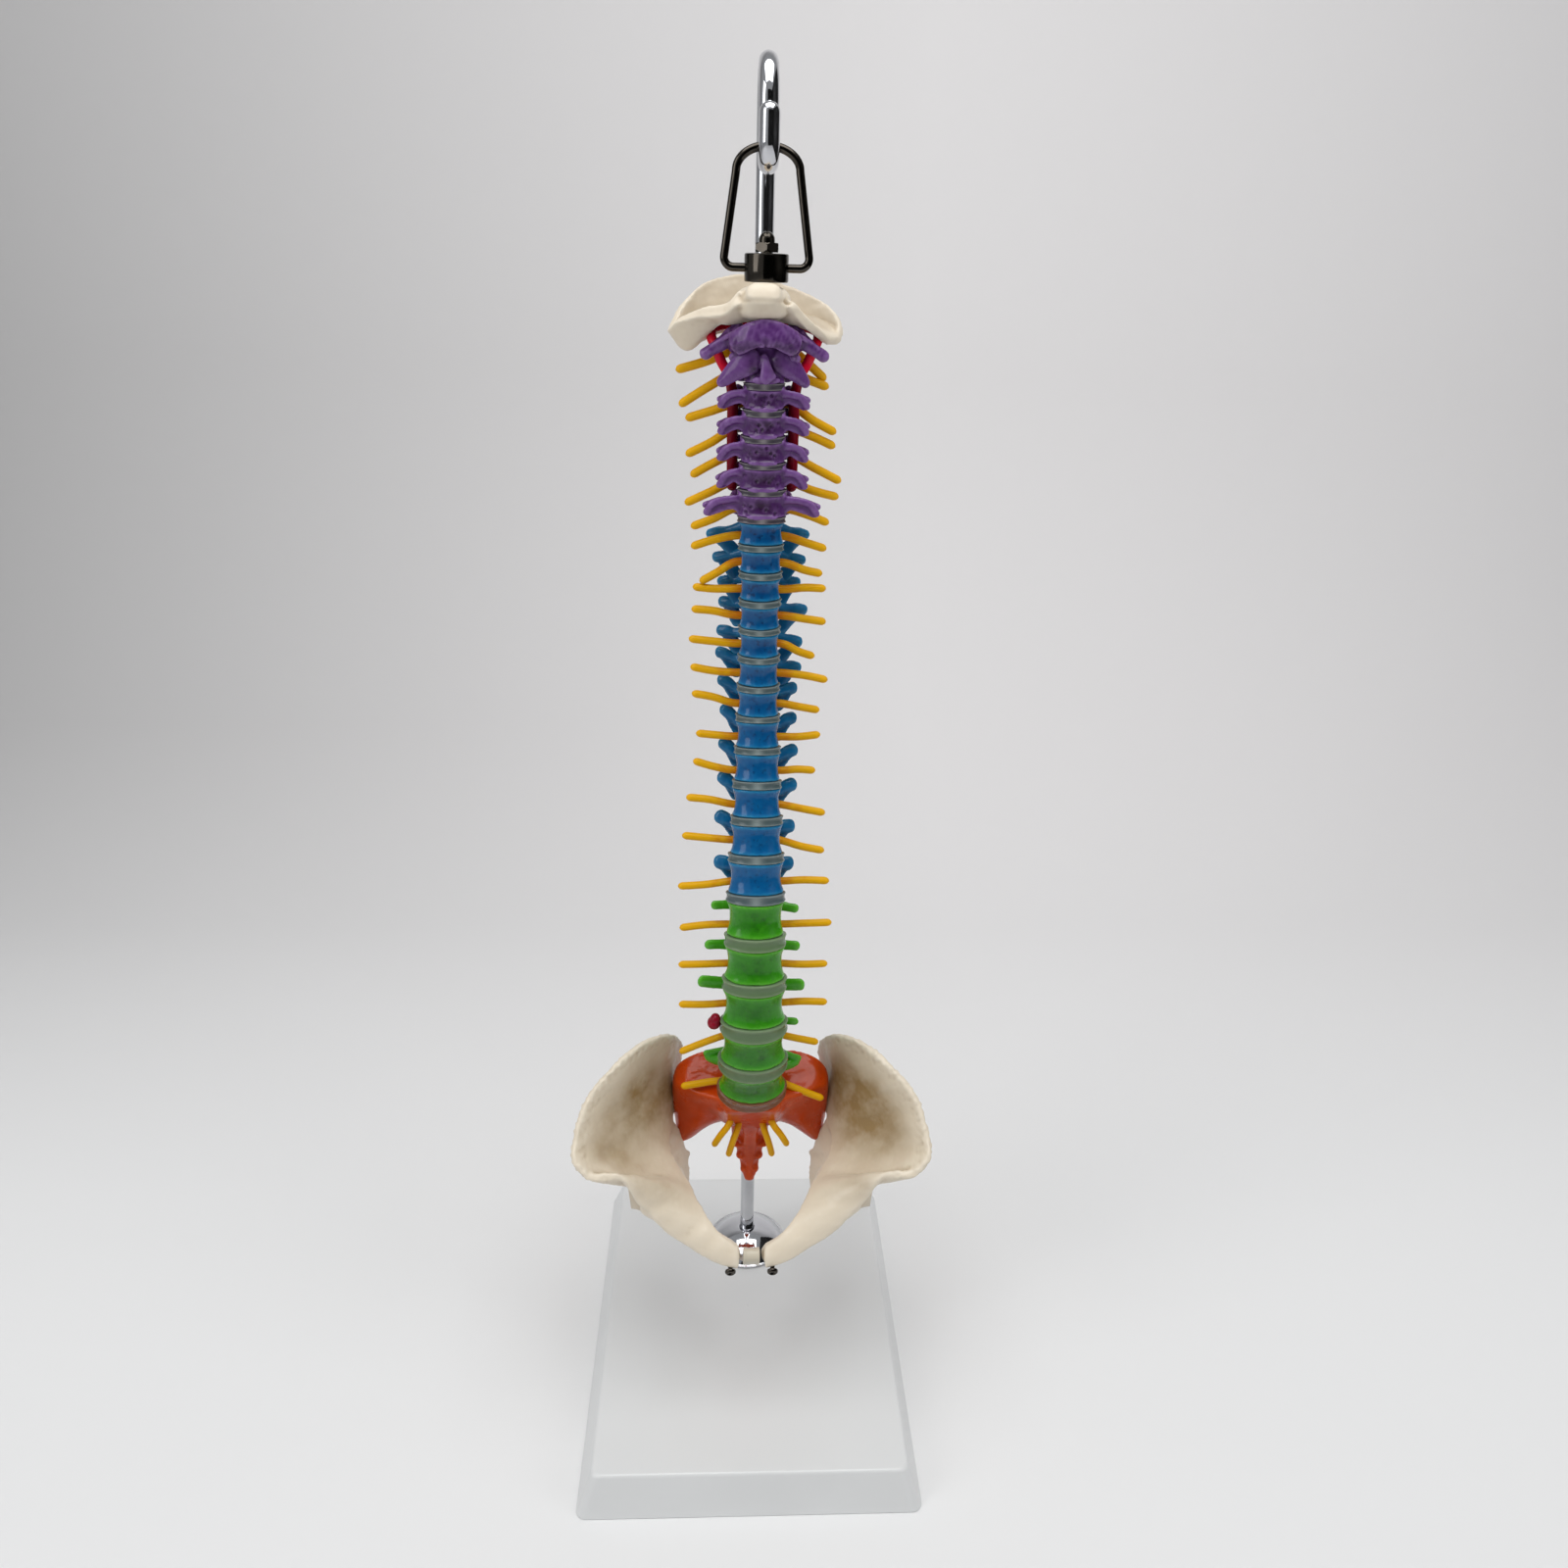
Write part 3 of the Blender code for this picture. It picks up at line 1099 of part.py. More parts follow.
def build():
    """Whole model, top down."""
    clear_scene()
    white = material("white_styrene", (0.78, 0.78, 0.77), 0.45)
    chrome = material("chrome_steel", (0.75, 0.75, 0.77), 0.12, 1.0)
    dark = material("black_nickel", (0.05, 0.045, 0.04), 0.25, 1.0)
    ivory = material("ivory_pvc", (0.80, 0.72, 0.60), 0.5)
    purple = material("purple_pvc", (0.16, 0.05, 0.26), 0.45)
    blue = material("blue_pvc", (0.01, 0.18, 0.46), 0.45)
    green = material("green_pvc", (0.06, 0.32, 0.02), 0.45)
    orange = material("orange_pvc", (0.56, 0.06, 0.01), 0.45)
    yellow = material("yellow_nerve_pvc", (0.85, 0.47, 0.02), 0.4)
    red = material("red_artery_pvc", (0.55, 0.01, 0.03), 0.3)
    wine = material("wine_disc_pvc", (0.27, 0.01, 0.02), 0.35)
    grey = material("grey_disc_silicone", (0.27, 0.28, 0.25), 0.35)
    clear = material("clear_disc_silicone", (0.70, 0.66, 0.58), 0.35)

    place("base_plate", base_plate(), white)
    place("rod_flange", flange(), chrome)
    arch_top = arch_height()
    place("stand_rod", stand_rod(arch_top), chrome)
    across = NUT_ACROSS / math.sqrt(3)
    loose = ROD_RADIUS + CLEARANCE
    hollow = plug([(loose, -NUT_HEIGHT), (loose, 2 * NUT_HEIGHT)], ROD_SIDES)
    solid = plug([(across, 0), (across, NUT_HEIGHT)], 6)
    place("rod_nut", cut(solid, hollow), chrome, None,
          (0, ROD_SETBACK, BOSS_RELIEF - CLEARANCE - NUT_HEIGHT))

    bail_top = cradle_floor(arch_top) + CLEARANCE + WIRE_RADIUS
    pivot = Vector((0, CRADLE_SETBACK, bail_top - BAIL_HEIGHT))
    place("bail", tube(bail_route(pivot), WIRE_RADIUS, 8), dark)

    hang = empty("bail_pivot", pivot)
    place("swivel_block", swivel_block(), dark, hang, pivot)
    place("cap_nut", cap_nut(), dark, hang, pivot + Vector((0, 0, BLOCK_HEIGHT / 2 + CLEARANCE)))

    skull_top = pivot + Vector((0, 0, -BLOCK_HEIGHT / 2 - CLEARANCE))
    atlas_centre = skull_top - Vector((0, 0, SKULL_THICKNESS + ATLAS_SEAT + ATLAS_HEIGHT / 2))
    levels = spine_levels(pivot - Vector((0, 0, drop_to_axis())))
    canal_back = levels["C2"].canal_back
    sacral = sacral_routes(levels["S1"])

    cord = cord_and_nerves(levels, pivot, atlas_centre, sacral)
    arteries = tube(artery_route(levels, pivot, atlas_centre), ARTERY_RADIUS, 6)
    room = swollen(gathered([arteries, mirrored(arteries)]), CLEARANCE)

    def fitted(mesh, level_matrix, *pieces):
        """Mesh of a vertebra with room made for pieces that are placed from the pivot."""
        to_local = level_matrix.inverted() @ Matrix.Translation(pivot)
        tools = []
        for piece in pieces:
            tool = piece.copy()
            tool.transform(to_local)
            tools.append(tool)
        return cut(mesh, *tools)

    place("occipital_bone", skull_base(canal_back), ivory, hang, skull_top)
    ring = fitted(atlas(canal_back, CERVICAL_CANAL), Matrix.Translation(atlas_centre), room)
    place("cervical_1_atlas", ring, purple, hang, atlas_centre)
    place("cervical_2_axis", fitted(axis(levels["C2"]), levels["C2"].matrix, room), purple, hang,
          levels["C2"].centre, levels["C2"].lean)
    for i in range(3, 8):
        level = levels["C%d" % i]
        share = (i - 3) / 4
        span = PROMINENT_SPAN if i == 7 else blend(CERVICAL_SPANS, share)
        mesh = cervical(level, share, span)
        mesh = fitted(mesh, level.matrix, room)
        place("cervical_%d" % i, mesh, purple, hang, level.centre, level.lean)
    for i in range(1, 13):
        level = levels["T%d" % i]
        place("thoracic_%d" % i, thoracic(level, (i - 1) / 11), blue, hang, level.centre, level.lean)
    for i in range(1, 6):
        level = levels["L%d" % i]
        place("lumbar_%d" % i, lumbar(level, (i - 1) / 4), green, hang, level.centre, level.lean)

    block = sacrum_block(levels["S1"], pivot)
    bone = sacrum(block.copy(), levels["S1"], cord, pivot)
    pin = screw(math.radians(SCREW_LEAN))
    screw_seat = levels["S1"].centre + Vector(SCREW_PLACE)
    hole = pin.copy()
    hole.transform(Matrix.Translation(screw_seat - pivot))
    hip = hip_bone(levels["S1"].centre, pivot, swollen(block, CLEARANCE), swollen(hole, CLEARANCE))
    place("hip_bone_right", hip, ivory, hang, pivot)
    place("hip_bone_left", mirrored(hip), ivory, hang, pivot)
    place("sacrum_coccyx", bone, orange, hang, pivot)
    place("spinal_cord_nerves", cord, yellow, hang, pivot)
    place("artery_right", arteries, red, hang, pivot)
    place("artery_left", mirrored(arteries), red, hang, pivot)
    core_top = pivot.z + BLOCK_HEIGHT / 2 + CAP_HEIGHT - CAP_CEILING - CLEARANCE
    place("column_core_discs", core_and_discs(pivot, levels, core_top), grey, hang, pivot)

    middle = levels["S1"].centre + Vector(SYMPHYSIS_CENTRE)
    place("symphysis_disc", symphysis(), clear, hang, middle)
    for side, sign in (("right", 1), ("left", -1)):
        head = screw_seat * Vector((sign, 1, 1))
        place("symphysis_screw_" + side, pin.copy(), dark, hang, head)
    l3, l4 = levels["L3"], levels["L4"]
    bead_x = -(l3.width + l4.width) / 4 * DISC_FLARE - PROLAPSE_RADIUS * PROLAPSE_SQUASH - CLEARANCE
    between = (l3.point(0, 0, -l3.height / 2) + l4.point(0, 0, l4.height / 2)) / 2
    place("disc_prolapse", prolapse(), wine, hang, between + Vector((bead_x, 0, 0)))


build()
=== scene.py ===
"""Looks of a half-size flexible spine model that hangs from a hooked rod on a moulded base.

Millimetres throughout, turned to metres once, when a mesh is made. X is to the side, Y to the back
and Z up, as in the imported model. Every bone is a group of closed surfaces worked out with numpy,
fused into one skin and finished with a shallow relief; metal, nerves and discs are swept or turned.
"""

from __future__ import annotations

import logging
import math
from dataclasses import dataclass, field
from enum import Enum

import bpy
import numpy as np
from bpy.types import ID, Material, Mesh, NodeSocket, Object
from mathutils import Matrix, Vector

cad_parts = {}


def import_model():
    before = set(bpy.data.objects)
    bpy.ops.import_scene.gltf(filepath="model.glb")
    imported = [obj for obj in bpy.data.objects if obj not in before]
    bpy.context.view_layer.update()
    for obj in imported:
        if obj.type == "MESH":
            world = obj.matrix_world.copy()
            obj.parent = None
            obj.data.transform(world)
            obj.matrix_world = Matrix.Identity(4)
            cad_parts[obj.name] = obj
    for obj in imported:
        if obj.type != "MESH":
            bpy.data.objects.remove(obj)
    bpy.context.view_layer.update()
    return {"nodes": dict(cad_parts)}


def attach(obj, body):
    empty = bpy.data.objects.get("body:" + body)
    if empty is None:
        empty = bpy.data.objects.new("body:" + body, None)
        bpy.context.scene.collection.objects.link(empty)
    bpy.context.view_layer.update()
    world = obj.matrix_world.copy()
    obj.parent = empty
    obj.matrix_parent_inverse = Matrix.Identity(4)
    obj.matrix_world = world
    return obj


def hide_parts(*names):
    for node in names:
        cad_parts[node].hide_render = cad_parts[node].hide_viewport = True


MM = 0.001
LOG = logging.getLogger("spine_model")
Array = np.ndarray


class Body(Enum):
    """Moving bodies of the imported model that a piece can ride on."""

    STAND = "stand"
    SWIVEL = "swivel"
    COLUMN = "column"


# ---- surfaces


@dataclass
class Surface:
    """Closed surface: points in millimetres, four-cornered faces and three-cornered faces."""

    points: Array
    quads: Array
    tris: Array

    def moved(self, shift: Array, matrix: Array | None = None) -> Surface:
        """Surface with each point turned by a 3 x 3 matrix, if one is given, and then shifted."""
        return Surface((self.points if matrix is None else self.points @ matrix.T) + shift, self.quads, self.tris)

    def mirrored(self) -> Surface:
        """Mirror image left to right, its faces turned round so that they still point out."""
        return Surface(self.points * (-1, 1, 1), self.quads[:, ::-1], self.tris[:, ::-1])


def gathered(surfaces: list[Surface]) -> Surface:
    """Put several closed surfaces into one, each keeping its own faces.

    Args:
        surfaces: the surfaces to gather.

    Returns:
        One surface whose face numbers are shifted past the points that come before them.
    """
    starts = np.cumsum([0] + [len(s.points) for s in surfaces[:-1]])
    return Surface(
        np.concatenate([s.points for s in surfaces]),
        np.concatenate([s.quads + k for s, k in zip(surfaces, starts)]),
        np.concatenate([s.tris + k for s, k in zip(surfaces, starts)]),
    )


def skinned(rings: Array, loop: bool = False) -> Surface:
    """Skin a grid of rings.

    Each ring runs once round; neighbouring rings are joined by four-cornered faces. The first and
    last ring are closed by a fan to their middle, unless the rings themselves run round in a loop.

    Args:
        rings: points of shape (rings, points round, 3).
        loop: whether the last ring joins the first.

    Returns:
        The closed surface, with its faces pointing out.
    """
    rows, count = rings.shape[:2]
    index = np.arange(rows * count).reshape(rows, count)
    low = index if loop else index[:-1]
    high = np.roll(index, -1, axis=0) if loop else index[1:]
    quads = np.stack([low, np.roll(low, -1, 1), np.roll(high, -1, 1), high], axis=-1).reshape(-1, 4)
    points = rings.reshape(-1, 3)
    tris = np.zeros((0, 3), int)
    if not loop:
        ends = rings[[0, -1]].mean(axis=1)
        points = np.concatenate([points, ends])
        first, last = index[0], index[-1]
        foot = np.full(count, rows * count)
        tris = np.concatenate([
            np.stack([foot, np.roll(first, -1), first], axis=-1),
            np.stack([foot + 1, last, np.roll(last, -1)], axis=-1),
        ])
    made = Surface(points, quads, tris)
    return made if volume(made) > 0 else Surface(points, quads[:, ::-1], tris[:, ::-1])


def volume(surface: Surface) -> float:
    """Signed volume: the sum over all triangles of the product of their corners, over six.

    Args:
        surface: the surface.

    Returns:
        Cubic millimetres.
    """
    q = surface.quads
    tris = np.concatenate([q[:, [0, 1, 2]], q[:, [0, 2, 3]], surface.tris])
    a, b, c = (surface.points[tris[:, k]] for k in range(3))
    return float((np.cross(a, b) * c).sum() / 6)


def eased(knots: Array, count: int, spread: float = 0.0) -> Array:
    """Smooth line through knots.

    Each stretch is a cubic whose slope at a knot is half the step between the knot's neighbours.

    Args:
        knots: values of shape (knots, n).
        count: how many values to return.
        spread: from 0, evenly spaced, to 1, crowded towards both ends as a cosine does.

    Returns:
        Values of shape (count, n).
    """
    knots = np.asarray(knots, float)
    s = np.linspace(0, 1, count)
    s = (1 - spread) * s + spread * (1 - np.cos(np.pi * s)) / 2
    at = s * (len(knots) - 1)
    k = np.minimum(at.astype(int), len(knots) - 2)
    t = (at - k)[:, None]
    padded = np.concatenate([2 * knots[:1] - knots[1:2], knots, 2 * knots[-1:] - knots[-2:-1]])
    a, b, c, d = (padded[k + i] for i in range(4))
    return b + 0.5 * t * (c - a + t * (2 * a - 5 * b + 4 * c - d + t * (3 * (b - c) + d - a)))


def angles(count: int) -> Array:
    """Angles evenly round a full turn, from 0."""
    return 2 * np.pi * np.arange(count) / count


def around(knots: Array, steps: int) -> Array:
    """Smooth closed line through knots, with the given number of points for each stretch.

    Args:
        knots: values of shape (knots, n).
        steps: points for each stretch.

    Returns:
        The line's values.
    """
    knots = np.asarray(knots, float)
    wrapped = np.concatenate([knots[-2:], knots, knots[:3]])
    line = eased(wrapped, (len(wrapped) - 1) * steps + 1)
    return line[2 * steps:(2 + len(knots)) * steps]


def unit(vectors: Array) -> Array:
    """Vectors scaled to length one."""
    return vectors / np.maximum(np.linalg.norm(vectors, axis=-1, keepdims=True), 1e-9)


def carried(path: list, radii: list, count: int = 20, sides: int = 20, upright: tuple = (0, 0, 1),
            power: float = 2.0, ends: float = 1.0, smooth: bool = True) -> Surface:
    """Carry an oval along a path, with rounded ends.

    The oval's first radius lies across the path and the upright direction, its second along the
    upright direction. Near each end both shrink as a circle does, over the length of the end radius.

    Args:
        path: the knots of the middle line.
        radii: a number, or a (first, second) pair for each knot.
        count: rings along the path.
        sides: points round the oval.
        upright: direction that the second radius stays close to.
        power: 2 for an oval, more for a squarer outline.
        ends: length of the rounded ends over the mean radius there.
        smooth: whether the path is eased between knots; otherwise it is straight between them.

    Returns:
        The closed surface.
    """
    knots = np.asarray(path, float)
    if np.ndim(radii) == 0:
        radii = [(radii, radii)] * len(knots)
    table = np.concatenate([knots, np.asarray(radii, float)], axis=1)
    if smooth:
        rows = eased(table, count, 0.75)
    else:
        s = np.linspace(0, 1, count)
        s = (0.25 * s + 0.75 * (1 - np.cos(np.pi * s)) / 2) * (len(knots) - 1)
        rows = np.stack([np.interp(s, np.arange(len(knots)), column) for column in table.T], axis=1)
    line, size = rows[:, :3], rows[:, 3:]
    length = np.concatenate([[0], np.cumsum(np.linalg.norm(np.diff(line, axis=0), axis=1))])
    from_end = np.minimum(length, length[-1] - length)
    reach = np.maximum(size.mean(axis=1) * ends, 1e-6)
    inside = np.clip(1 - from_end / reach, 0, 0.985)
    size = size * np.sqrt(1 - inside ** 2)[:, None]
    along = unit(np.gradient(line, axis=0))
    across = unit(np.cross(along, np.asarray(upright, float)))
    up = np.cross(across, along)
    a = angles(sides)
    c, s = np.cos(a), np.sin(a)
    c, s = np.sign(c) * np.abs(c) ** (2 / power), np.sign(s) * np.abs(s) ** (2 / power)
    rings = (line[:, None] + across[:, None] * (size[:, :1] * c)[..., None]
             + up[:, None] * (size[:, 1:] * s)[..., None])
    return skinned(rings)


def turned(profile: list, sides: int = 48, loop: bool = False, smooth: int = 0) -> Surface:
    """Turn a profile of (radius, height) points about the Z axis.

    Args:
        profile: the points, from one end to the other, or round in a loop.
        sides: points round the axis.
        loop: whether the profile closes on itself, as round a bore.
        smooth: points along the eased profile, or 0 to keep its corners.

    Returns:
        The closed surface.
    """
    line = eased(np.asarray(profile, float), smooth) if smooth else np.asarray(profile, float)
    a = angles(sides)
    rings = np.stack([line[:, :1] * np.cos(a), line[:, :1] * np.sin(a),
                      np.repeat(line[:, 1:], sides, axis=1)], axis=-1)
    return skinned(rings, loop)


def ellipsoid(centre: tuple, radii: tuple, lean: float = 0.0, roll: float = 0.0, sides: int = 24) -> Surface:
    """Ellipsoid: a half circle turned about Z, stretched by its radii, then leant and rolled.

    Args:
        centre: its middle.
        radii: along X, Y and Z before it is turned.
        lean: turn about X, in degrees.
        roll: turn about Y, in degrees.
        sides: points round it.

    Returns:
        The closed surface.
    """
    b = np.linspace(0.04, np.pi - 0.04, sides // 2)
    ball = turned(np.stack([np.sin(b), -np.cos(b)], axis=1), sides)
    ball.points = ball.points * np.asarray(radii, float)
    return ball.moved(np.asarray(centre, float), turn(1, roll) @ turn(0, lean))


def turn(axis: int, degrees: float) -> Array:
    """Matrix of a turn about an axis: 0 for X, 1 for Y and 2 for Z.

    Args:
        axis: the axis.
        degrees: the angle.

    Returns:
        The 3 x 3 matrix.
    """
    a, i, j = math.radians(degrees), (axis + 1) % 3, (axis + 2) % 3
    made = np.eye(3)
    made[[i, j], [i, j]] = math.cos(a)
    made[i, j], made[j, i] = -math.sin(a), math.sin(a)
    return made


def mix(ends: tuple, share: float) -> float:
    """Value at a share of the way between two ends."""
    return ends[0] + (ends[1] - ends[0]) * share


def both(surface: Surface) -> list[Surface]:
    """A surface and its mirror image."""
    return [surface, surface.mirrored()]


# ---- meshes


def mesh_of(name: str, surface: Surface, sharp: float = 0.0) -> Mesh:
    """Blender mesh of a surface, in metres and shaded smooth, but for edges sharper than an angle.

    Args:
        name: its name.
        surface: the surface.
        sharp: that angle in degrees, or 0.

    Returns:
        The mesh.
    """
    mesh = bpy.data.meshes.new(name)
    q, t = surface.quads, surface.tris
    mesh.vertices.add(len(surface.points))
    mesh.vertices.foreach_set("co", (surface.points * MM).astype(np.float32).ravel())
    mesh.loops.add(q.size + t.size)
    mesh.loops.foreach_set("vertex_index", np.concatenate([q.ravel(), t.ravel()]).astype(np.int32))
    mesh.polygons.add(len(q) + len(t))
    starts = np.concatenate([np.arange(len(q)) * 4, q.size + np.arange(len(t)) * 3])
    mesh.polygons.foreach_set("loop_start", starts.astype(np.int32))
    mesh.update(calc_edges=True)
    mesh.validate()
    mesh.shade_smooth()
    if sharp:
        mesh.set_sharp_from_angle(angle=math.radians(sharp))
    return mesh


def arrays_of(mesh: Mesh) -> tuple[Array, Array, Array]:
    """Points in millimetres, outward normals and edges of a mesh, as arrays.

    Args:
        mesh: the mesh.

    Returns:
        Points, normals and edges.
    """
    points = np.empty(len(mesh.vertices) * 3)
    mesh.vertices.foreach_get("co", points)
    normals = np.empty(len(mesh.vertices) * 3)
    mesh.vertex_normals.foreach_get("vector", normals)
    edges = np.empty(len(mesh.edges) * 2, np.int32)
    mesh.edges.foreach_get("vertices", edges)
    return points.reshape(-1, 3) / MM, normals.reshape(-1, 3), edges.reshape(-1, 2)


def averaged(values: Array, edges: Array, rounds: int) -> Array:
    """Each value replaced, round after round, by the mean of itself and its neighbours' mean.

    Args:
        values: a number or a row for each point.
        edges: pairs of neighbours.
        rounds: how often.

    Returns:
        The evened values.
    """
    count = np.bincount(edges.ravel(), minlength=len(values))[:, None]
    flat = values.reshape(len(values), -1).astype(float)
    for _ in range(rounds):
        total = np.stack([
            np.bincount(edges[:, 0], flat[edges[:, 1], k], len(flat))
            + np.bincount(edges[:, 1], flat[edges[:, 0], k], len(flat)) for k in range(flat.shape[1])
        ], axis=1)
        flat = 0.5 * flat + 0.5 * total / np.maximum(count, 1)
    return flat.reshape(values.shape)


def waves(points: Array, size: float, seed: int, terms: int = 14) -> Array:
    """Smooth unevenness from -1 to 1: a sum of sines of random direction, each about `size` long.

    Args:
        points: places in millimetres.
        size: length of a wave in millimetres.
        seed: seed of the draws.
        terms: how many sines.

    Returns:
        A number for each point.
    """
    rng = np.random.default_rng(seed)
    direction = unit(rng.normal(size=(terms, 3)))
    pitch = 2 * np.pi / (size * rng.uniform(0.7, 1.6, terms))
    phase = rng.uniform(0, 2 * np.pi, terms)
    return np.sin(points @ (direction * pitch[:, None]).T + phase).sum(axis=1) / math.sqrt(terms * 2)


def fused(name: str, surfaces: list[Surface], voxel: float, rounds: int) -> Mesh:
    """Fuse overlapping closed surfaces into one even skin and round its inner corners.

    The surfaces are turned into cells of the given size and skinned again; then each point moves
    half way to the mean of its neighbours, as often as asked.

    Args:
        name: name of the mesh.
        surfaces: the closed surfaces to fuse.
        voxel: size of a cell in millimetres.
        rounds: how often the skin is evened out.

    Returns:
        The fused mesh.
    """
    source = bpy.data.objects.new(name + "_source", mesh_of(name + "_source", gathered(surfaces)))
    bpy.context.scene.collection.objects.link(source)
    remesh = source.modifiers.new("skin", "REMESH")
    remesh.mode = "VOXEL"
    remesh.voxel_size = voxel * MM
    depsgraph = bpy.context.evaluated_depsgraph_get()
    made = bpy.data.meshes.new_from_object(source.evaluated_get(depsgraph))
    old = source.data
    bpy.data.objects.remove(source, do_unlink=True)
    bpy.data.meshes.remove(old)
    made.name = name
    points, _, edges = arrays_of(made)
    made.vertices.foreach_set("co", (averaged(points, edges, rounds) * MM).ravel())
    made.update()
    made.shade_smooth()
    return made


def pressed(points: Array, centre: Array, radius: float) -> tuple[Array, Array]:
    """Points with those inside a ball pushed out onto it, and which ones they are.

    Args:
        points: places in millimetres.
        centre: middle of the ball.
        radius: its radius.

    Returns:
        The points, and a mark for each that was moved.
    """
    away = points - centre
    gap = np.linalg.norm(away, axis=1, keepdims=True)
    return np.where(gap < radius, centre + away / np.maximum(gap, 1e-6) * radius, points), gap[:, 0] < radius


def set_value(mesh: Mesh, name: str, values: Array) -> None:
    """Store one number for each point of a mesh, for its material to read."""
    layer = mesh.attributes.new(name, "FLOAT", "POINT")
    layer.data.foreach_set("value", np.clip(values, 0, 1).astype(np.float32))


def mark_relief(mesh: Mesh) -> None:
    """Store how much each point stands out ("ridge"), for a painted highlight, and how much it lies in a crease, for
    painted shade.

    A point stands out when the mean of its neighbourhood lies under it, along its normal.

    Args:
        mesh: the mesh.
    """
    points, normals, edges = arrays_of(mesh)
    lift = ((points - averaged(points, edges, 5)) * normals).sum(axis=1)
    lift = averaged(lift, edges, 2)
    scale = np.percentile(np.abs(lift), 92) + 1e-6
    set_value(mesh, "ridge", lift / scale)
    set_value(mesh, "crease_shade", -lift / scale)


def settled(mesh: Mesh, points: Array, hollow: Array) -> Mesh:
    """Give a bone its last points, in millimetres, and store how much painted shade it gets (an uneven tone on the
    sacrum) and its relief.

    Args:
        mesh: the mesh.
        points: places in millimetres.
        hollow: the share of painted shade at each point; on the sacrum an uneven tone.

    Returns:
        The mesh.
    """
    mesh.vertices.foreach_set("co", (points * MM).ravel())
    mesh.update()
    set_value(mesh, "hollow", hollow)
    mark_relief(mesh)
    return mesh


def linked(name: str, data: ID) -> Object:
    """New object in the scene with the given mesh, lamp or camera.

    Args:
        name: its name.
        data: the mesh, lamp or camera.

    Returns:
        The object.
    """
    made = bpy.data.objects.new(name, data)
    bpy.context.scene.collection.objects.link(made)
    return made


def placed(mesh: Mesh, finish: Finish, stands_for: str, body: Body = Body.COLUMN) -> None:
    """Put a mesh that is already in place into the scene, as a piece of the same name.

    Args:
        mesh: the piece's mesh.
        finish: what it is made of; the finish also holds a slot name.
        stands_for: the node that it is shown for.
        body: the body that it rides on.
    """
    piece = linked(mesh.name, mesh)
    mesh.materials.append(bpy.data.materials.get(finish.name) or finish.material())
    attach(piece, body.value)
    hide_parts(stands_for)
    LOG.info("%s: %d faces on %s", mesh.name, len(mesh.polygons), body.value)


# ---- finishes


def linear(code: str) -> tuple[float, float, float, float]:
    """Linear colour of an sRGB hex code such as "1673b5"."""
    parts = [int(code[k:k + 2], 16) / 255 for k in (0, 2, 4)]
    return (*(p / 12.92 if p <= 0.04045 else ((p + 0.055) / 1.055) ** 2.4 for p in parts), 1.0)


TIMES = {"operation": "MULTIPLY", "use_clamp": True}
PLUS = {"operation": "ADD", "use_clamp": True}
LARGER = {"operation": "MAXIMUM", "use_clamp": True}
COLOUR = {"data_type": "RGBA"}


class Shading:
    """A material in the making: its node tree, and the coordinates of its piece."""

    def __init__(self, name: str) -> None:
        """Start a node material that reads the piece's own coordinates.

        Args:
            name: its name.
        """
        self.made = bpy.data.materials.new(name)
        self.made.use_nodes = True
        self.tree = self.made.node_tree
        self.place = self.add("TexCoord", {}, "Object")

    def feed(self, socket: NodeSocket, value: object) -> None:
        """Link another node's output to a socket, or set the socket's own value.

        Args:
            socket: the input.
            value: a value, or the output to link.
        """
        if isinstance(value, NodeSocket):
            self.tree.links.new(value, socket)
        else:
            socket.default_value = value

    def add(self, kind: str, inputs: dict, out: int | str = 0, **settings: object) -> NodeSocket:
        """Add a node with its settings and its inputs.

        Args:
            kind: the node's type, without the words that every shader node's type starts with.
            inputs: a number, a colour or a socket to link, by the input's name or place.
            out: name or place of the output that is wanted.
            **settings: properties of the node.

        Returns:
            That output.
        """
        node = self.tree.nodes.new("ShaderNode" + kind)
        for key, value in settings.items():
            setattr(node, key, value)
        for key, value in inputs.items():
            self.feed(node.inputs[key], value)
        return node.outputs[out]

    def done(self, **sockets: object) -> Material:
        """Feed the shader's own sockets and hand over the material.

        Args:
            **sockets: values or sockets to link, by the shader's names with _ for a space.

        Returns:
            The material.
        """
        shader = self.tree.nodes["Principled BSDF"]
        for key, value in sockets.items():
            self.feed(shader.inputs[key.replace("_", " ")], value)  # a constant is set on the socket itself
        return self.made


@dataclass(frozen=True)
class Finish:
    """What a piece is made of: the material's name and a slot name."""

    name: str
    slot: str

    def material(self) -> Material:
        """Make the material; each kind of finish gives its own."""
        raise NotImplementedError


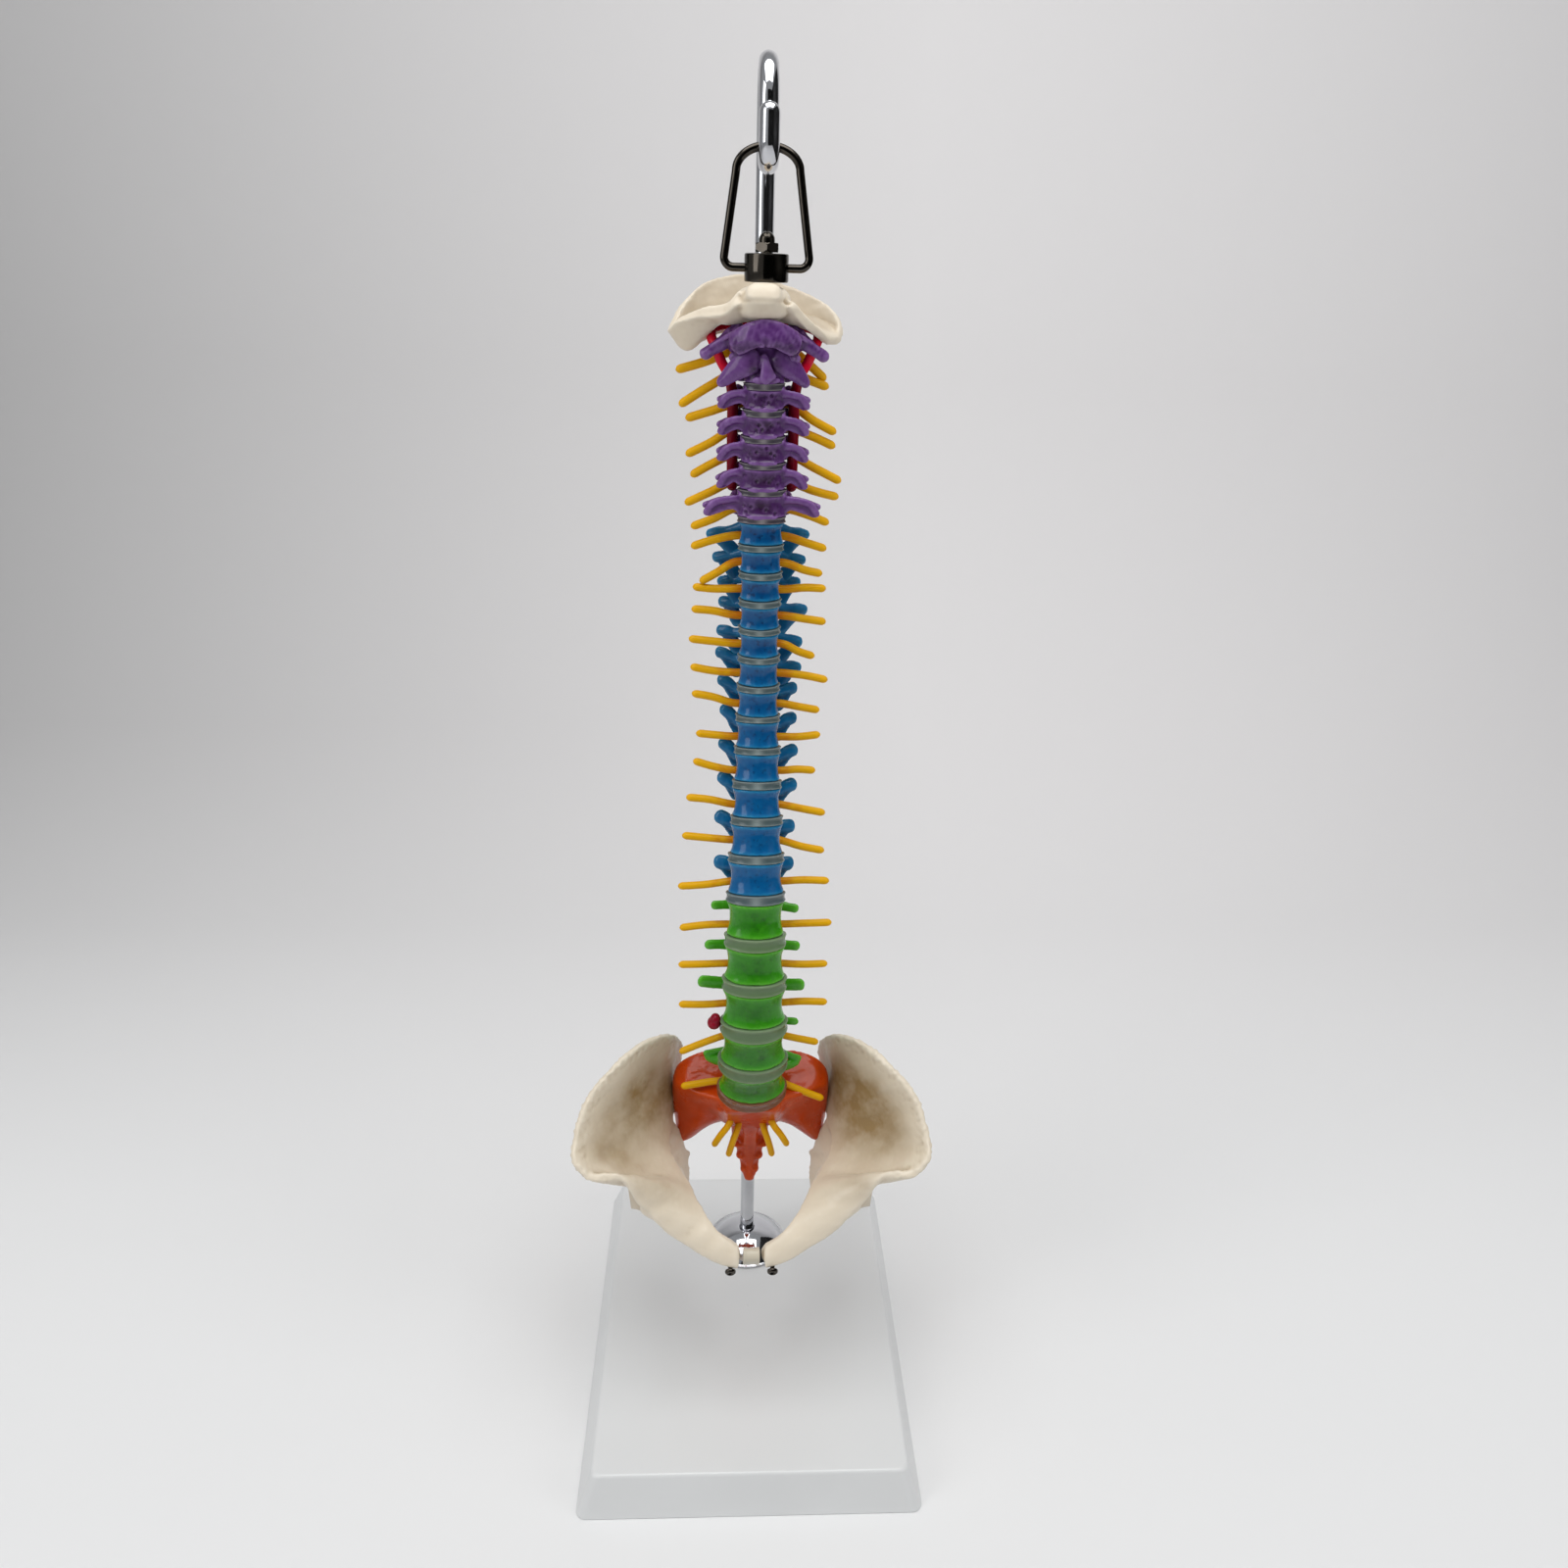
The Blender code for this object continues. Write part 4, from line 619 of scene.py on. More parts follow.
@dataclass(frozen=True)
class MouldedPvc(Finish):
    """Rubbery PVC bone, cast in a silicone mould and hand tinted.

    Painted shade makes the hollows and creases darker, and a painted highlight makes the ridges paler.
    The mould's own surface gives a fine orange-peel gloss, broken up as on the photo's bones.
    """

    colour: str
    # Colour of the painted shade in hollows and creases.
    hollow: str
    # Colour of the painted highlight on ridges.
    edge: str
    roughness: float = 0.30
    mottle_mm: float = 5.0
    peel_mm: float = 0.9
    crease_shade_share: float = 0.75
    ridge_highlight_share: float = 0.65
    peel: float = 0.10
    fleck: str = "101820"
    fleck_share: float = 0.0
    fleck_mm: float = 1.5

    def material(self) -> Material:
        """Make the material."""
        s = Shading(self.name)
        hollow, crease_shade, ridge = (s.add("Attribute", {}, "Fac", attribute_name=name)
                                 for name in ("hollow", "crease_shade", "ridge"))
        mottle = s.add("TexNoise", {"Vector": s.place, "Scale": 1 / (self.mottle_mm * MM), "Detail": 3.0,
                                    "Roughness": 0.55})
        uneven = s.add("MapRange", {0: mottle, 1: 0.35, 2: 0.65, 3: 0.75, 4: 1.15})
        # Painted shade: darker in creases and in the hollows that the mesh marks.
        deep = s.add("Math", {0: crease_shade, 1: self.crease_shade_share}, **TIMES)
        deep = s.add("Math", {0: deep, 1: hollow}, **LARGER)
        deep = s.add("Math", {0: deep, 1: uneven}, **TIMES)
        tint = s.add("Mix", {0: deep, 6: linear(self.colour), 7: linear(self.hollow)}, 2, **COLOUR)
        # Painted highlight: paler on ridges.
        ridge_highlight = s.add("Math", {0: ridge, 1: self.ridge_highlight_share}, **TIMES)
        ridge_highlight = s.add("Math", {0: ridge_highlight, 1: uneven}, **TIMES)
        tint = s.add("Mix", {0: ridge_highlight, 6: tint, 7: linear(self.edge)}, 2, **COLOUR)
        spots = s.add("TexNoise", {"Vector": s.place, "Scale": 1 / (self.fleck_mm * MM), "Detail": 1.0})
        spots = s.add("MapRange", {0: spots, 1: 0.60, 2: 0.68, 3: 0.0, 4: self.fleck_share})
        spots = s.add("Math", {0: spots, 1: hollow}, **TIMES)
        tint = s.add("Mix", {0: spots, 6: tint, 7: linear(self.fleck)}, 2, **COLOUR)
        peel = s.add("TexNoise", {"Vector": s.place, "Scale": 1 / (self.peel_mm * MM), "Detail": 2.0})
        peel = s.add("Bump", {"Strength": self.peel, "Distance": 0.15 * MM, "Height": peel})
        gloss = s.add("MapRange", {0: mottle, 1: 0.3, 2: 0.7, 3: self.roughness * 0.8, 4: self.roughness * 1.25})
        return s.done(Base_Color=tint, Roughness=gloss, Normal=peel, IOR=1.5, Specular_IOR_Level=0.2,
                      Coat_Weight=0.3, Coat_Roughness=0.05)


@dataclass(frozen=True)
class SoftPvc(Finish):
    """Soft dipped PVC cord: even colour that deepens towards one end, with a wet gloss."""

    root: str
    tip: str
    roughness: float = 0.28
    mottle_mm: float = 4.0

    def material(self) -> Material:
        """Make the material."""
        s = Shading(self.name)
        mottle = s.add("TexNoise", {"Vector": s.place, "Scale": 1 / (self.mottle_mm * MM), "Detail": 2.0})
        shift = s.add("MapRange", {0: mottle, 1: 0.3, 2: 0.7, 3: -0.12, 4: 0.12})
        share = s.add("Math", {0: s.add("Attribute", {}, "Fac", attribute_name="along"), 1: shift}, **PLUS)
        share = s.add("MapRange", {0: share, 1: 0.26, 2: 0.58})
        tint = s.add("Mix", {0: share, 6: linear(self.root), 7: linear(self.tip)}, 2, **COLOUR)
        bump = s.add("Bump", {"Strength": 0.12, "Distance": 0.2 * MM, "Height": mottle})
        return s.done(Base_Color=tint, Roughness=self.roughness, Normal=bump, IOR=1.52, Specular_IOR_Level=0.16)


@dataclass(frozen=True)
class CastSilicone(Finish):
    """Cast translucent silicone: smoky, with a soft gloss, and lighter where the mesh marks a painted highlight."""

    colour: str
    cloud: str
    clearness: float = 0.3
    roughness: float = 0.2
    cloud_mm: float = 5.0

    def material(self) -> Material:
        """Make the material."""
        s = Shading(self.name)
        cloud = s.add("TexNoise", {"Vector": s.place, "Scale": 1 / (self.cloud_mm * MM), "Detail": 2.0})
        share = s.add("Math", {0: cloud, 1: 0.16}, **TIMES)
        # Painted highlight: lighter where the disc's mesh marks its lips and front patch.
        share = s.add("Math", {0: share, 1: s.add("Attribute", {}, "Fac", attribute_name="ridge")}, **PLUS)
        tint = s.add("Mix", {0: share, 6: linear(self.colour), 7: linear(self.cloud)}, 2, **COLOUR)
        return s.done(Base_Color=tint, Transmission_Weight=self.clearness, Roughness=self.roughness, IOR=1.41)


@dataclass(frozen=True)
class PlatedSteel(Finish):
    """Polished and plated steel: a mirror with faint drawn lines and a few dull spots."""

    colour: str
    film: str
    roughness: float
    spot_mm: float = 6.0
    line_mm: float = 0.6

    def material(self) -> Material:
        """Make the material."""
        s = Shading(self.name)
        spots = s.add("TexNoise", {"Vector": s.place, "Scale": 1 / (self.spot_mm * MM), "Detail": 4.0})
        dull = s.add("MapRange", {0: spots, 1: 0.4, 2: 0.75, 3: self.roughness, 4: self.roughness * 2.2})
        lines = s.add("TexNoise", {"Vector": s.place, "Scale": 1 / (self.line_mm * MM), "Detail": 1.0})
        lines = s.add("Bump", {"Strength": 0.03, "Distance": 0.05 * MM, "Height": lines})
        tint = s.add("Mix", {0: spots, 6: linear(self.colour), 7: linear(self.film)}, 2, **COLOUR)
        return s.done(Base_Color=tint, Roughness=dull, Normal=lines, Metallic=1.0)


@dataclass(frozen=True)
class SatinStyrene(Finish):
    """High-impact polystyrene from a spark-eroded mould: white, satin, with a fine even grain."""

    colour: str
    shade: str
    flow_mm: float = 45.0
    grain_mm: float = 0.8

    def material(self) -> Material:
        """Make the material."""
        s = Shading(self.name)
        flow = s.add("TexNoise", {"Vector": s.place, "Scale": 1 / (self.flow_mm * MM), "Detail": 2.0})
        tint = s.add("Mix", {0: flow, 6: linear(self.colour), 7: linear(self.shade)}, 2, **COLOUR)
        gloss = s.add("MapRange", {0: flow, 1: 0.3, 2: 0.7, 3: 0.30, 4: 0.40})
        grain = s.add("TexNoise", {"Vector": s.place, "Scale": 1 / (self.grain_mm * MM), "Detail": 2.0})
        grain = s.add("Bump", {"Strength": 0.08, "Distance": 0.05 * MM, "Height": grain})
        return s.done(Base_Color=tint, Roughness=gloss, Normal=grain, IOR=1.59)


@dataclass(frozen=True)
class Palette:
    """Every finish of the model, made once and shared by the pieces."""

    # Flat, slightly satin white that shows only soft shading.
    white: Finish = SatinStyrene("white_styrene_moulded", "white_styrene", "d9dada", "d2d3d3")
    # Hard bright mirror for the rod, and the same mirror tinted dark for bail, block and screws.
    chrome: Finish = PlatedSteel("chrome_plated_steel", "chrome_steel", "dcdde0", "c2c3c8", 0.05)
    black: Finish = PlatedSteel("black_nickel_steel", "black_nickel", "544f49", "3c3833", 0.10)
    # Dull warm bone with brown painted shade in its hollows; the coloured bones are glossier and their painted shade is
    # darker. All get a paler painted highlight on their ridges.
    ivory: Finish = MouldedPvc("ivory_pvc_bone", "ivory_pvc", "dccfba", "927850", "ebe2d2", 0.42, 9.0, 1.1, 0.5,
                               0.3, 0.14)
    purple: Finish = MouldedPvc("purple_pvc_bone", "purple_pvc", "58306e", "2c1232", "9a72b2", 0.24, 4.0, 0.9,
                                0.6, 0.55, 0.06, "1c0a26", 0.6, 1.3)
    blue: Finish = MouldedPvc("blue_pvc_bone", "blue_pvc", "03588e", "023a6c", "2c92be", 0.22, 3.0, 0.9, 0.55,
                              0.6, 0.06, "06284e", 0.9)
    green: Finish = MouldedPvc("green_pvc_bone", "green_pvc", "369210", "1c620a", "66b836", 0.26, 5.0, 0.9, 0.6,
                               0.6, 0.06, "12400a", 0.4, 2.2)
    orange: Finish = MouldedPvc("orange_pvc_bone", "orange_pvc", "d24404", "a02e00", "dc5c0c", 0.3, 6.0, 0.9,
                                0.6, 0.3, 0.08)
    # Even bright cords, deeper in colour where they leave the canal; the arteries are darker low in the neck with
    # painted shade between its processes.
    nerve: Finish = SoftPvc("yellow_pvc_nerve", "yellow_nerve_pvc", "cc7200", "e0a600", 0.36)
    artery: Finish = SoftPvc("red_pvc_artery", "red_artery_pvc", "7c0a20", "cc0f30", 0.18)
    wine: Finish = SoftPvc("wine_pvc_prolapse", "wine_disc_pvc", "6e0a1e", "8c1228", 0.2)
    # Smoky rings whose colours carry a painted tint of the bones beside them, as if those bones showed through the
    # silicone.
    neck_disc: Finish = CastSilicone("dark_silicone_neck_disc", "grey_disc_silicone", "3b3542", "b0a9ac")
    chest_disc: Finish = CastSilicone("smoky_silicone_chest_disc", "grey_disc_silicone", "4c5f62", "a9b5b3")
    loin_disc: Finish = CastSilicone("green_grey_silicone_loin_disc", "grey_disc_silicone", "66835a", "a3b690")
    amber: Finish = CastSilicone("amber_silicone_disc", "grey_disc_silicone", "7d4a30", "b0805c")
    clear: Finish = CastSilicone("clear_silicone_symphysis", "clear_disc_silicone", "cdc4b0", "ddd5c4", 0.1)
    core: Finish = SoftPvc("pale_polyurethane_core", "grey_disc_silicone", "d8d2c0", "e2ddcc", 0.4)


# ---- column


@dataclass
class Level:
    """Place, lean and sizes of one vertebra."""

    centre: Array
    lean: float
    height: float
    width: float
    depth: float
    canal: float

    @property
    def turn(self) -> Array:
        """Matrix from the vertebra's own frame to the model's."""
        return turn(0, self.lean)

    @property
    def back(self) -> float:
        """From the middle of the body back to the middle of the canal."""
        return self.depth * 0.42 + self.canal

    @property
    def sizes(self) -> tuple[float, float, float]:
        """Height, place of the canal and canal radius."""
        return self.height, self.back, self.canal

    def at(self, x: float, y: float, z: float) -> Array:
        """Model place of a point of the vertebra."""
        return self.centre + self.turn @ np.array([x, y, z], float)

    def own(self, x: float, y: float, z: float) -> Array:
        """A step along the model's axes, in the vertebra's own frame."""
        return self.turn.T @ np.array([x, y, z], float)


@dataclass
class ColumnPlan:
    """Where every vertebra hangs: heights, discs and leans from the axis down to the sacrum."""

    pivot: Array = field(default_factory=lambda: np.array([0.0, 8.5, 427.694]))
    column_length: float = 280.0
    block_height: float = 8.0
    skull_thickness: float = 9.0
    clearance: float = 0.3
    atlas_seat: float = 0.6
    atlas_height: float = 8.6
    axis_seat: float = 0.2
    axis_height: float = 10.4
    neck_disc: float = 2.0
    neck_heights: tuple = (5.9, 6.9)
    neck_widths: tuple = (12.8, 16.0)
    neck_depths: tuple = (8.5, 9.5)
    neck_canal: float = 4.5
    chest_heights: tuple = (7.2, 11.4)
    chest_discs: tuple = (2.0, 3.2)
    chest_widths: tuple = (12.9, 20.3)
    chest_depths: tuple = (10.0, 15.5)
    chest_canal: float = 4.0
    loin_heights: tuple = (12.6, 14.4)
    loin_discs: tuple = (4.2, 5.0)
    loin_widths: tuple = (21.3, 26.5)
    loin_depths: tuple = (16.8, 18.5)
    loin_canal: float = 5.0
    leans: tuple = (
        ("C2", 0), ("C4", 7), ("T1", 1), ("T4", 3), ("T6", -2), ("T9", -14), ("T12", -14),
        ("L3", -3), ("L5", 20), ("S1", 32),
    )

    @property
    def skull_top(self) -> Array:
        """Middle of the skull base's upper face, under the block."""
        return self.pivot - (0, 0, self.block_height / 2 + self.clearance)

    @property
    def atlas_centre(self) -> Array:
        """Middle of the first neck vertebra."""
        return self.skull_top - (0, 0, self.skull_thickness + self.atlas_seat + self.atlas_height / 2)

    def names(self) -> list[str]:
        """Names of the levels, from the axis to the sacrum."""
        return ([f"C{i}" for i in range(2, 8)] + [f"T{i}" for i in range(1, 13)]
                + [f"L{i}" for i in range(1, 6)] + ["S1"])

    def lean(self, name: str) -> float:
        """Lean of a level, eased between the levels that state one.

        Args:
            name: its name.

        Returns:
            Degrees.
        """
        names = self.names()
        here = names.index(name)
        stated = [(names.index(n), value) for n, value in self.leans]
        for (low, a), (high, b) in zip(stated, stated[1:]):
            if low <= here <= high:
                share = (here - low) / (high - low)
                return a + (b - a) * (3 - 2 * share) * share * share
        return stated[0][1]

    def sizes(self, name: str) -> tuple[float, float, float, float, float]:
        """Height, width, depth, canal radius and the disc below, for one vertebra.

        Args:
            name: its name.

        Returns:
            The five sizes.
        """
        number = int(name[1:])
        if name == "C2":
            return self.axis_height, self.neck_widths[0], self.neck_depths[0], self.neck_canal, self.neck_disc
        if name[0] == "C":
            s = (number - 3) / 4
            return (mix(self.neck_heights, s), mix(self.neck_widths, s), mix(self.neck_depths, s),
                    self.neck_canal, self.neck_disc)
        if name[0] == "T":
            s = (number - 1) / 11
            spread = ((s - 0.35) / 0.65) ** 2
            wide = mix(self.chest_widths, spread) * (1.01 + 0.10 * math.sin(math.pi * s))
            return (mix(self.chest_heights, s * s), wide, mix(self.chest_depths, s),
                    self.chest_canal, mix(self.chest_discs, s))
        s = (number - 1) / 4
        return (mix(self.loin_heights, s), mix(self.loin_widths, s), mix(self.loin_depths, s),
                self.loin_canal, mix(self.loin_discs, s))

    def levels(self) -> dict[str, Level]:
        """Hang the levels one under the other; a disc lies along the mean lean of its neighbours."""
        def down(lean: float) -> Array:
            """Downward direction at a lean."""
            return turn(0, lean) @ np.array([0.0, 0.0, -1.0])

        seat = self.pivot - (0, 0, self.block_height / 2 + self.clearance + self.skull_thickness
                             + self.atlas_seat + self.atlas_height - self.axis_seat)
        made = {}
        disc, above = 0.0, self.leans[0][1]
        part = self.column_length / sum(self.sizes(name)[0] + self.sizes(name)[4] for name in self.names()[:-1])
        for name in self.names()[:-1]:
            height, width, depth, canal, below = self.sizes(name)
            height, below = height * part, below * part
            lean = self.lean(name)
            seat = seat + down((lean + above) / 2) * disc
            made[name] = Level(seat + down(lean) * height / 2, lean, height, width, depth, canal)
            seat = seat + down(lean) * height
            disc, above = below, lean
        lean = self.leans[-1][1]
        seat = seat + down((lean + above) / 2) * disc
        made["S1"] = Level(seat, lean, 0.0, self.loin_widths[1], self.loin_depths[1], self.loin_canal)
        return made


def body_ring(width: float, depth: float, sides: int = 56) -> Array:
    """Outline of a vertebral body: an oval whose rear half is flattened and a little hollow.

    Args:
        width: size from side to side.
        depth: size from front to back.
        sides: points round it.

    Returns:
        The ring, at height zero.
    """
    a = angles(sides)
    c, s = np.cos(a), np.sin(a)
    y = np.where(s > 0, s * (0.80 - 0.10 * s ** 4), s) * depth / 2
    return np.stack([c * width / 2, y, np.zeros(sides)], axis=1)


@dataclass
class Vertebra:
    """One vertebra below the axis, in a frame of its own: body, arch and processes."""

    level: Level
    wall: float = 2.1
    waist: float = 0.86
    voxel: float = 0.46
    rounds: int = 3

    def body(self) -> Surface:
        """Waisted spool with a flared lip at each end.

        The outline is scaled by the waist at mid height and by one at the rims, growing as the
        2.4th power of the height; the lip's last tenth turns in again.
        """
        t = np.linspace(-1, 1, 25)
        scale = self.waist + (1 - self.waist) * np.abs(t) ** 2.4
        scale = scale * (1 - 0.035 * np.clip((np.abs(t) - 0.9) / 0.1, 0, 1) ** 2) * 1.015
        ring = body_ring(self.level.width, self.level.depth)
        rings = ring[None] * scale[:, None, None]
        rings[..., 2] = (t * self.level.height / 2)[:, None]
        return skinned(rings)

    def arch(self) -> list[Surface]:
        """Neural arch: from the pedicle back round the canal to the root of the spine, both sides."""
        h, back, r = self.level.height, self.level.back, self.level.canal + self.wall / 2
        path = [(min(r * 0.86, self.level.width * 0.36), self.level.depth * 0.06, 0.22 * h),
                (r * 0.98, back - r * 0.30, 0.22 * h), (r * 0.92, back + r * 0.35, 0.10 * h),
                (r * 0.55, back + r * 0.85, -0.12 * h), (-0.3, back + r * 1.02, -0.16 * h)]
        size = [(1.3, 0.26 * h), (1.2, 0.25 * h), (1.15, 0.40 * h), (1.1, 0.42 * h), (1.2, 0.38 * h)]
        return both(carried(path, size, 22, 20))

    def facets(self) -> list[Surface]:
        """Joint processes: an upper pair in front of the lamina and a lower pair behind it."""
        h, back, r = self.level.sizes
        upper = ellipsoid((r + 1.0, back + 0.6, 0.52 * h), (1.9, 1.0, 0.22 * h + 0.8), -12)
        lower = ellipsoid((r + 0.5, back + 2.5, -0.50 * h), (1.8, 0.9, 0.24 * h + 0.6), -12)
        return both(upper) + both(lower)

    def sides(self) -> list[Surface]:
        """Side processes; each region gives its own."""
        return []

    def spine(self) -> list[Surface]:
        """Spinous process; each region gives its own."""
        return []

    def hollow(self, local: Array) -> Array:
        """Share of painted shade on the waist of the body: full at mid height in front, none at the rims.

        Args:
            local: points in the bone's own frame.

        Returns:
            A share from 0 to 1 for each point.
        """
        w, d, h = self.level.width, self.level.depth, self.level.height
        across = np.clip(1.25 - np.hypot(local[:, 0] / (w * 0.5), np.minimum(local[:, 1], 0) / (d * 1.4)), 0, 1)
        high = np.clip(1 - (np.abs(local[:, 2]) / (h * 0.44)) ** 2, 0, 1)
        front = np.clip(-local[:, 1] / (d * 0.25), 0, 1)
        return across * high ** 0.7 * front

    def relief(self, local: Array) -> Array:
        """Shallow hand-carved unevenness of the skin, in millimetres along the normal."""
        seed = int(abs(self.level.centre[2]) * 10)
        return 0.08 * waves(local, 5.0, seed) + 0.02 * waves(local, 1.8, seed + 1)

    def mesh(self, name: str) -> Mesh:
        """Fuse the vertebra, give it its relief and painted shade, and move it to its place.

        Args:
            name: its name.

        Returns:
            The mesh.
        """
        parts = [self.body()] + self.arch() + self.facets() + self.sides() + self.spine()
        made = fused(name, parts, self.voxel, self.rounds)
        local, normals, _ = arrays_of(made)
        carved = local + normals * self.relief(local)[:, None]
        return settled(made, carved @ self.level.turn.T + self.level.centre, self.hollow(local))


@dataclass
class NeckVertebra(Vertebra):
    """Third to seventh neck vertebra: a small body with raised side lips and forked side processes."""

    span: float = 15.0
    spine_reach: float = 18.0
    voxel: float = 0.38
    waist: float = 0.90
    pits: int = 5

    def sides(self) -> list[Surface]:
        """A front leaf with raised rims and a rear bar on each side, with a gap for the artery."""
        h, w, back = self.level.height, self.level.width, self.level.back
        s = self.span
        front = carried([(w * 0.36, -1.2, 0.26 * h), (w * 0.58, -2.0, 0.34 * h), (s * 0.80, -1.2, 0.10 * h),
                         (s - 0.7, 0.2, -0.52 * h)],
                        [(0.9, 1.7), (0.8, 1.2), (0.8, 1.2), (0.9, 1.2)], 24, 18)
        low = carried([(w * 0.42, -0.8, -0.30 * h), (w * 0.62, -0.8, -0.10 * h), (s - 1.4, 0.4, -0.50 * h)],
                      [(0.8, 1.0), (0.7, 0.8), (0.8, 0.9)], 20, 16)
        rear = carried([(self.level.canal + 0.6, back - 1.8, 0.12 * h), (s * 0.72, back - 3.2, 0.02 * h),
                        (s, 2.0, -0.16 * h)], [(1.2, 1.5), (0.9, 1.2), (1.0, 1.1)], 20, 16)
        floor = carried([(w * 0.40, -0.9, 0.04 * h), (w * 0.62, -1.0, 0.06 * h), (s * 0.80, -0.2, -0.18 * h),
                         (s - 1.2, 0.5, -0.46 * h)], [(0.8, 2.3), (0.6, 1.8), (0.6, 1.9), (0.7, 1.3)], 24, 20)
        lip = carried([(w * 0.42, -self.level.depth * 0.30, 0.46 * h), (w * 0.46, 0.2, 0.62 * h),
                       (w * 0.42, self.level.depth * 0.26, 0.56 * h)], [(0.8, 0.9), (0.8, 1.1), (0.8, 0.8)], 16, 14)
        pillar = ellipsoid((self.level.canal + 3.6, back - 0.6, -0.02 * h), (2.6, 2.5, 0.56 * h), -18)
        return both(front) + both(low) + both(rear) + both(floor) + both(lip) + both(pillar)

    def facets(self) -> list[Surface]:
        """Lower joint plates, which lie behind the next vertebra's pillars."""
        h, back, r = self.level.sizes
        return both(ellipsoid((r + 3.0, back + 2.7, -0.50 * h), (3.4, 0.9, 0.36 * h), -18))

    def spine(self) -> list[Surface]:
        """Short forked spine, drooping, with a knob at each tip, and the front edge's lower lip."""
        h, back, r = self.level.sizes
        root = (0, back + r + 0.6, -0.12 * h)
        tip = self.spine_reach
        stem = carried([root, (0, (root[1] + tip) / 2, -0.26 * h), (0, tip - 1.6, -0.42 * h)],
                       [(1.1, 2.0), (1.0, 1.5), (1.3, 1.3)], 16, 16)
        fork = carried([(0.2, tip - 2.4, -0.40 * h), (1.9, tip - 0.4, -0.56 * h)], [(0.8, 0.9), (0.8, 0.8)], 12, 14)
        lip = ellipsoid((0, -self.level.depth * 0.42, -0.46 * h), (self.level.width * 0.34, 1.3, 1.0))
        return [stem, lip] + both(fork)

    def relief(self, local: Array) -> Array:
        """Unevenness, plus small round pits in the front of the body.

        Args:
            local: points in the bone's own frame.

        Returns:
            Millimetres for each point.
        """
        seed = int(abs(self.level.centre[2]) * 10)
        rng = np.random.default_rng(seed + 5)
        w, h = self.level.width, self.level.height
        lift = 0.09 * waves(local, 3.4, seed) + 0.02 * waves(local, 1.3, seed + 1)
        spots = np.stack([rng.uniform(-0.42, 0.42, self.pits) * w, rng.uniform(-0.36, 0.36, self.pits) * h], axis=1)
        gap = np.hypot(local[:, :1] - spots[:, 0], local[:, 2:] - spots[:, 1])
        pit = (np.exp(-(gap / 0.42) ** 2)).max(axis=1) * np.clip(-local[:, 1] / 2 - 0.6, 0, 1)
        return lift - 0.75 * pit


@dataclass
class ChestVertebra(Vertebra):
    """Chest vertebra: a tall waisted body, backswept side paddles and a long sloping spine."""

    clubs: tuple = (12.0, 0.0, 12.0, 0.0)
    club_back: float = 13.0
    club_half: float = 2.0
    # Scales the painted waist shade, and with it the dark specks.
    speckle_and_shade: float = 1.0
    spine_reach: float = 22.0
    spine_drop: float = 6.0

    def sides(self) -> list[Surface]:
        """Backswept paddle with a club end, and a thin web from it down and in to the lamina.

        The clubs' places, left and right, are steps along the model's axes from the body's middle.
        """
        h, back, r, k = self.level.height, self.level.back, self.level.canal, self.club_half
        made = []
        for sign, x, z in ((-1, *self.clubs[:2]), (1, *self.clubs[2:])):
            club = self.level.own(sign * x, self.club_back, z)
            root = np.array([sign * (r + 0.6), back + 0.6, 0.10 * h])
            out = unit(club - root)
            made.append(carried([root, root * 0.5 + club * 0.5 + (0, 0, -0.3), club - out * 1.4, club + out * 2.8],
                                [(1.5, 2.2), (1.1, 0.8 * k), (1.5, k), (1.3, k * 0.95)], 30, 20))
            low = self.level.own(sign * (r + 2.4), back + 2.4, z - 8.4)
            made.append(carried([club + (-sign * 0.4, -0.4, -0.8), (club + low) / 2 + (-sign * 0.6, -0.2, 0.2), low],
                                [(1.7, 0.8), (2.6, 0.8), (2.3, 1.0)], 20, 20, upright=(0, 1, 0)))
        return made

    def hollow(self, local: Array) -> Array:
        """Painted waist shade, weaker where the body has few dark specks."""
        return super().hollow(local) * self.speckle_and_shade

    def spine(self) -> list[Surface]:
        """Long spine that slopes down over the next vertebra, thin in the middle, with a blunt tip."""
        h, back, r = self.level.sizes
        root = (0, back + r + 0.4, -0.10 * h)
        tip = (0, self.spine_reach, -0.10 * h - self.spine_drop)
        mid = (0, root[1] * 0.45 + tip[1] * 0.55, root[2] * 0.52 + tip[2] * 0.48)
        return [carried([root, mid, tip], [(1.2, 2.9), (0.95, 1.9), (1.1, 1.5)], 26, 18)]


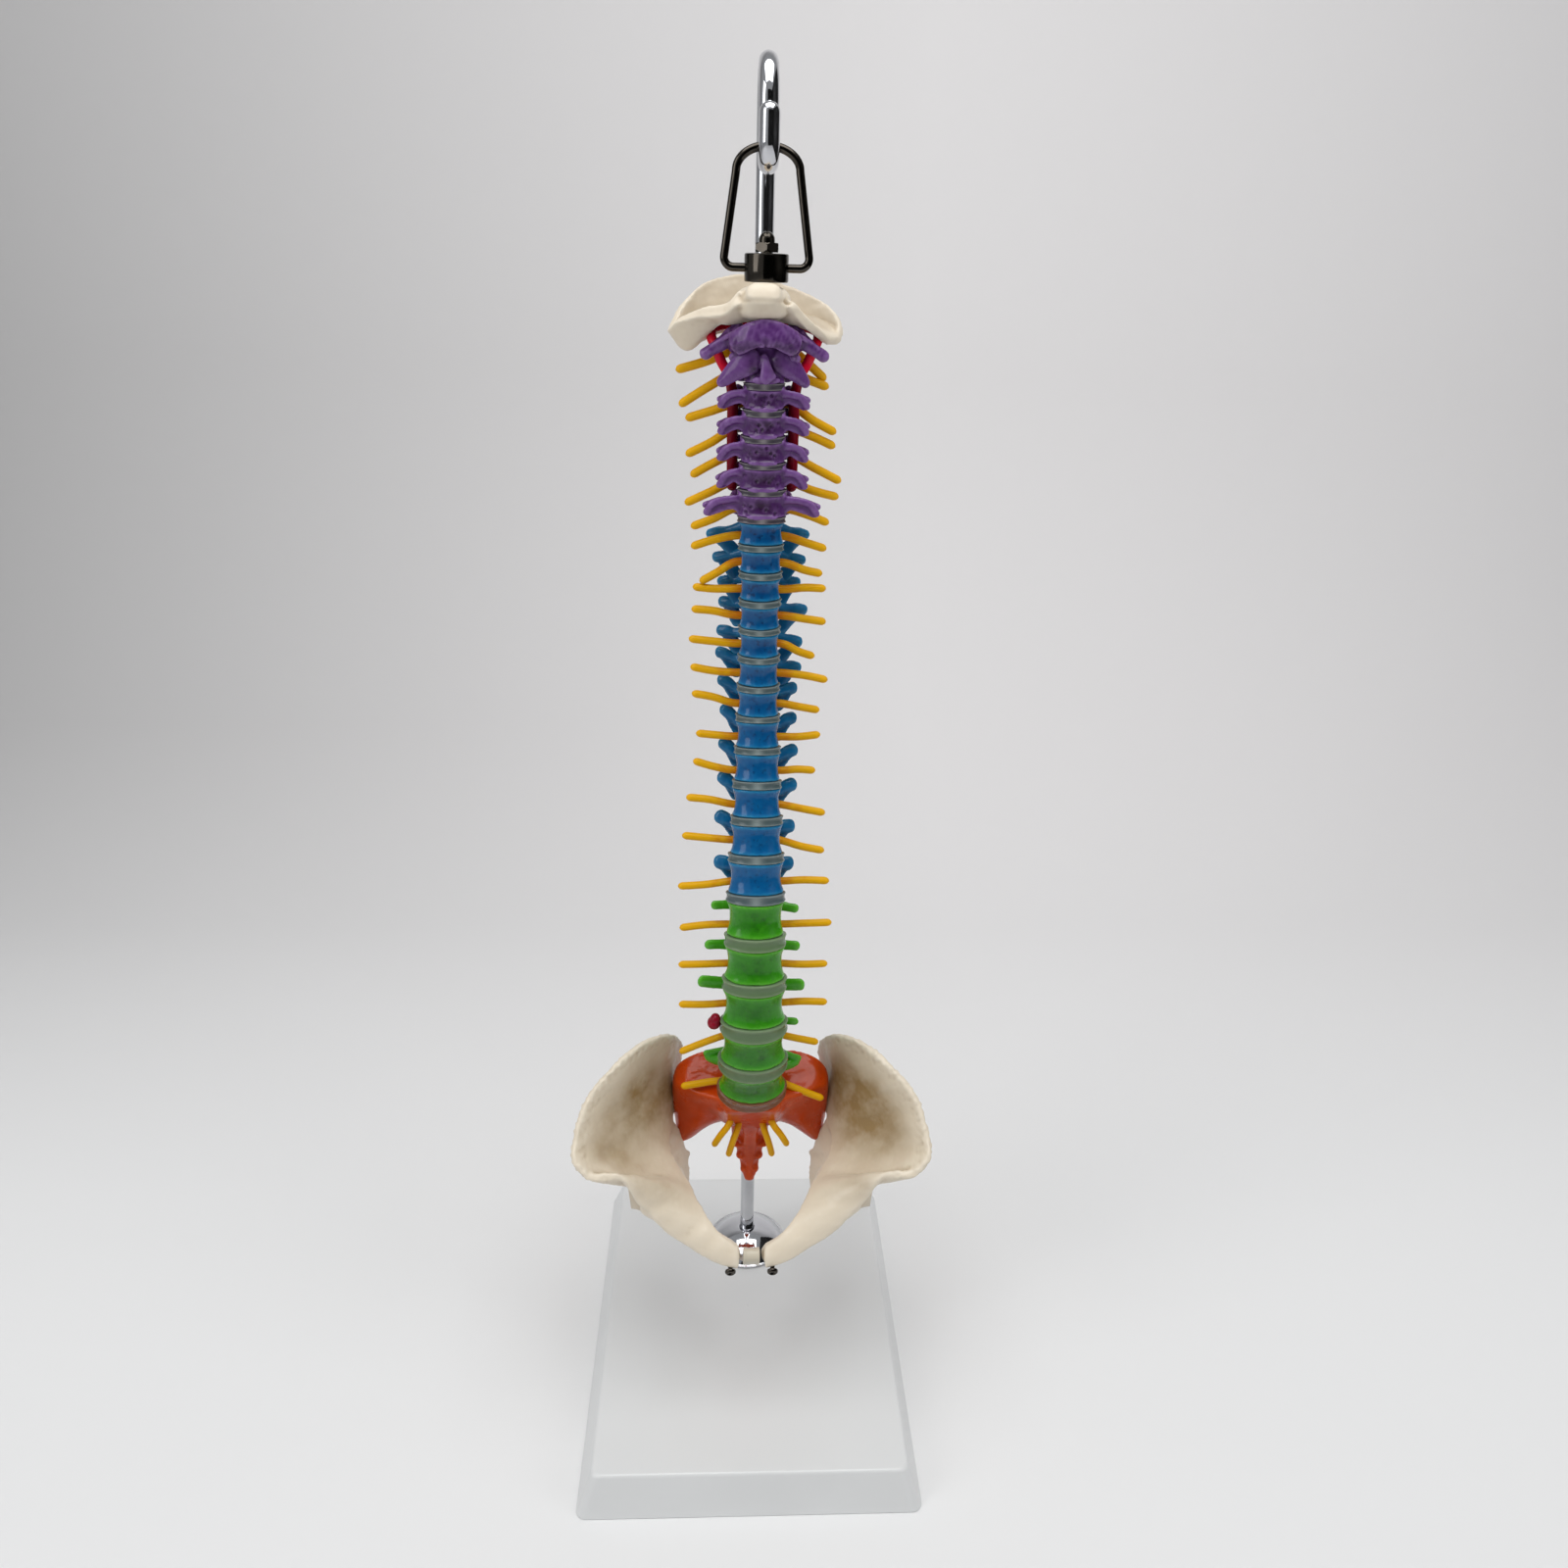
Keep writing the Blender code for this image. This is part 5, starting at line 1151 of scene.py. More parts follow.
@dataclass
class LoinVertebra(Vertebra):
    """Loin vertebra: a big body, flat side processes and a deep hatchet of a spine."""

    tabs: tuple = (18.0, 1.0, 18.0, 1.0)
    tab_back: float = 8.0
    tab_half: float = 2.2
    wedge: float = 0.0
    spine_reach: float = 26.6
    voxel: float = 0.50

    def sides(self) -> list[Surface]:
        """Flat side process with a rounded end, wedge-shaped at the lowest level, and a knob at its root.

        The tips' places, left and right, are steps along the model's axes from the body's middle.
        """
        h, back, r, k = self.level.height, self.level.back, self.level.canal, self.tab_half
        made = both(ellipsoid((r + 2.4, back + 1.6, 0.40 * h), (1.9, 1.7, 2.6), -10))
        for sign, x, z in ((-1, *self.tabs[:2]), (1, *self.tabs[2:])):
            tip = self.level.own(sign * x, self.tab_back, z)
            root = np.array([sign * (r + 0.4), back - 2.0, 0.12 * h])
            foot = root * 0.45 + tip * 0.55
            made.append(carried([root, foot, tip], [(1.5, 2.6), (1.1, k), (1.1, k)], 26, 20))
            if self.wedge:
                low = self.level.own(sign * (self.level.width * 0.44), self.tab_back - 1.0, z - self.wedge * 0.55)
                made.append(carried([tip + (-sign * 0.8, 0, -0.6), (tip + low) / 2 + (0, 0, -0.8), low],
                                    [(1.3, 1.1), (2.5, 1.1), (3.4, 1.3)], 18, 20, upright=(0, 1, 0)))
        return made

    def spine(self) -> list[Surface]:
        """Deep flat blade with a thick rear edge."""
        h, back, r = self.level.sizes
        path = [(0, back + r + 0.4, -0.10 * h), (0, (back + r + self.spine_reach) / 2, -0.17 * h),
                (0, self.spine_reach - 0.6, -0.20 * h)]
        return [carried(path, [(1.4, 4.4), (1.0, 4.8), (1.6, 4.6)], 26, 22, power=2.6, ends=0.5)]


@dataclass
class Axis(Vertebra):
    """Second neck vertebra: a keeled body with sloping shoulders and the peg that the atlas turns on."""

    peg_radius: float = 2.9
    peg_rise: float = 8.4
    skew: float = 8.0
    voxel: float = 0.34

    def body(self) -> Surface:
        """Body that narrows upwards."""
        t = np.linspace(-1, 1, 21)
        scale = 0.90 - 0.10 * t
        ring = body_ring(self.level.width, self.level.depth)
        rings = ring[None] * scale[:, None, None]
        rings[..., 2] = (t * self.level.height / 2)[:, None]
        return skinned(rings)

    def sides(self) -> list[Surface]:
        """Shoulders, drooping side processes, the keel with its lip, and the peg."""
        half = self.level.height / 2
        peg = turned([(0.3, half - 2), (3.0, half - 1.6), (2.7, half + 2.0), (self.peg_radius, half + 5.0),
                      (2.7, half + 6.9), (1.6, half + self.peg_rise - 0.4), (0.2, half + self.peg_rise)], 32,
                     smooth=28)
        shoulder = carried([(1.6, -3.4, 2.0), (6.4, -2.8, 0.4), (10.4, -0.8, -2.6), (14.4, 1.8, -6.4)],
                           [(1.6, 3.6), (1.8, 3.8), (1.6, 2.9), (1.2, 1.4)], 30, 24)
        keel = carried([(-1.0, -3.6, 3.5), (-0.4, -5.2, -0.5), (0.3, -5.6, -4.0), (0.8, -5.6, -half + 0.2)],
                       [(1.0, 0.8), (1.7, 1.1), (2.8, 1.4), (2.0, 1.0)], 22, 16, upright=(0, 1, 0))
        lip = ellipsoid((0, -4.2, -half + 0.9), (4.6, 1.6, 1.3))
        front = [keel, lip] + both(shoulder)
        return [peg] + [part.moved(np.zeros(3), turn(2, self.skew)) for part in front]

    def facets(self) -> list[Surface]:
        """Lower joint processes only."""
        r, back = self.level.canal, self.level.back
        return both(ellipsoid((r + 2.6, back + 1.4, -3.4), (3.2, 1.6, 2.6), -18))

    def arch(self) -> list[Surface]:
        """Low stout arch."""
        h, back, r = self.level.height, self.level.back, self.level.canal + 1.1
        path = [(r * 0.9, 1.4, -0.04 * h), (r, back - 0.6, -0.06 * h), (r * 0.62, back + r * 0.78, -0.12 * h),
                (-0.3, back + r, -0.12 * h)]
        return both(carried(path, [(1.3, 2.3), (1.2, 2.3), (1.3, 2.8), (1.5, 2.7)], 22, 18))

    def spine(self) -> list[Surface]:
        """Stout forked spine."""
        back, r = self.level.back, self.level.canal
        stem = carried([(0, back + r + 0.6, -1.0), (0, 17.4, -2.2)], [(1.5, 2.7), (1.9, 2.1)], 14, 18)
        fork = carried([(0.4, 16.2, -2.2), (2.8, 19.0, -3.2)], [(1.1, 1.5), (1.1, 1.2)], 12, 14)
        return [stem] + both(fork)

    def hollow(self, local: Array) -> Array:
        """Painted shade in the two hollows beside the keel.

        Args:
            local: points in the bone's own frame.

        Returns:
            A share from 0 to 1 for each point.
        """
        x, y, z = local.T
        beside = np.exp(-((np.abs(x) - 3.4) / 1.8) ** 2) * np.exp(-((z + 0.6) / 3.2) ** 2)
        return beside * np.clip(-y / 2, 0, 1)


@dataclass
class Atlas:
    """First neck vertebra: a ring round the peg and the canal with long drooping side processes."""

    centre: Array
    canal_back: float
    canal: float
    half_span: float = 20.5
    peg_radius: float = 2.9
    voxel: float = 0.34

    def parts(self) -> list[Surface]:
        """Front arch with its knob, side masses, rear arch and side processes."""
        front = -self.peg_radius - 2.5
        rear = self.canal_back + self.canal
        half = [(3.5, -7.2, -0.4), (7.0, -5.6, -2.0), (10.4, -2.6, -3.8)]
        path = [(-x, y, z) for x, y, z in half[::-1]] + [(0, -7.6, 0.3)] + half
        sizes = [(2.0, 3.7), (1.5, 3.9), (1.3, 4.0)]
        fore = carried(path, sizes + [(1.4, 4.1)] + sizes[::-1], 48, 24)
        knob = ellipsoid((-0.2, -8.2, -0.6), (2.6, 1.0, 1.7))
        mass = ellipsoid((8.4, 1.4, -2.4), (3.2, 4.4, 5.4))
        flange = carried([(7.5, -3.0, -6.0), (11.0, -1.2, -7.8)], [(1.8, 1.4), (1.6, 1.3)], 14, 18)
        hind = carried([(7.6, 5.0, -0.6), (7.2, self.canal_back + 2.6, -0.6), (3.6, rear + 1.6, -0.6),
                        (-0.3, rear + 2.2, -0.5)], [(1.4, 1.9), (1.2, 1.7), (1.2, 1.7), (1.3, 1.8)], 22, 18)
        side = carried([(8.5, 0.5, 0.2), (12.0, 0.8, -2.6), (15.8, 1.6, -5.0), (self.half_span - 0.6, 3.0, -7.6)],
                       [(2.4, 3.2), (1.8, 2.4), (1.5, 1.9), (1.9, 2.0)], 28, 20)
        rib = carried([(3.4, front - 2.4, 1.2), (7.8, -5.6, 0.6), (13.0, -0.8, -2.0), (17.0, 0.6, -4.6)],
                      [(0.5, 0.7), (0.6, 0.8), (0.5, 0.7), (0.4, 0.5)], 24, 12)
        return [fore, knob] + both(mass) + both(flange) + both(hind) + both(side) + both(rib)

    def mesh(self, name: str) -> Mesh:
        """Fuse the atlas, carve rays into its front and move it to its place.

        Args:
            name: its name.

        Returns:
            The mesh.
        """
        made = fused(name, self.parts(), self.voxel, 3)
        local, normals, _ = arrays_of(made)
        x, y, z = local.T
        rays = np.sin(7 * np.arctan2(z + 6.0, np.abs(x) + 0.5) + 0.5 * np.abs(x))
        lift = 0.20 * rays * np.clip(-y / 3, 0, 1) + 0.10 * waves(local, 3.0, 31) + 0.03 * waves(local, 1.3, 32)
        # Painted shade: darker towards the bottom of the front.
        hollow = np.clip((1.8 - z - 2) / 4, 0, 1) * np.clip(-y / 4, 0, 1) * 0.6
        return settled(made, local + normals * lift[:, None] + self.centre, hollow)


@dataclass
class SkullBase:
    """Cut-out of the skull: a dished shell of the occipital bone and the tapering block before it.

    Each line runs from the front to the back, with X to the right; the left side is its mirror
    image, except where it has a line of its own.
    """

    top: Array
    hole: tuple = (
        (0, 3.1, -9.2), (1.9, 3.5, -9.2), (3.5, 4.5, -9.2), (4.6, 6.2, -9.2), (5.0, 8.07, -9.2),
        (4.6, 10.0, -9.2), (3.5, 11.6, -9.2), (1.9, 12.7, -9.2), (0, 13.1, -9.2),
    )
    under: tuple = (
        (0, 1.5, -9.0), (6.0, -2.0, -9.6), (11.0, -0.5, -10.8), (15.5, 1.0, -11.2),
        (22.5, 6.5, -18.2), (23.8, 11.5, -18.8), (17.0, 15.5, -15.0), (8.5, 16.0, -13.0), (0, 16.0, -12.0),
    )
    rim_left: tuple = (
        (0, -4.0, -6.0), (-8.2, -7.5, -4.8), (-13.4, -5.5, -8.0), (-20.7, -1.5, -8.9),
        (-27.0, 3.0, -11.0), (-29.3, 8.0, -13.2), (-25.6, 13.0, -6.5), (-18.0, 18.5, -0.2),
        (-4.0, 22.0, 1.8),
    )
    rim_right: tuple = (
        (0, -4.0, -6.0), (7.0, -7.0, -5.2), (10.4, -5.5, -8.6), (14.8, -1.8, -12.6),
        (19.6, 3.2, -16.4), (23.8, 8.0, -15.2), (23.4, 13.0, -9.4), (15.6, 18.0, -3.8),
        (-4.0, 22.0, 1.8),
    )
    under_right: tuple = (
        (0, 1.5, -9.0), (6.0, -2.0, -9.6), (11.0, -0.5, -11.0), (15.0, 1.0, -12.4),
        (20.6, 6.0, -14.6), (21.8, 11.5, -14.0), (16.0, 15.5, -12.0), (8.0, 16.0, -11.5),
        (0, 16.0, -12.0),
    )
    middle_share: float = 0.64
    middle_height: float = -10.4
    wall: float = 1.1
    rim_wall: float = 1.5
    voxel: float = 0.52

    def shell(self) -> Surface:
        """Dished shell: four closed lines, from the great hole out to the rim, eased into a sheet
        that is then thickened both ways along its normals."""
        mirror = np.array([-1.0, 1.0, 1.0])
        hole, under = np.array(self.hole, float), np.array(self.under, float)
        middle = hole * (1 - self.middle_share) + under * self.middle_share
        middle[:, 2] = np.linspace(-9.1, self.middle_height, 9)
        middle[4:, 2] = self.middle_height
        right = np.array(self.under_right, float)
        pairs = ((hole, hole * mirror), (middle * (0.9, 1, 1), middle * mirror), (right, under * mirror),
                 (np.array(self.rim_right, float), np.array(self.rim_left, float)))
        rows = np.stack([around(np.concatenate([a, b[-2:0:-1]]), 12) for a, b in pairs])
        sheet = eased(rows.reshape(4, -1), 34).reshape(34, -1, 3)
        along = np.roll(sheet, -1, 1) - np.roll(sheet, 1, 1)
        normal = unit(np.cross(along, np.gradient(sheet, axis=0)))
        wall = self.wall + (self.rim_wall - self.wall) * np.linspace(0, 1, 34)[:, None, None] ** 3
        return skinned(np.concatenate([sheet + normal * wall, (sheet - normal * wall)[::-1]]), loop=True)

    def parts(self) -> list[Surface]:
        """Shell, the tapering block in front, the condyles and a low ridge round the block's foot."""
        block = carried([(-0.9, 3.0, -5.6), (-0.9, -1.0, -5.4), (-0.9, -5.0, -5.2), (-0.9, -8.2, -3.4),
                         (-0.9, -10.8, -1.7)],
                        [(8.4, 3.4), (8.6, 4.6), (7.8, 5.0), (5.6, 4.0), (4.9, 3.1)], 34, 40, power=2.8, ends=0.3)
        condyle = ellipsoid((6.6, 1.4, -8.2), (3.2, 4.2, 2.2), 0, 18)
        ridge = carried([(-7.4, -6.2, -2.2), (-11.6, -4.8, -6.4), (-18.4, -1.6, -7.8), (-23.0, 1.0, -9.6)],
                        [(0.9, 0.9), (1.0, 1.0), (0.9, 0.9), (0.7, 0.7)], 24, 16)
        return [self.shell(), block, ridge] + both(condyle)

    def mesh(self, name: str) -> Mesh:
        """Fuse the skull base, cut the block's crease and pit, and move it to its place.

        Args:
            name: its name.

        Returns:
            The mesh.
        """
        made = fused(name, self.parts(), self.voxel, 4)
        local, normals, edges = arrays_of(made)
        x, y, z = local.T
        lift = 0.12 * waves(local, 6.0, 51) + 0.04 * waves(local, 2.0, 52)
        front = np.clip((-5.5 - y) / 1.5, 0, 1) * np.clip((7.5 - np.abs(x)) / 1.5, 0, 1)
        lift = lift - 0.32 * front * np.exp(-((z + 4.7) / 0.5) ** 2)
        lift = lift - 1.3 * np.exp(-((local - (6.2, -6.6, -5.0)) ** 2).sum(axis=1) / 0.9)
        # Painted shade inside the bowl of the shell, on its upward faces.
        inside = np.clip(normals[:, 2], 0, 1) * (np.hypot((x + 2) / 24, (y - 8) / 15) < 0.95) * (y > -1)
        hollow = averaged(inside.astype(float), edges, 12) * 0.5
        return settled(made, local + normals * lift[:, None] + self.top, hollow)


@dataclass
class Sacrum:
    """Sacrum and tail bone: a curved wedge with broad wings, front holes and a knobbly tip."""

    level: Level
    sections: tuple = (
        (26.0, -8.8, 17.5, 0.0, 32), (30.6, -8.8, 20.2, 3.4, 33), (31.2, -8.4, 18.6, 9.0, 33),
        (30.4, -7.8, 14.5, 14.5, 31), (27.5, -7.0, 12.0, 19.5, 27), (10.0, -5.8, 10.5, 28.0, 20),
        (7.2, -4.0, 6.6, 41.0, 8), (4.8, -3.0, 4.0, 48.0, -6), (3.4, -2.2, 2.6, 54.0, -18),
        (1.8, -1.4, 1.4, 59.0, -28),
    )
    rear_drop: float = 3.6
    wing_drop: float = 2.6
    wing_hang: tuple = (0.0, 5.5, 9.5, 14.5, 17.5, 0.0, 0.0, 0.0, 0.0, 0.0)
    wing_fore: tuple = (0.0, 1.0, 4.0, 7.0, 10.0, 0.0, 0.0, 0.0, 0.0, 0.0)
    wing_slope: float = 5.0
    voxel: float = 0.62

    def frames(self) -> list[tuple[Array, float, float, float, float]]:
        """Middle, lean, half width, front and rear edge of each section."""
        at, last, made = self.level.centre.copy(), 0.0, []
        for half, front, rear, length, lean in self.sections:
            at = at + turn(0, lean) @ np.array([0.0, 0.0, last - length])
            last = length
            made.append((at.copy(), lean, half, front, rear))
        return made

    def spot(self, k: int, x: float, y: float) -> Array:
        """Place across and back from the middle of a section."""
        at, lean = self.frames()[k][:2]
        return at + turn(0, lean) @ np.array([x, y, 0.0])

    def block(self) -> Surface:
        """Skin eased through the sections' outlines, in both directions."""
        outline = [(0.0, -1.0), (0.30, -0.96), (0.46, -0.60), (0.74, -0.32), (1.0, 0.05), (0.97, 0.62),
                   (0.62, 0.86), (0.28, 0.80), (0.0, 1.0)]
        outline += [(-u, v) for u, v in reversed(outline[1:-1])]
        u, v = eased(np.array(outline + outline[:1]), 97)[:-1].T
        rings = []
        for k, (at, lean, half, front, rear) in enumerate(self.frames()):
            y = (front + rear) / 2 + v * (rear - front) / 2 - self.wing_fore[k] * np.abs(u) ** 2
            z = -self.wing_hang[k] * np.abs(u) ** 3.6
            if k == 0:
                z = -self.rear_drop * np.clip(v, 0, 1) - self.wing_drop * np.abs(u) ** 1.5
                z = z - self.wing_slope * np.clip((np.abs(u) - 0.42) / 0.58, 0, 1) * np.clip(0.5 - v, 0, 1.5)
            rings.append(np.stack([u * half, y, z], axis=1) @ turn(0, lean).T + at)
        table = np.array(rings).reshape(len(rings), -1)
        return skinned(eased(table, 64).reshape(64, -1, 3))

    def parts(self) -> list[Surface]:
        """Block, the rear crest's knobs and the beads of the tail bone."""
        frames = self.frames()
        made = [self.block()]
        for k, size in ((1, 2.6), (2, 2.4), (3, 2.2), (4, 2.0), (5, 1.7)):
            _, lean, _, _, rear = frames[k]
            made.append(ellipsoid(self.spot(k, 0, rear - 0.2), (1.5, size * 0.8, size), lean))
        for k, out in ((6, 1.06), (7, 1.10), (8, 1.08)):
            _, lean, half, _, _ = frames[k]
            made += both(ellipsoid(self.spot(k, half * out * 0.62, 0), (half * 0.55, half * 0.55, 1.7), lean))
        return made

    def mesh(self, name: str) -> Mesh:
        """Fuse the bone, sink the holes for the nerves and the canal, and tint it.

        Args:
            name: its name.

        Returns:
            The mesh.
        """
        made = fused(name, self.parts(), self.voxel, 4)
        points, normals, edges = arrays_of(made)
        holes = [(self.level.at(0, self.level.back - 0.4, -1.0), 4.6)]
        for k, side, radius in ((2, 11.4, 2.3), (3, 9.0, 2.1), (4, 6.4, 1.8), (5, 5.0, 1.3)):
            deep = self.sections[k][1] * 0.55 + 0.5
            holes += [(self.spot(k, sign * side, deep), radius) for sign in (-1, 1)]
        for centre, radius in holes:
            points = pressed(points, centre, radius)[0]
        points = averaged(points, edges, 1)
        points = points + normals * (0.09 * waves(points, 7.0, 71) + 0.03 * waves(points, 2.0, 72))[:, None]
        return settled(made, points, 0.5 + 0.15 * waves(points, 14.0, 73))


@dataclass
class HipBone:
    """Right hip bone: flared blade, socket, and the loop of the pubis and the sitting bone."""

    anchor: Array
    outer: tuple = (
        (30.0, 28.5, -2.0), (30.0, 23.5, 7.5), (34.5, 12.4, 17.5), (43.5, 3.4, 19.8), (53.4, -7.6, 17.0),
        (62.6, -16.6, 9.0), (67.0, -26.6, -2.2), (66.4, -33.0, -6.8), (61.5, -36.0, -11.2),
        (55.4, -35.4, -11.4), (50.0, -34.6, -13.4), (46.6, -34.0, -18.6), (43.8, -33.6, -25.4),
        (38.4, -34.2, -31.4), (31.5, -36.0, -39.0), (22.5, -38.6, -44.0), (13.0, -40.8, -48.6),
        (5.0, -41.6, -51.0),
    )
    inner: tuple = (
        (30.0, 25.0, -17.5), (31.5, 20.0, -20.0), (32.8, 13.5, -22.0), (33.6, 7.0, -24.0),
        (34.0, 1.0, -26.0), (33.0, -4.0, -27.3), (31.0, -8.0, -28.3), (29.0, -12.0, -29.3),
        (27.0, -15.5, -30.3), (25.5, -18.0, -31.0), (24.2, -21.0, -31.8), (22.9, -23.6, -32.6),
        (20.5, -27.0, -34.5), (17.6, -30.6, -36.2), (14.5, -33.5, -38.0), (11.0, -35.6, -40.0),
        (7.5, -37.0, -42.0), (4.5, -37.6, -43.4),
    )
    sheet_walls: tuple = ((1.8, 1.8, 2.2), (1.5, 1.4, 2.0), (1.4, 2.0, 2.4), (2.2, 3.0, 2.6), (2.4, 3.4, 2.6))
    sheet_bow: tuple = (0.3, 1.8, 2.8, 2.8, 1.0, -0.6, -0.8, -0.4, 0.0)
    wall_top: tuple = ((33.5, 10.4, -21.5), (36.5, 2.4, -25.5), (40.0, -6.6, -29.0), (43.0, -13.0, -30.0))
    wall_foot: tuple = ((29.0, 13.0, -32.0), (26.2, 10.8, -50.0), (28.0, 3.4, -60.0), (34.0, -7.6, -60.0))
    side_walls: tuple = ((2.3, 1.9, 1.7), (2.3, 1.9, 1.7))
    socket_centre: tuple = (34.6, -14.0, -34.6)
    socket_outer: float = 9.4
    socket_ball: float = 8.2
    socket_offset: tuple = (8.4, -0.6, -2.4)
    upper_ramus: tuple = (
        (41.0, -19.6, -35.5, 7.0), (30.0, -29.6, -38.5, 4.8), (22.0, -34.6, -42.0, 4.3),
        (14.0, -37.6, -45.0, 4.3), (6.2, -38.8, -48.0, 5.0),
    )
    lower_ramus: tuple = (
        (6.2, -36.6, -49.5, 4.8), (12.5, -29.0, -54.0, 3.6), (20.0, -17.6, -60.5, 3.6),
        (26.5, -4.6, -68.0, 5.2), (30.0, -3.6, -59.0, 5.2), (33.0, -9.6, -44.0, 6.0),
    )
    half_gap: float = 3.4
    voxel: float = 0.86

    def plate(self, lines: tuple, walls: tuple, bow: tuple) -> Surface:
        """Curved plate through two or three eased lines.

        Across the plate the middle surface runs from the first line to the last one and bows
        outwards by `bow`, eased along the plate, as a half sine across it. Its half wall is eased
        through the table `walls`, a row for each place along the plate.

        Args:
            lines: the knots of each line.
            walls: half walls across the plate, a row for each place along it.
            bow: how far it bows, along the plate.

        Returns:
            The closed surface.
        """
        n, m = 96, 36
        knots = np.stack([eased(np.array(line), n).ravel() for line in lines])
        grid = eased(knots, m).reshape(m, n, 3).transpose(1, 0, 2)
        normal = unit(np.cross(np.gradient(grid, axis=0), np.gradient(grid, axis=1)))
        normal = normal * np.sign(normal[..., 0].mean())
        depth = eased(np.array(bow, float)[:, None], n) * np.sin(np.pi * np.linspace(0, 1, m))
        grid = grid + normal * depth[..., None]
        wall = eased(eased(np.array(walls), n).T, m).T[..., None]
        outer, inner = grid + normal * wall, grid - normal * wall
        return skinned(np.concatenate([outer, inner[:, ::-1]], axis=1))

    def parts(self) -> list[Surface]:
        """Sheet of blade and neck, side wall, socket block and the two rami."""
        sheet = self.plate((self.outer, self.inner), self.sheet_walls, self.sheet_bow)
        side = self.plate((self.wall_top, self.wall_foot), self.side_walls, (0.0, -0.8, 0.0))
        block = ellipsoid(self.socket_centre, (self.socket_outer,) * 3)
        rami = [carried([p[:3] for p in line], [(p[3] * 0.85, p[3]) for p in line], count, 24, ends=0.4)
                for line, count in ((self.upper_ramus, 40), (self.lower_ramus, 56))]
        spur = carried([(27.6, 11.6, -41.0), (24.6, 12.4, -43.0)], [(1.6, 2.4), (0.8, 1.0)], 12, 14)
        return [sheet, side, block, *rami, spur]

    def mesh(self, name: str, left: bool) -> Mesh:
        """Fuse the bone, press the socket's cup, flatten the joint face and paint shade on the blade's inner face and
        in the cup.

        Args:
            name: its name.
            left: whether to mirror it.

        Returns:
            The mesh.
        """
        made = fused(name, self.parts(), self.voxel, 5)
        points, normals, edges = arrays_of(made)
        points, cup = pressed(points, np.add(self.socket_centre, self.socket_offset), self.socket_ball)
        points[:, 0] = np.maximum(points[:, 0], self.half_gap)
        seed = 81 if left else 91
        crest = eased(np.array(self.outer[:10]), 80)
        near = np.min(np.linalg.norm(points[:, None] - crest[None], axis=2), axis=1)
        rough = np.exp(-(near / 4.0) ** 2)
        lift = 0.22 * waves(points, 9.0, seed) + (0.06 + 0.20 * rough) * waves(points, 1.9, seed + 1)
        points = points + normals * lift[:, None] * (points[:, :1] > self.half_gap + 0.5)
        # Painted shade on the blade's inward-facing inner face, and in the socket's cup.
        blade = np.clip((points[:, 2] + 34) / 22, 0, 1) * np.clip((near - 5) / 12, 0, 1)
        shade = blade * np.clip(-normals[:, 0] * 1.4, 0, 1) * (0.85 + 0.3 * waves(points, 26.0, seed + 2))
        shade = np.maximum(shade, cup * 0.5)
        points = points + self.anchor
        if left:
            points = points * (-1, 1, 1)
            made.flip_normals()
        return settled(made, points, averaged(shade, edges, 10))


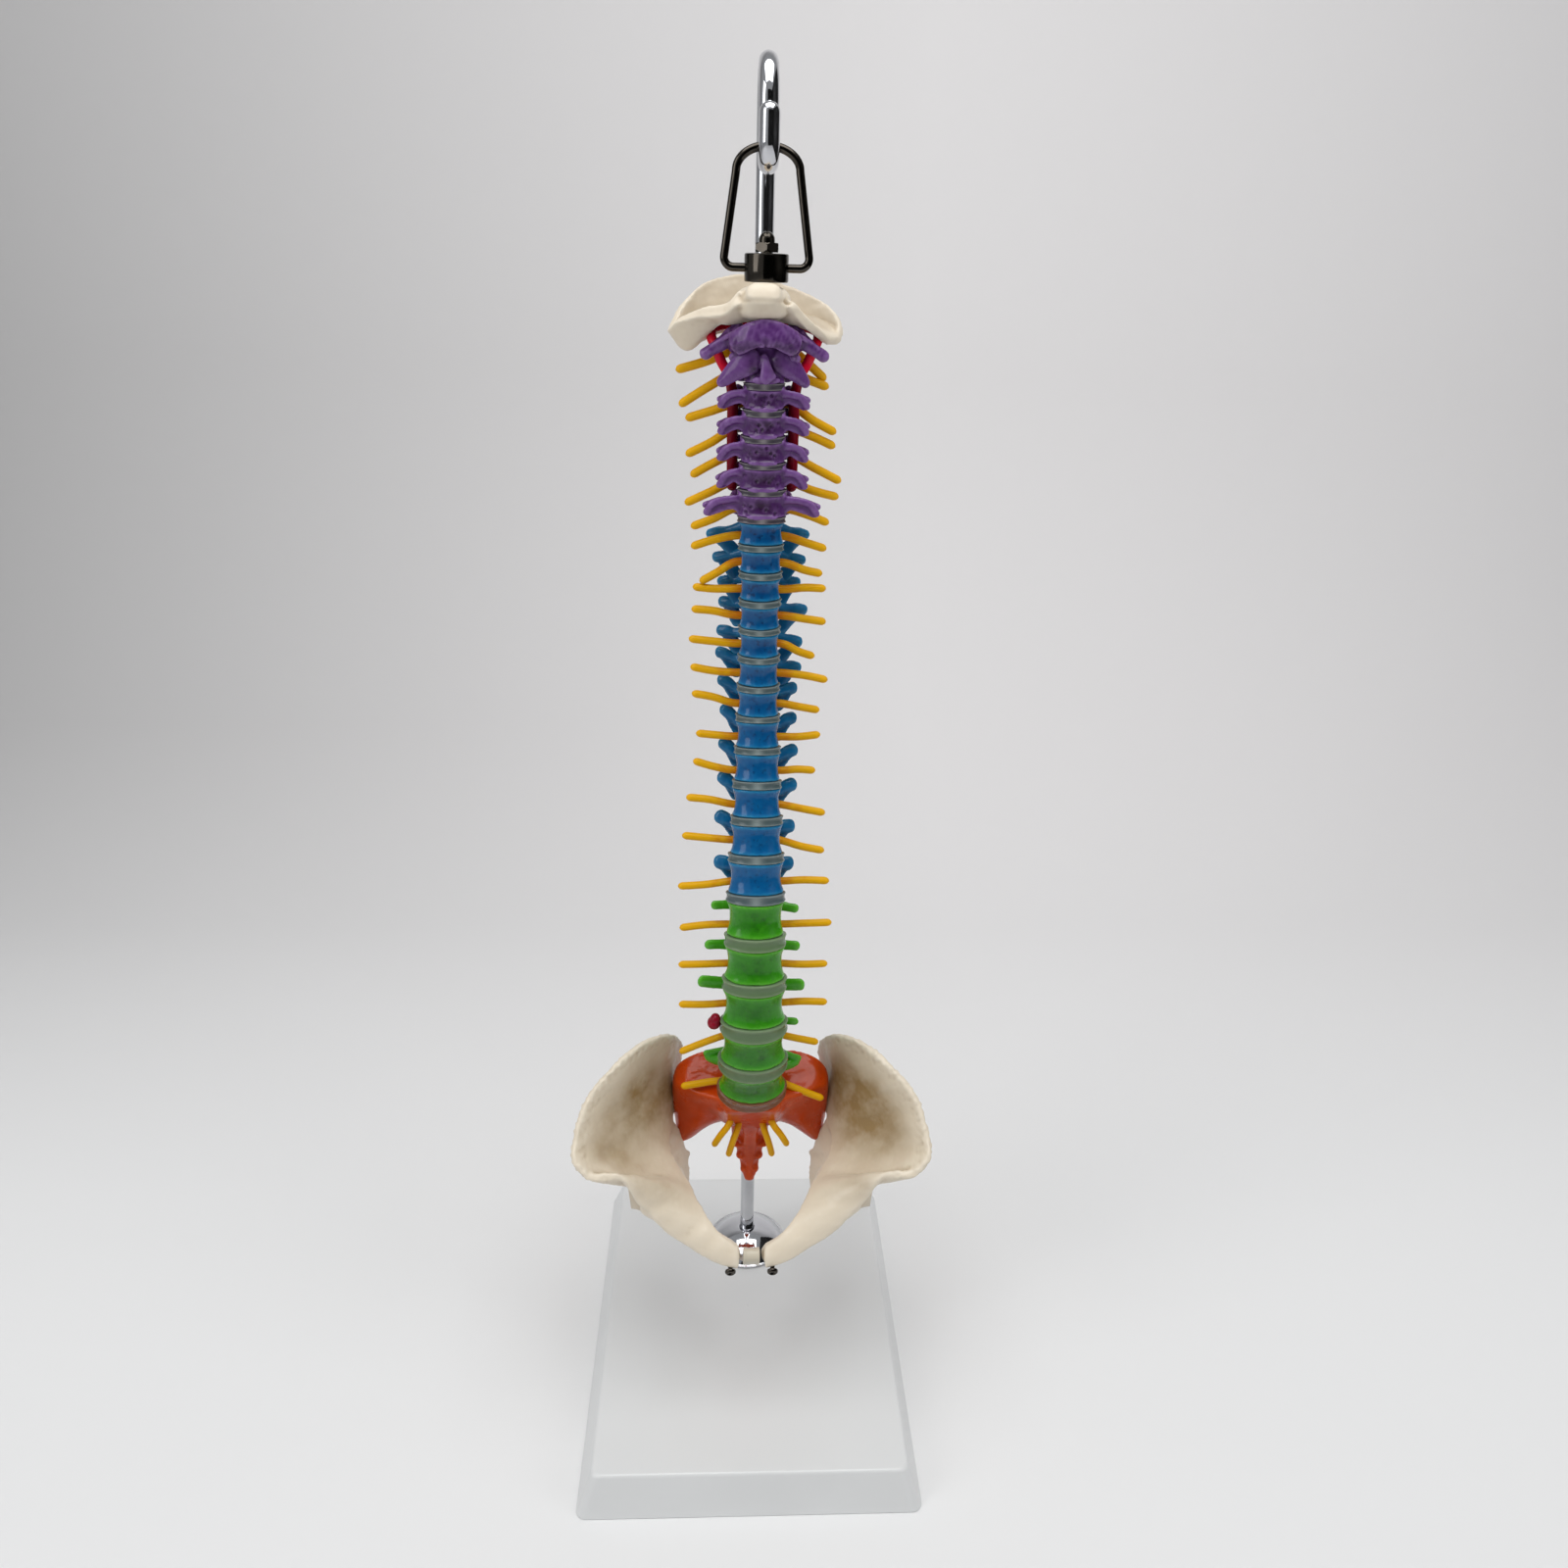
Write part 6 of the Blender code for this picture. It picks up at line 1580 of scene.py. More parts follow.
@dataclass
class SpineColumn:
    """The hanging column: skull base, vertebrae, discs, cord, arteries and pelvis."""

    plan: ColumnPlan
    palette: Palette
    disc_flare: float = 1.045
    disc_gap: float = 0.08
    core_radius: float = 1.5
    cord_radius: float = 2.1
    nerve_radius: float = 1.42
    neck_spans: tuple = (14.8, 15.2)
    prominent_span: float = 19.5
    neck_spines: tuple = (16.5, 21.2)
    chest_spines: tuple = (20.6, 24.6)
    chest_drops: tuple = (2.2, 8.4)
    chest_halves: tuple = (1.9, 2.9)
    # Strength of the painted waist shade and the dark specks, from the first chest vertebra to the last.
    chest_speckle_and_shade: tuple = (1.15, 0.40)
    chest_clubs: tuple = (
        (15.9, -3.1, 14.5, -2.9), (13.9, -2.0, 13.5, -2.5), (12.2, -1.2, 12.0, -1.1), (11.8, 1.0, 14.6, -1.4),
        (12.4, 0.5, 13.4, -3.2), (12.8, 2.6, 13.2, -2.4), (12.0, 3.2, 12.0, 0.6), (11.0, 3.6, 12.0, 0.8),
        (11.4, 3.2, 12.6, 0.9), (11.7, 3.4, 12.5, 0.8), (12.6, 2.0, 12.0, -1.5), (12.8, -1.2, 11.8, -1.5),
    )
    loin_spines: tuple = (27.0, 26.2)
    loin_tabs: tuple = (
        (16.4, 0.1, 16.4, -1.5, 1.9, 0.0), (18.6, 1.6, 17.2, 1.0, 2.1, 0.0), (21.2, 4.4, 19.4, 2.5, 2.7, 0.0),
        (16.6, 3.0, 17.6, 3.4, 1.9, 0.0), (19.4, 3.4, 19.6, 0.8, 1.9, 5.4),
    )
    artery_half_gap: float = 9.8
    artery_loop: tuple = (
        (13.4, 3.4, -9.0), (15.2, 2.7, -4.8), (16.7, 5.0, -1.4), (16.0, 7.2, 0.6),
        (11.8, 10.2, 1.8), (5.6, 12.2, 2.6),
    )
    nerve_tips: tuple = (
        ("C1", 0.02, 28, -7.0, 20, -8.9), ("C2", 0.02, 27, -11.0, 21, -4.5), ("C3", 0.02, 25, -5.5, 24, -9.0),
        ("C4", 0.02, 25, -9.5, 24, -6.0), ("C5", 0.02, 23.5, -8.0, 26.5, -9.0), ("C6", 0.02, 25.5, -8.5, 26, -5.5),
        ("C7", 0.02, 23.5, -7.0, 23, -5.0), ("T1", 0.02, 23.5, -4.5, 22.5, -4.5), ("T2", 0.02, 20.5, -7.5, 21.5, -4.0),
        ("T3", 0.02, 23, 0.0, 23, 0.0), ("T4", 0.02, 23.5, 1.5, 23.5, -2.5), ("T5", 0.02, 24.5, 1.0, 20, -5.0),
        ("T6", 0.02, 24, 1.5, 25, -3.0), ("T7", 0.02, 23.5, 3.0, 22.5, -3.0), ("T8", 0.02, 22, 0.5, 23, 0.5),
        ("T9", 0.02, 23, 3.0, 21.5, -0.5), ("T10", 0.02, 25.5, 2.0, 25.5, -4.0), ("T11", 0.02, 27, 1.0, 25.5, -5.0),
        ("T12", 0.15, 28.5, -3.0, 27.5, -0.5), ("L1", 0.33, 28, -2.5, 29, 0.0), ("L2", 0.33, 28.5, -1.5, 28, -1.0),
        ("L3", 0.33, 28.5, -1.5, 28.5, -0.5), ("L4", 0.33, 28.5, -9.5, 26, -5.0), ("L5", 0.60, 28, -3.0, 29, -9.5),
    )
    symphysis_centre: tuple = (0.0, -37.1, -49.5)
    screw_place: tuple = (8.0, -42.8, -51.0)
    screw_lean: float = 20.0
    prolapse_radius: float = 2.9
    levels: dict[str, Level] = field(init=False)
    sacrum: Sacrum = field(init=False)

    def __post_init__(self) -> None:
        """Hang the levels and hold the sacrum, which the other pieces are placed by."""
        self.levels = self.plan.levels()
        self.sacrum = Sacrum(self.levels["S1"])

    def vertebrae(self) -> None:
        """Make the 24 vertebrae of neck, chest and loin."""
        purple, blue, green = self.palette.purple, self.palette.blue, self.palette.green
        atlas = Atlas(self.plan.atlas_centre, self.levels["C2"].back, self.plan.neck_canal)
        placed(atlas.mesh("vertebra_c1_atlas"), purple, "cervical_1_atlas")
        placed(Axis(self.levels["C2"]).mesh("vertebra_c2_axis"), purple, "cervical_2_axis")
        for i in range(3, 8):
            s = (i - 3) / 4
            span = self.prominent_span if i == 7 else mix(self.neck_spans, s)
            bone = NeckVertebra(self.levels[f"C{i}"], span=span, spine_reach=mix(self.neck_spines, s))
            placed(bone.mesh(f"vertebra_c{i}"), purple, f"cervical_{i}")
        for i in range(1, 13):
            s = (i - 1) / 11
            steep = math.sin(math.pi * min(1.0, s * 1.15))
            reach = mix(self.chest_spines, s * s) - 1.4 * steep
            bone = ChestVertebra(self.levels[f"T{i}"], clubs=self.chest_clubs[i - 1], spine_reach=reach,
                                 club_half=mix(self.chest_halves, s), speckle_and_shade=mix(self.chest_speckle_and_shade, s),
                                 spine_drop=mix(self.chest_drops, steep))
            placed(bone.mesh(f"vertebra_t{i}"), blue, f"thoracic_{i}")
        for i in range(1, 6):
            *tabs, half, wedge = self.loin_tabs[i - 1]
            bone = LoinVertebra(self.levels[f"L{i}"], tabs=tuple(tabs), tab_half=half, wedge=wedge,
                                spine_reach=mix(self.loin_spines, (i - 1) / 4))
            placed(bone.mesh(f"vertebra_l{i}"), green, f"lumbar_{i}")

    def disc(self, upper: Level, lower: Level) -> Surface:
        """Disc between two bodies: a lip at each face and a slightly sunken wall between them.

        Args:
            upper: the level above.
            lower: the level below.

        Returns:
            The closed surface.
        """
        ring = body_ring((upper.width + lower.width) / 2 * self.disc_flare,
                         (upper.depth + lower.depth) / 2 * self.disc_flare, 72)
        a = ring @ lower.turn.T + lower.at(0, 0, lower.height / 2 + self.disc_gap)
        b = ring @ upper.turn.T + upper.at(0, 0, -upper.height / 2 - self.disc_gap)
        t = np.array([0, 0.02, 0.08, 0.15, 0.26, 0.5, 0.74, 0.85, 0.92, 0.98, 1.0])
        width = np.array([0.95, 0.985, 0.995, 0.985, 0.965, 0.955, 0.965, 0.985, 0.995, 0.985, 0.95])
        middle_a, middle_b = a.mean(axis=0), b.mean(axis=0)
        line = middle_a + (middle_b - middle_a) * t[:, None]
        rings = a[None] + (b - a)[None] * t[:, None, None]
        rings = line[:, None] + (rings - line[:, None]) * width[:, None, None]
        return skinned(rings)

    def discs(self) -> None:
        """Make the core and the discs, the lowest one amber."""
        finishes = {"C": self.palette.neck_disc, "T": self.palette.chest_disc, "L": self.palette.loin_disc}
        names = list(self.levels)
        a = angles(72)
        # Painted highlight: a pale patch down the front of the neck and chest discs, and pale lines along every disc's
        # lips.
        patch = 0.6 * np.exp(-(np.cos(a) / 0.2) ** 2) * (np.sin(a) < 0)
        lips = np.array([0.1, 0.3, 0.5, 0.2, 0, 0, 0, 0.2, 0.5, 0.3, 0.1])
        glow = np.maximum(lips[:, None], patch[None] * np.sin(np.pi * np.linspace(0, 1, 11))[:, None] ** 0.5)
        for above, below in zip(names, names[1:]):
            mesh = mesh_of(f"disc_{above.lower()}_{below.lower()}", self.disc(self.levels[above], self.levels[below]))
            shine = glow if above[0] != "L" else 0 * glow + lips[:, None]
            set_value(mesh, "ridge", np.append(shine.ravel(), [0, 0]))
            placed(mesh, self.palette.amber if below == "S1" else finishes[above[0]], "column_core_discs")
        route = [self.plan.pivot + (0, 0, 8.3), self.levels["C2"].at(0, 0, 5.2)]
        route += [self.levels[name].at(0, 0, 0) for name in names[:-1]] + [self.levels["S1"].at(0, 0, -9.0)]
        core = carried(route, self.core_radius, 260, 20, upright=(0, 1, 0))
        placed(mesh_of("flexible_core", core), self.palette.core, "column_core_discs")

    def nerve_exit(self, name: str, drop: float) -> Array:
        """Place where a pair of roots leaves the canal, below the named vertebra's pedicles.

        Args:
            name: its name.
            drop: share of the bone's height to go down.

        Returns:
            The place.
        """
        if name == "C1":
            return self.plan.atlas_centre + (0, self.levels["C2"].back, -self.plan.atlas_height * 0.62)
        level = self.levels[name]
        return level.at(0, level.back - 0.8, -drop * level.height - 1.35 - 1.1)

    def cord(self) -> None:
        """Make the spinal cord with its pairs of nerve roots as one soft piece."""
        top = self.plan.atlas_centre + (0, self.levels["C2"].back, self.plan.atlas_height * 0.9)
        line = [top] + [lv.at(0, lv.back, 0) for name, lv in self.levels.items() if name != "S1"]
        foot = ((1, self.levels["S1"].back * 0.86), (2, 9.0), (4, 5.0), (5, 3.0))
        line += [self.sacrum.spot(k, 0, y) for k, y in foot]
        surfaces = [carried(line, self.cord_radius, 240, 24, upright=(0, 1, 0))]
        along = [np.full(len(surfaces[0].points), 0.15)]

        def strand(route: list, radius: float) -> None:
            """Add one root or branch, stored with how far along it each point lies."""
            surfaces.append(carried(route, radius, 32, 16, ends=1.3))
            along.append(np.append(np.repeat(np.linspace(0, 1, 32), 16), [0, 1]))

        for row, (name, drop, left, left_rise, right, right_rise) in enumerate(self.nerve_tips):
            out = self.nerve_exit(name, drop)
            neck = name[0] == "C" and name != "C7"
            near = 5.5 if name == "L5" else 0.0
            for sign, reach, rise in ((-1, left, left_rise), (1, right, right_rise)):
                knee = out + (sign * 8.5, (1.0 if neck else 0.0) - near, -0.2 - near * 0.5)
                tip = out + (sign * reach, (2.6 if neck else 1.0) - near * 1.6, rise - near * 0.4)
                middle = (knee + tip) / 2 + (0, 0, 0.5 * math.sin(row * 2.1 + sign))
                strand([out + (sign * 0.6, 0, 0), knee, middle, tip], self.nerve_radius)
        for k, side, drop, spread in ((3, 8.5, 12.0, 15.0), (4, 5.2, 15.0, 9.0)):
            for sign in (-1, 1):
                leave, step = self.sacrum.spot(k, sign * side, -8.5), sign * (spread - side)
                strand([self.sacrum.spot(k, 0, 6.0), self.sacrum.spot(k, sign * side * 0.7, 0.0), leave,
                        leave + (step * 0.6, -0.8, -drop * 0.5), leave + (step, 0.6, -drop)],
                       self.nerve_radius * 0.95)
        mesh = mesh_of("cord_and_nerves", gathered(surfaces))
        set_value(mesh, "along", np.concatenate(along))
        placed(mesh, self.palette.nerve, "spinal_cord_nerves")

    def arteries(self) -> None:
        """Make the vertebral artery of each side, up through the neck and round behind the atlas."""
        necks = [self.levels[f"C{i}"] for i in range(7, 2, -1)]
        route = [neck.at(self.artery_half_gap, neck.back - 3.6, 0.0) for neck in necks]
        route[0] = necks[0].at(self.artery_half_gap, necks[0].back - 3.6, necks[0].height / 2)
        route.append(self.levels["C2"].at(self.artery_half_gap + 1.4, 2.9, -3.6))
        route += [self.plan.atlas_centre + step for step in self.artery_loop]
        width = [(1.8, 1.8)] * 5 + [(1.6, 1.6)] * (len(route) - 5)
        surface = carried(route, width, 160, 24, upright=(0, 1, 0))
        for side, made in (("right", surface), ("left", surface.mirrored())):
            mesh = mesh_of(f"vertebral_artery_{side}", made)
            # Painted shade: the arteries are darker low in the neck, where they run between the processes.
            set_value(mesh, "along", (made.points[:, 2] - self.levels["C3"].centre[2]) / 10.0)
            placed(mesh, self.palette.artery, f"artery_{side}")

    def prolapse(self) -> None:
        """Make the bead of a slipped disc beside the third disc of the loin."""
        upper, lower = self.levels["L3"], self.levels["L4"]
        middle = (upper.at(0, 0, -upper.height / 2) + lower.at(0, 0, lower.height / 2)) / 2
        x = -(upper.width + lower.width) / 4 * 1.04 - self.prolapse_radius * 0.78 - 0.3
        bead = ellipsoid(middle + (x + 0.5, 0, 0.3), (2.6, 2.9, 2.5), sides=40)
        nose = ellipsoid(middle + (x + 1.0, -0.4, 2.2), (2.0, 2.2, 2.2), sides=32)
        mesh = fused("slipped_disc_bead", [bead, nose], 0.3, 6)
        set_value(mesh, "along", np.full(len(mesh.vertices), 0.5))
        placed(mesh, self.palette.wine, "disc_prolapse")

    def pelvis(self) -> None:
        """Make the sacrum, both hip bones, the disc between them and its two screws."""
        placed(self.sacrum.mesh("sacrum_and_tail_bone"), self.palette.orange, "sacrum_coccyx")
        hip = HipBone(self.levels["S1"].centre)
        for side in ("right", "left"):
            placed(hip.mesh(f"hip_blade_{side}", side == "left"), self.palette.ivory, f"hip_bone_{side}")
        middle = self.levels["S1"].centre + np.array(self.symphysis_centre)
        disc = carried([(-3.3, 0, 0), (-1.2, 0, 0), (1.2, 0, 0), (3.3, 0, 0)],
                       [(3.2, 6.5), (2.9, 6.0), (2.9, 6.0), (3.2, 6.5)], 20, 40, power=2.6, ends=0.08)
        placed(mesh_of("pubic_disc", disc.moved(middle, turn(0, 38))), self.palette.clear, "symphysis_disc")
        profile = [(0.25, 3.9), (0.55, 3.6), (0.9, 3.0), (0.9, 0.05), (2.0, 0.0), (2.1, -0.35), (1.95, -0.9),
                   (1.5, -1.3), (1.15, -1.4), (1.05, -1.25), (0.95, -0.5), (0.1, -0.45)]
        for side, sign in (("right", 1), ("left", -1)):
            place = self.levels["S1"].centre + np.array(self.screw_place) * (sign, 1, 1)
            screw = turned(profile[::-1], 40).moved(place, turn(0, self.screw_lean - 90))
            placed(mesh_of(f"pubic_screw_{side}", screw), self.palette.black, f"symphysis_screw_{side}")

    def build(self) -> None:
        """Make every piece of the column."""
        placed(SkullBase(self.plan.skull_top).mesh("skull_base"), self.palette.ivory, "occipital_bone")
        for step in (self.vertebrae, self.discs, self.cord, self.arteries, self.prolapse, self.pelvis):
            step()


# ---- stand


@dataclass
class Stand:
    """Base tray, flange, nut, hooked rod, bail, swivel block and cap nut."""

    plan: ColumnPlan
    palette: Palette
    base_width: float = 130.0
    base_depth: float = 167.0
    base_height: float = 16.0
    base_draft: float = 5.5
    base_corner: float = 4.0
    base_edge: float = 1.2
    base_wall: float = 2.5
    base_roof: float = 3.0
    rod_radius: float = 3.0
    rod_setback: float = 37.5
    rod_foot: float = 2.0
    flange_radius: float = 17.2
    flange_height: float = 8.5
    arch_height: float = 472.144
    cradle_setback: float = 8.5
    cradle_radius: float = 6.0
    cradle_drop: float = 10.5
    tip_rise: float = 6.5
    wire_radius: float = 1.25
    bail_height: float = 32.5
    bail_foot_half: float = 12.8
    bail_top_half: float = 9.4
    bail_arch_rise: float = 6.5
    bail_corner: float = 2.8
    block_radius: float = 6.7
    block_height: float = 8.0
    rod_bore: float = 3.3
    rib_half: float = 0.8
    ribs: tuple = (2, 3)

    def tray_ring(self, inset: float, radius: float, height: float, count: int = 16) -> Array:
        """Rectangle with rounded corners, set in from the base's foot, at a height.

        Args:
            inset: how far in.
            radius: radius of the corners.
            height: the height.
            count: points round each corner.

        Returns:
            The ring's points.
        """
        a = np.linspace(0, np.pi / 2, count)
        rows = []
        for quarter in range(4):
            sx, sy = (1 if quarter in (0, 3) else -1), (1 if quarter in (0, 1) else -1)
            angle = a + quarter * np.pi / 2
            rows.append(np.stack([sx * (self.base_width / 2 - inset - radius) + radius * np.cos(angle),
                                  sy * (self.base_depth / 2 - inset - radius) + radius * np.sin(angle),
                                  np.full(count, height)], axis=1))
        return np.concatenate(rows)

    def tray(self) -> Surface:
        """Hollow tray: up the leaning outside, over the rounded edge, across the top; then the
        underside of the roof and down the inside of the wall back to the foot."""
        h, slope = self.base_height, self.base_draft / self.base_height
        rings = [self.tray_ring(0.3, self.base_corner, 0.0), self.tray_ring(0.02, self.base_corner, 0.35)]
        rings += [self.tray_ring(slope * z, self.base_corner, z) for z in np.linspace(1.0, h - self.base_edge, 8)]
        for a in np.linspace(0.2, np.pi / 2, 6):
            inset = slope * (h - self.base_edge) + self.base_edge * (1 - np.cos(a)) + 0.3 * np.sin(a)
            rings.append(self.tray_ring(inset, self.base_corner, h - self.base_edge * (1 - np.sin(a))))
        scale = np.linspace(0.97, 0.0, 14)[:, None, None]
        rim = rings[-1]
        top = rim[None] * np.where(scale > 0, scale, 0.002)
        top[..., 2] = h
        roof = self.tray_ring(slope * (h - self.base_roof) + self.base_wall, 2.75, h - self.base_roof)
        under = roof[None] * np.where(scale[::-1] > 0, scale[::-1], 0.002)
        under[..., 2] = h - self.base_roof
        foot = [roof, self.tray_ring(self.base_wall, 2.75, 0.3), self.tray_ring(self.base_wall - 0.4, 2.9, 0.0)]
        return skinned(np.concatenate([np.array(rings), top, under, np.array(foot)]), loop=True)

    def underside(self) -> list[Surface]:
        """Ribs, the middle pad and the rod's boss, under the roof."""
        high = self.base_height - self.base_roof + 0.5
        half_x, half_y = self.base_width / 2 - 1.6, self.base_depth / 2 - 1.6
        slope = self.base_draft / self.base_height

        def bar(a: tuple, b: tuple) -> Surface:
            """Upright wall from a to b with rounded long edges.

            Args:
                a: one end.
                b: the other end.

            Returns:
                The closed surface.
            """
            along = unit(np.array([b[0] - a[0], b[1] - a[1], 0.0]))
            side = np.array([-along[1], along[0], 0.0])
            w = self.rib_half
            profile = np.array([(-w, 1.4), (-0.5, 1.0), (0.5, 1.0), (w, 1.4), (w, high), (-w, high)])
            ends = []
            for point, sign in ((a, 1), (b, -1)):
                base = np.array([point[0], point[1], 0.0])
                lean = along[None] * (sign * slope * profile[:, 1:])
                ends.append(base + side[None] * profile[:, :1] + np.array([0, 0, 1.0]) * profile[:, 1:] + lean)
            return skinned(np.array(ends))

        along, across = self.ribs
        made = [bar((x, -half_y), (x, half_y))
                for x in (self.base_width * ((i + 1) / (along + 1) - 0.5) for i in range(along))]
        made += [bar((-half_x, y), (half_x, y))
                 for y in (self.base_depth * ((i + 1) / (across + 1) - 0.5) for i in range(across))]
        pad = turned([(9.4, 0.0), (10.0, 0.5), (10.0, high)], 48)
        boss = turned([(self.rod_bore, 8.5), (7.2, 8.5), (7.5, 8.9), (7.5, high), (self.rod_bore, high)], 40, loop=True)
        return made + [pad, boss.moved(np.array([0, self.rod_setback, 0]))]

    def rod_route(self) -> Array:
        """Middle line of the rod: up, over the arch and round the cradle to the tip."""
        leg = self.cradle_setback + self.cradle_radius
        arch, middle = (self.rod_setback - leg) / 2, (self.rod_setback + leg) / 2
        low = self.arch_height - self.cradle_drop
        a = np.linspace(0, np.pi, 40)
        straight = np.linspace(self.rod_foot, self.arch_height - 4, 30)
        zero = np.zeros_like
        parts = [np.stack([zero(straight), np.full_like(straight, self.rod_setback), straight], axis=1),
                 np.stack([zero(a), middle + arch * np.cos(a), self.arch_height + arch * np.sin(a)], axis=1),
                 np.stack([zero(a), self.cradle_setback + self.cradle_radius * np.cos(a),
                           low - self.cradle_radius * np.sin(a)], axis=1)[1:]]
        tip = self.cradle_setback - self.cradle_radius
        end = np.array([[0, tip, low + 2.0], [0, tip, low + 4.5], [0, tip, low + self.tip_rise + 2.85]])
        return np.concatenate(parts + [end])

    def bail_route(self) -> Array:
        """Middle line of the bail: out of the block, round a corner, up and over the hook."""
        y, z = self.plan.pivot[1], self.plan.pivot[2]
        top = z + self.bail_height
        waist = top - self.bail_arch_rise
        grip = self.block_radius - 3.4
        a = np.linspace(0, np.pi / 2, 12)[1:]
        corner = np.stack([self.bail_foot_half - self.bail_corner * (1 - np.sin(a)), np.full(11, y),
                           z + self.bail_corner * (1 - np.cos(a))], axis=1)
        b = np.linspace(0, np.pi / 2, 24)
        bow = np.stack([self.bail_top_half * np.cos(b), np.full(24, y), waist + self.bail_arch_rise * np.sin(b)],
                       axis=1)
        start = np.array([[grip, y, z], [self.bail_foot_half - self.bail_corner, y, z]])
        leg = corner[-1] + (bow[0] - corner[-1]) * np.linspace(0.1, 0.9, 8)[:, None]
        half = np.concatenate([start, corner, leg, bow])
        return np.concatenate([half, half[-2::-1] * (-1, 1, 1)])

    def build(self) -> None:
        """Make every piece of the stand and the swivel."""
        chrome, black = self.palette.chrome, self.palette.black
        base = mesh_of("base_tray", gathered([self.tray()] + self.underside()), 40)
        placed(base, self.palette.white, "base_plate", Body.STAND)
        foot, wide, high = self.base_height + 0.3, self.flange_radius, self.flange_height
        sphere = (wide ** 2 + high ** 2) / (2 * high)
        r = np.linspace(self.rod_bore, wide - 0.5, 24)
        dome = np.minimum(foot + np.sqrt(sphere ** 2 - r ** 2) - (sphere - high), foot + high)
        profile = list(zip(r, dome)) + [(wide, foot + 0.9), (wide, foot + 0.4), (wide - 0.2, foot),
                                        (wide - 1.5, foot), (self.rod_bore, dome[0] - 2.0)]
        flange = turned(profile, 96, loop=True).moved(np.array([0, self.rod_setback, 0]))
        placed(mesh_of("rod_cover_flange", flange), chrome, "rod_flange", Body.STAND)
        rod = carried(self.rod_route(), self.rod_radius, 260, 40, upright=(1, 0, 0), smooth=False)
        placed(mesh_of("hooked_rod", rod), chrome, "stand_rod", Body.STAND)
        nut = self.hexagon(10.0, 5.0, self.rod_bore).moved(np.array([0, self.rod_setback, 3.2]))
        placed(mesh_of("rod_hex_nut", nut, 30), chrome, "rod_nut", Body.STAND)
        bail = carried(self.bail_route(), self.wire_radius, 220, 28, upright=(0, 1, 0), smooth=False)
        placed(mesh_of("wire_bail", bail), black, "bail", Body.STAND)
        half, edge, big = self.block_height / 2, 0.5, self.block_radius
        upper = [(1.8, half), (big - edge, half), (big - 0.15, half - 0.15), (big, half - edge)]
        barrel = turned(upper + [(r, -z) for r, z in upper[::-1]], 72, loop=True).moved(self.plan.pivot)
        placed(mesh_of("swivel_barrel", barrel, 30), black, "swivel_block", Body.SWIVEL)
        cap = [(0.2, 0.3), (2.4, 0.6), (2.4, 3.4)]
        cap += [(2.4 * math.cos(t), 3.4 + 2.4 * math.sin(t)) for t in np.linspace(0.15, 1.5, 12)]
        acorn = gathered([self.hexagon(6.8, 2.6, 0.0), turned(cap, 48)]).moved(self.plan.pivot + (0, 0, half + 0.3))
        placed(mesh_of("acorn_nut", acorn, 35), black, "cap_nut")

    def hexagon(self, across: float, height: float, bore: float) -> Surface:
        """Hexagonal nut: its corners are cut back by a cone at both faces, as a turned nut's are.

        Args:
            across: size over the flats.
            height: the height.
            bore: radius of the hole, or 0.

        Returns:
            The closed surface.
        """
        a = angles(96)
        flat = across / 2 / np.cos((a + np.pi / 6) % (np.pi / 3) - np.pi / 6)
        rows = []
        for z, limit in ((0, 1.02), (0.18, 1.06), (0.45, 1.12), (0.75, 1.2)):
            rows.append((z * 0.8, np.minimum(flat, across / 2 * limit)))
        mirrored = [(height - z, r) for z, r in reversed(rows)]
        rings = np.array([np.stack([r * np.cos(a), r * np.sin(a), np.full(96, z)], axis=1)
                          for z, r in rows + mirrored])
        if not bore:
            return skinned(rings)
        inner = np.stack([bore * np.cos(a), bore * np.sin(a), np.zeros(96)], axis=1)
        hole = np.array([inner + (0, 0, height), inner])
        return skinned(np.concatenate([rings, hole]), loop=True)


# ---- studio


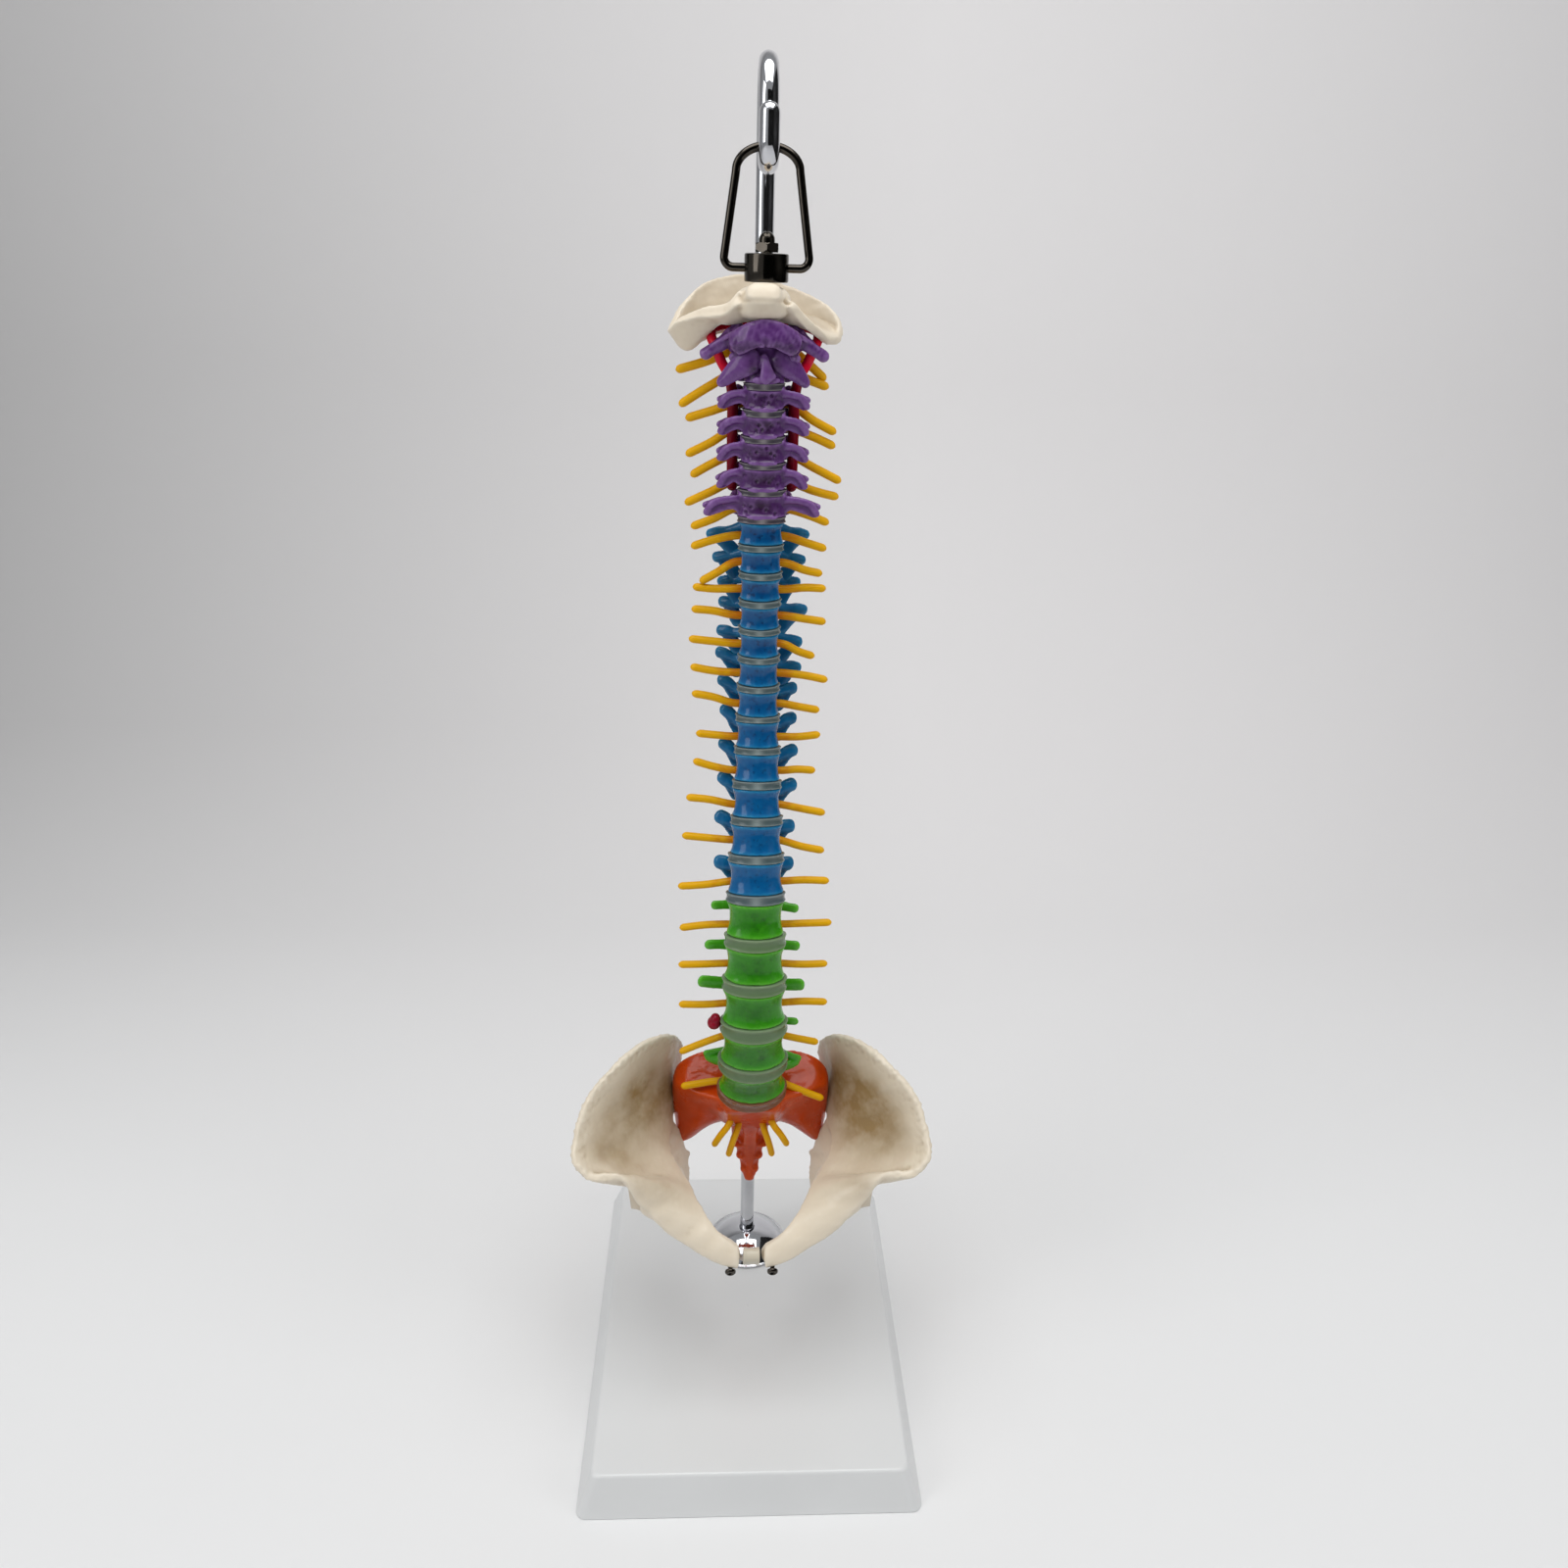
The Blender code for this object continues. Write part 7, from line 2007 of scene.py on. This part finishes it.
@dataclass
class Studio:
    """Pale sweep, soft lamps and the camera at the photograph's place."""

    camera_place: tuple = (-11.0, -379.4, 426.8)
    lens: float = 27.128
    sensor: float = 36.0
    pitch: float = 23.43
    yaw: float = -3.06
    roll: float = 1.64
    floor_colour: str = "e4e4e4"
    # The wall's colours hold painted shade, darker to the left.
    wall_left: str = "bcbbbb"
    wall_right: str = "e4e2e2"
    wall_distance: float = 700.0

    def camera(self) -> None:
        """Aim the camera: turned by its yaw, tipped down by its pitch and rolled about its view."""
        ya, p, r = (math.radians(v) for v in (self.yaw, self.pitch, self.roll))
        ahead = np.array([-math.sin(ya), math.cos(ya), 0.0])
        side = np.array([math.cos(ya), math.sin(ya), 0.0])
        up = np.array([0.0, 0.0, 1.0])
        look = ahead * math.cos(p) - up * math.sin(p)
        top = up * math.cos(p) + ahead * math.sin(p)
        right = side * math.cos(r) + top * math.sin(r)
        top = top * math.cos(r) - side * math.sin(r)
        data = bpy.data.cameras.new("photo_camera")
        data.lens, data.sensor_width = self.lens, self.sensor
        data.clip_start = 0.01
        camera = linked("photo_camera", data)
        rows = np.stack([right, top, -look, np.array(self.camera_place) * MM], axis=1).tolist()
        camera.matrix_world = Matrix(rows + [[0, 0, 0, 1]])
        bpy.context.scene.camera = camera

    def sheet(self, name: str, grid: Array, material: Material) -> Object:
        """Open sheet through a grid of points, which is there for the picture only.

        Args:
            name: its name.
            grid: points of shape (rows, columns, 3).
            material: its material.

        Returns:
            The object.
        """
        index = np.arange(grid.size // 3).reshape(grid.shape[:2])
        quads = np.stack([index[:-1, :-1], index[1:, :-1], index[1:, 1:], index[:-1, 1:]], axis=-1).reshape(-1, 4)
        mesh = mesh_of(name, Surface(grid.reshape(-1, 3), quads, np.zeros((0, 3), int)))
        mesh.materials.append(material)
        made = linked(name, mesh)
        return made

    def sweep(self) -> None:
        """Floor that curves up into a wall behind the model: a line carried from side to side."""
        far, radius, top = self.wall_distance, 350.0, 1500.0
        a = np.linspace(0, np.pi / 2, 24)
        y = np.concatenate([[-2500.0, -600.0], far - radius + radius * np.sin(a), [far]])
        z = np.concatenate([[0.0, 0.0], radius - radius * np.cos(a), [top]])
        x = np.linspace(-2600, 2600, 12)
        s = Shading("matt_paper_sweep")
        # Painted shade on the backdrop: from the floor's colour to the wall's, which darkens to the left.
        side, back = (s.add("MapRange", {0: s.add("SeparateXYZ", {0: s.place}, axis), 1: low * MM, 2: high * MM})
                      for axis, low, high in (("X", -650, 150), ("Y", 90, 560)))
        wall = s.add("Mix", {0: side, 6: linear(self.wall_left), 7: linear(self.wall_right)}, 2, **COLOUR)
        tint = s.add("Mix", {0: back, 6: linear(self.floor_colour), 7: wall}, 2, **COLOUR)
        grid = np.stack(np.broadcast_arrays(x[:, None], y[None], z[None]), axis=-1)
        self.sheet("studio_sweep", grid, s.done(Base_Color=tint, Roughness=0.9, Specular_IOR_Level=0.2))

    def card(self, name: str, corner: tuple, along: tuple) -> None:
        """Upright dark card that only polished metal sees: a flat grid from a corner along a line.

        Args:
            name: its name.
            corner: its lowest corner.
            along: step to the other side.
        """
        s, z = np.meshgrid(np.linspace(0, 1, 6), np.linspace(0, 1000, 6), indexing="ij")
        grid = np.array(corner, float) + s[..., None] * np.array(along, float) + z[..., None] * np.array([0, 0, 1.0])
        felt = Shading(name + "_felt").done(Base_Color=linear("0c0c0c"), Roughness=0.95)
        card = self.sheet(name, grid, felt)
        card.visible_diffuse = card.visible_shadow = card.visible_camera = card.visible_transmission = False

    def lamp(self, name: str, place: tuple, aim: tuple, size: tuple, watts: float) -> None:
        """Soft rectangular lamp at a place, turned towards a point.

        Args:
            name: its name.
            place: where it hangs.
            aim: the point.
            size: width and height.
            watts: its power.
        """
        data = bpy.data.lights.new(name, "AREA")
        data.shape = "RECTANGLE"
        data.size, data.size_y = size[0] * MM, size[1] * MM
        data.energy = watts
        lamp = linked(name, data)
        lamp.location = Vector(place) * MM
        lamp.rotation_euler = (Vector(aim) - Vector(place)).to_track_quat("-Z", "Y").to_euler()

    def light(self) -> None:
        """Lamps above and at the sides, and a pale fill all round."""
        self.lamp("top_softbox", (0, -150, 1100), (0, 0, 200), (900, 700), 6.6)
        self.lamp("left_softbox", (-900, -500, 700), (0, 0, 220), (500, 900), 3.6)
        self.lamp("right_softbox", (900, -400, 650), (0, 0, 220), (500, 900), 2.4)
        world = bpy.data.worlds.new("studio_fill")
        bpy.context.scene.world = world
        world.use_nodes = True
        tree = world.node_tree
        background = tree.nodes["Background"]
        background.inputs["Color"].default_value = linear("e4e6e8")
        background.inputs["Strength"].default_value = 0.42

    def build(self) -> None:
        """Make the studio."""
        self.camera()
        self.sweep()
        self.card("front_card", (-330.0, -1000.0, 40.0), (1200.0, 0.0, 0.0))
        self.card("right_card", (620.0, -900.0, 40.0), (0.0, 1300.0, 0.0))
        self.light()
        bpy.context.scene.view_settings.view_transform = "Standard"


def main() -> None:
    """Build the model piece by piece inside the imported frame, then the studio."""
    logging.basicConfig(level=logging.INFO, format="%(name)s %(message)s")
    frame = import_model()
    LOG.info("frame: %d nodes", len(frame["nodes"]))
    plan, palette = ColumnPlan(), Palette()
    Stand(plan, palette).build()
    SpineColumn(plan, palette).build()
    Studio().build()


if __name__ == "__main__":
    main()
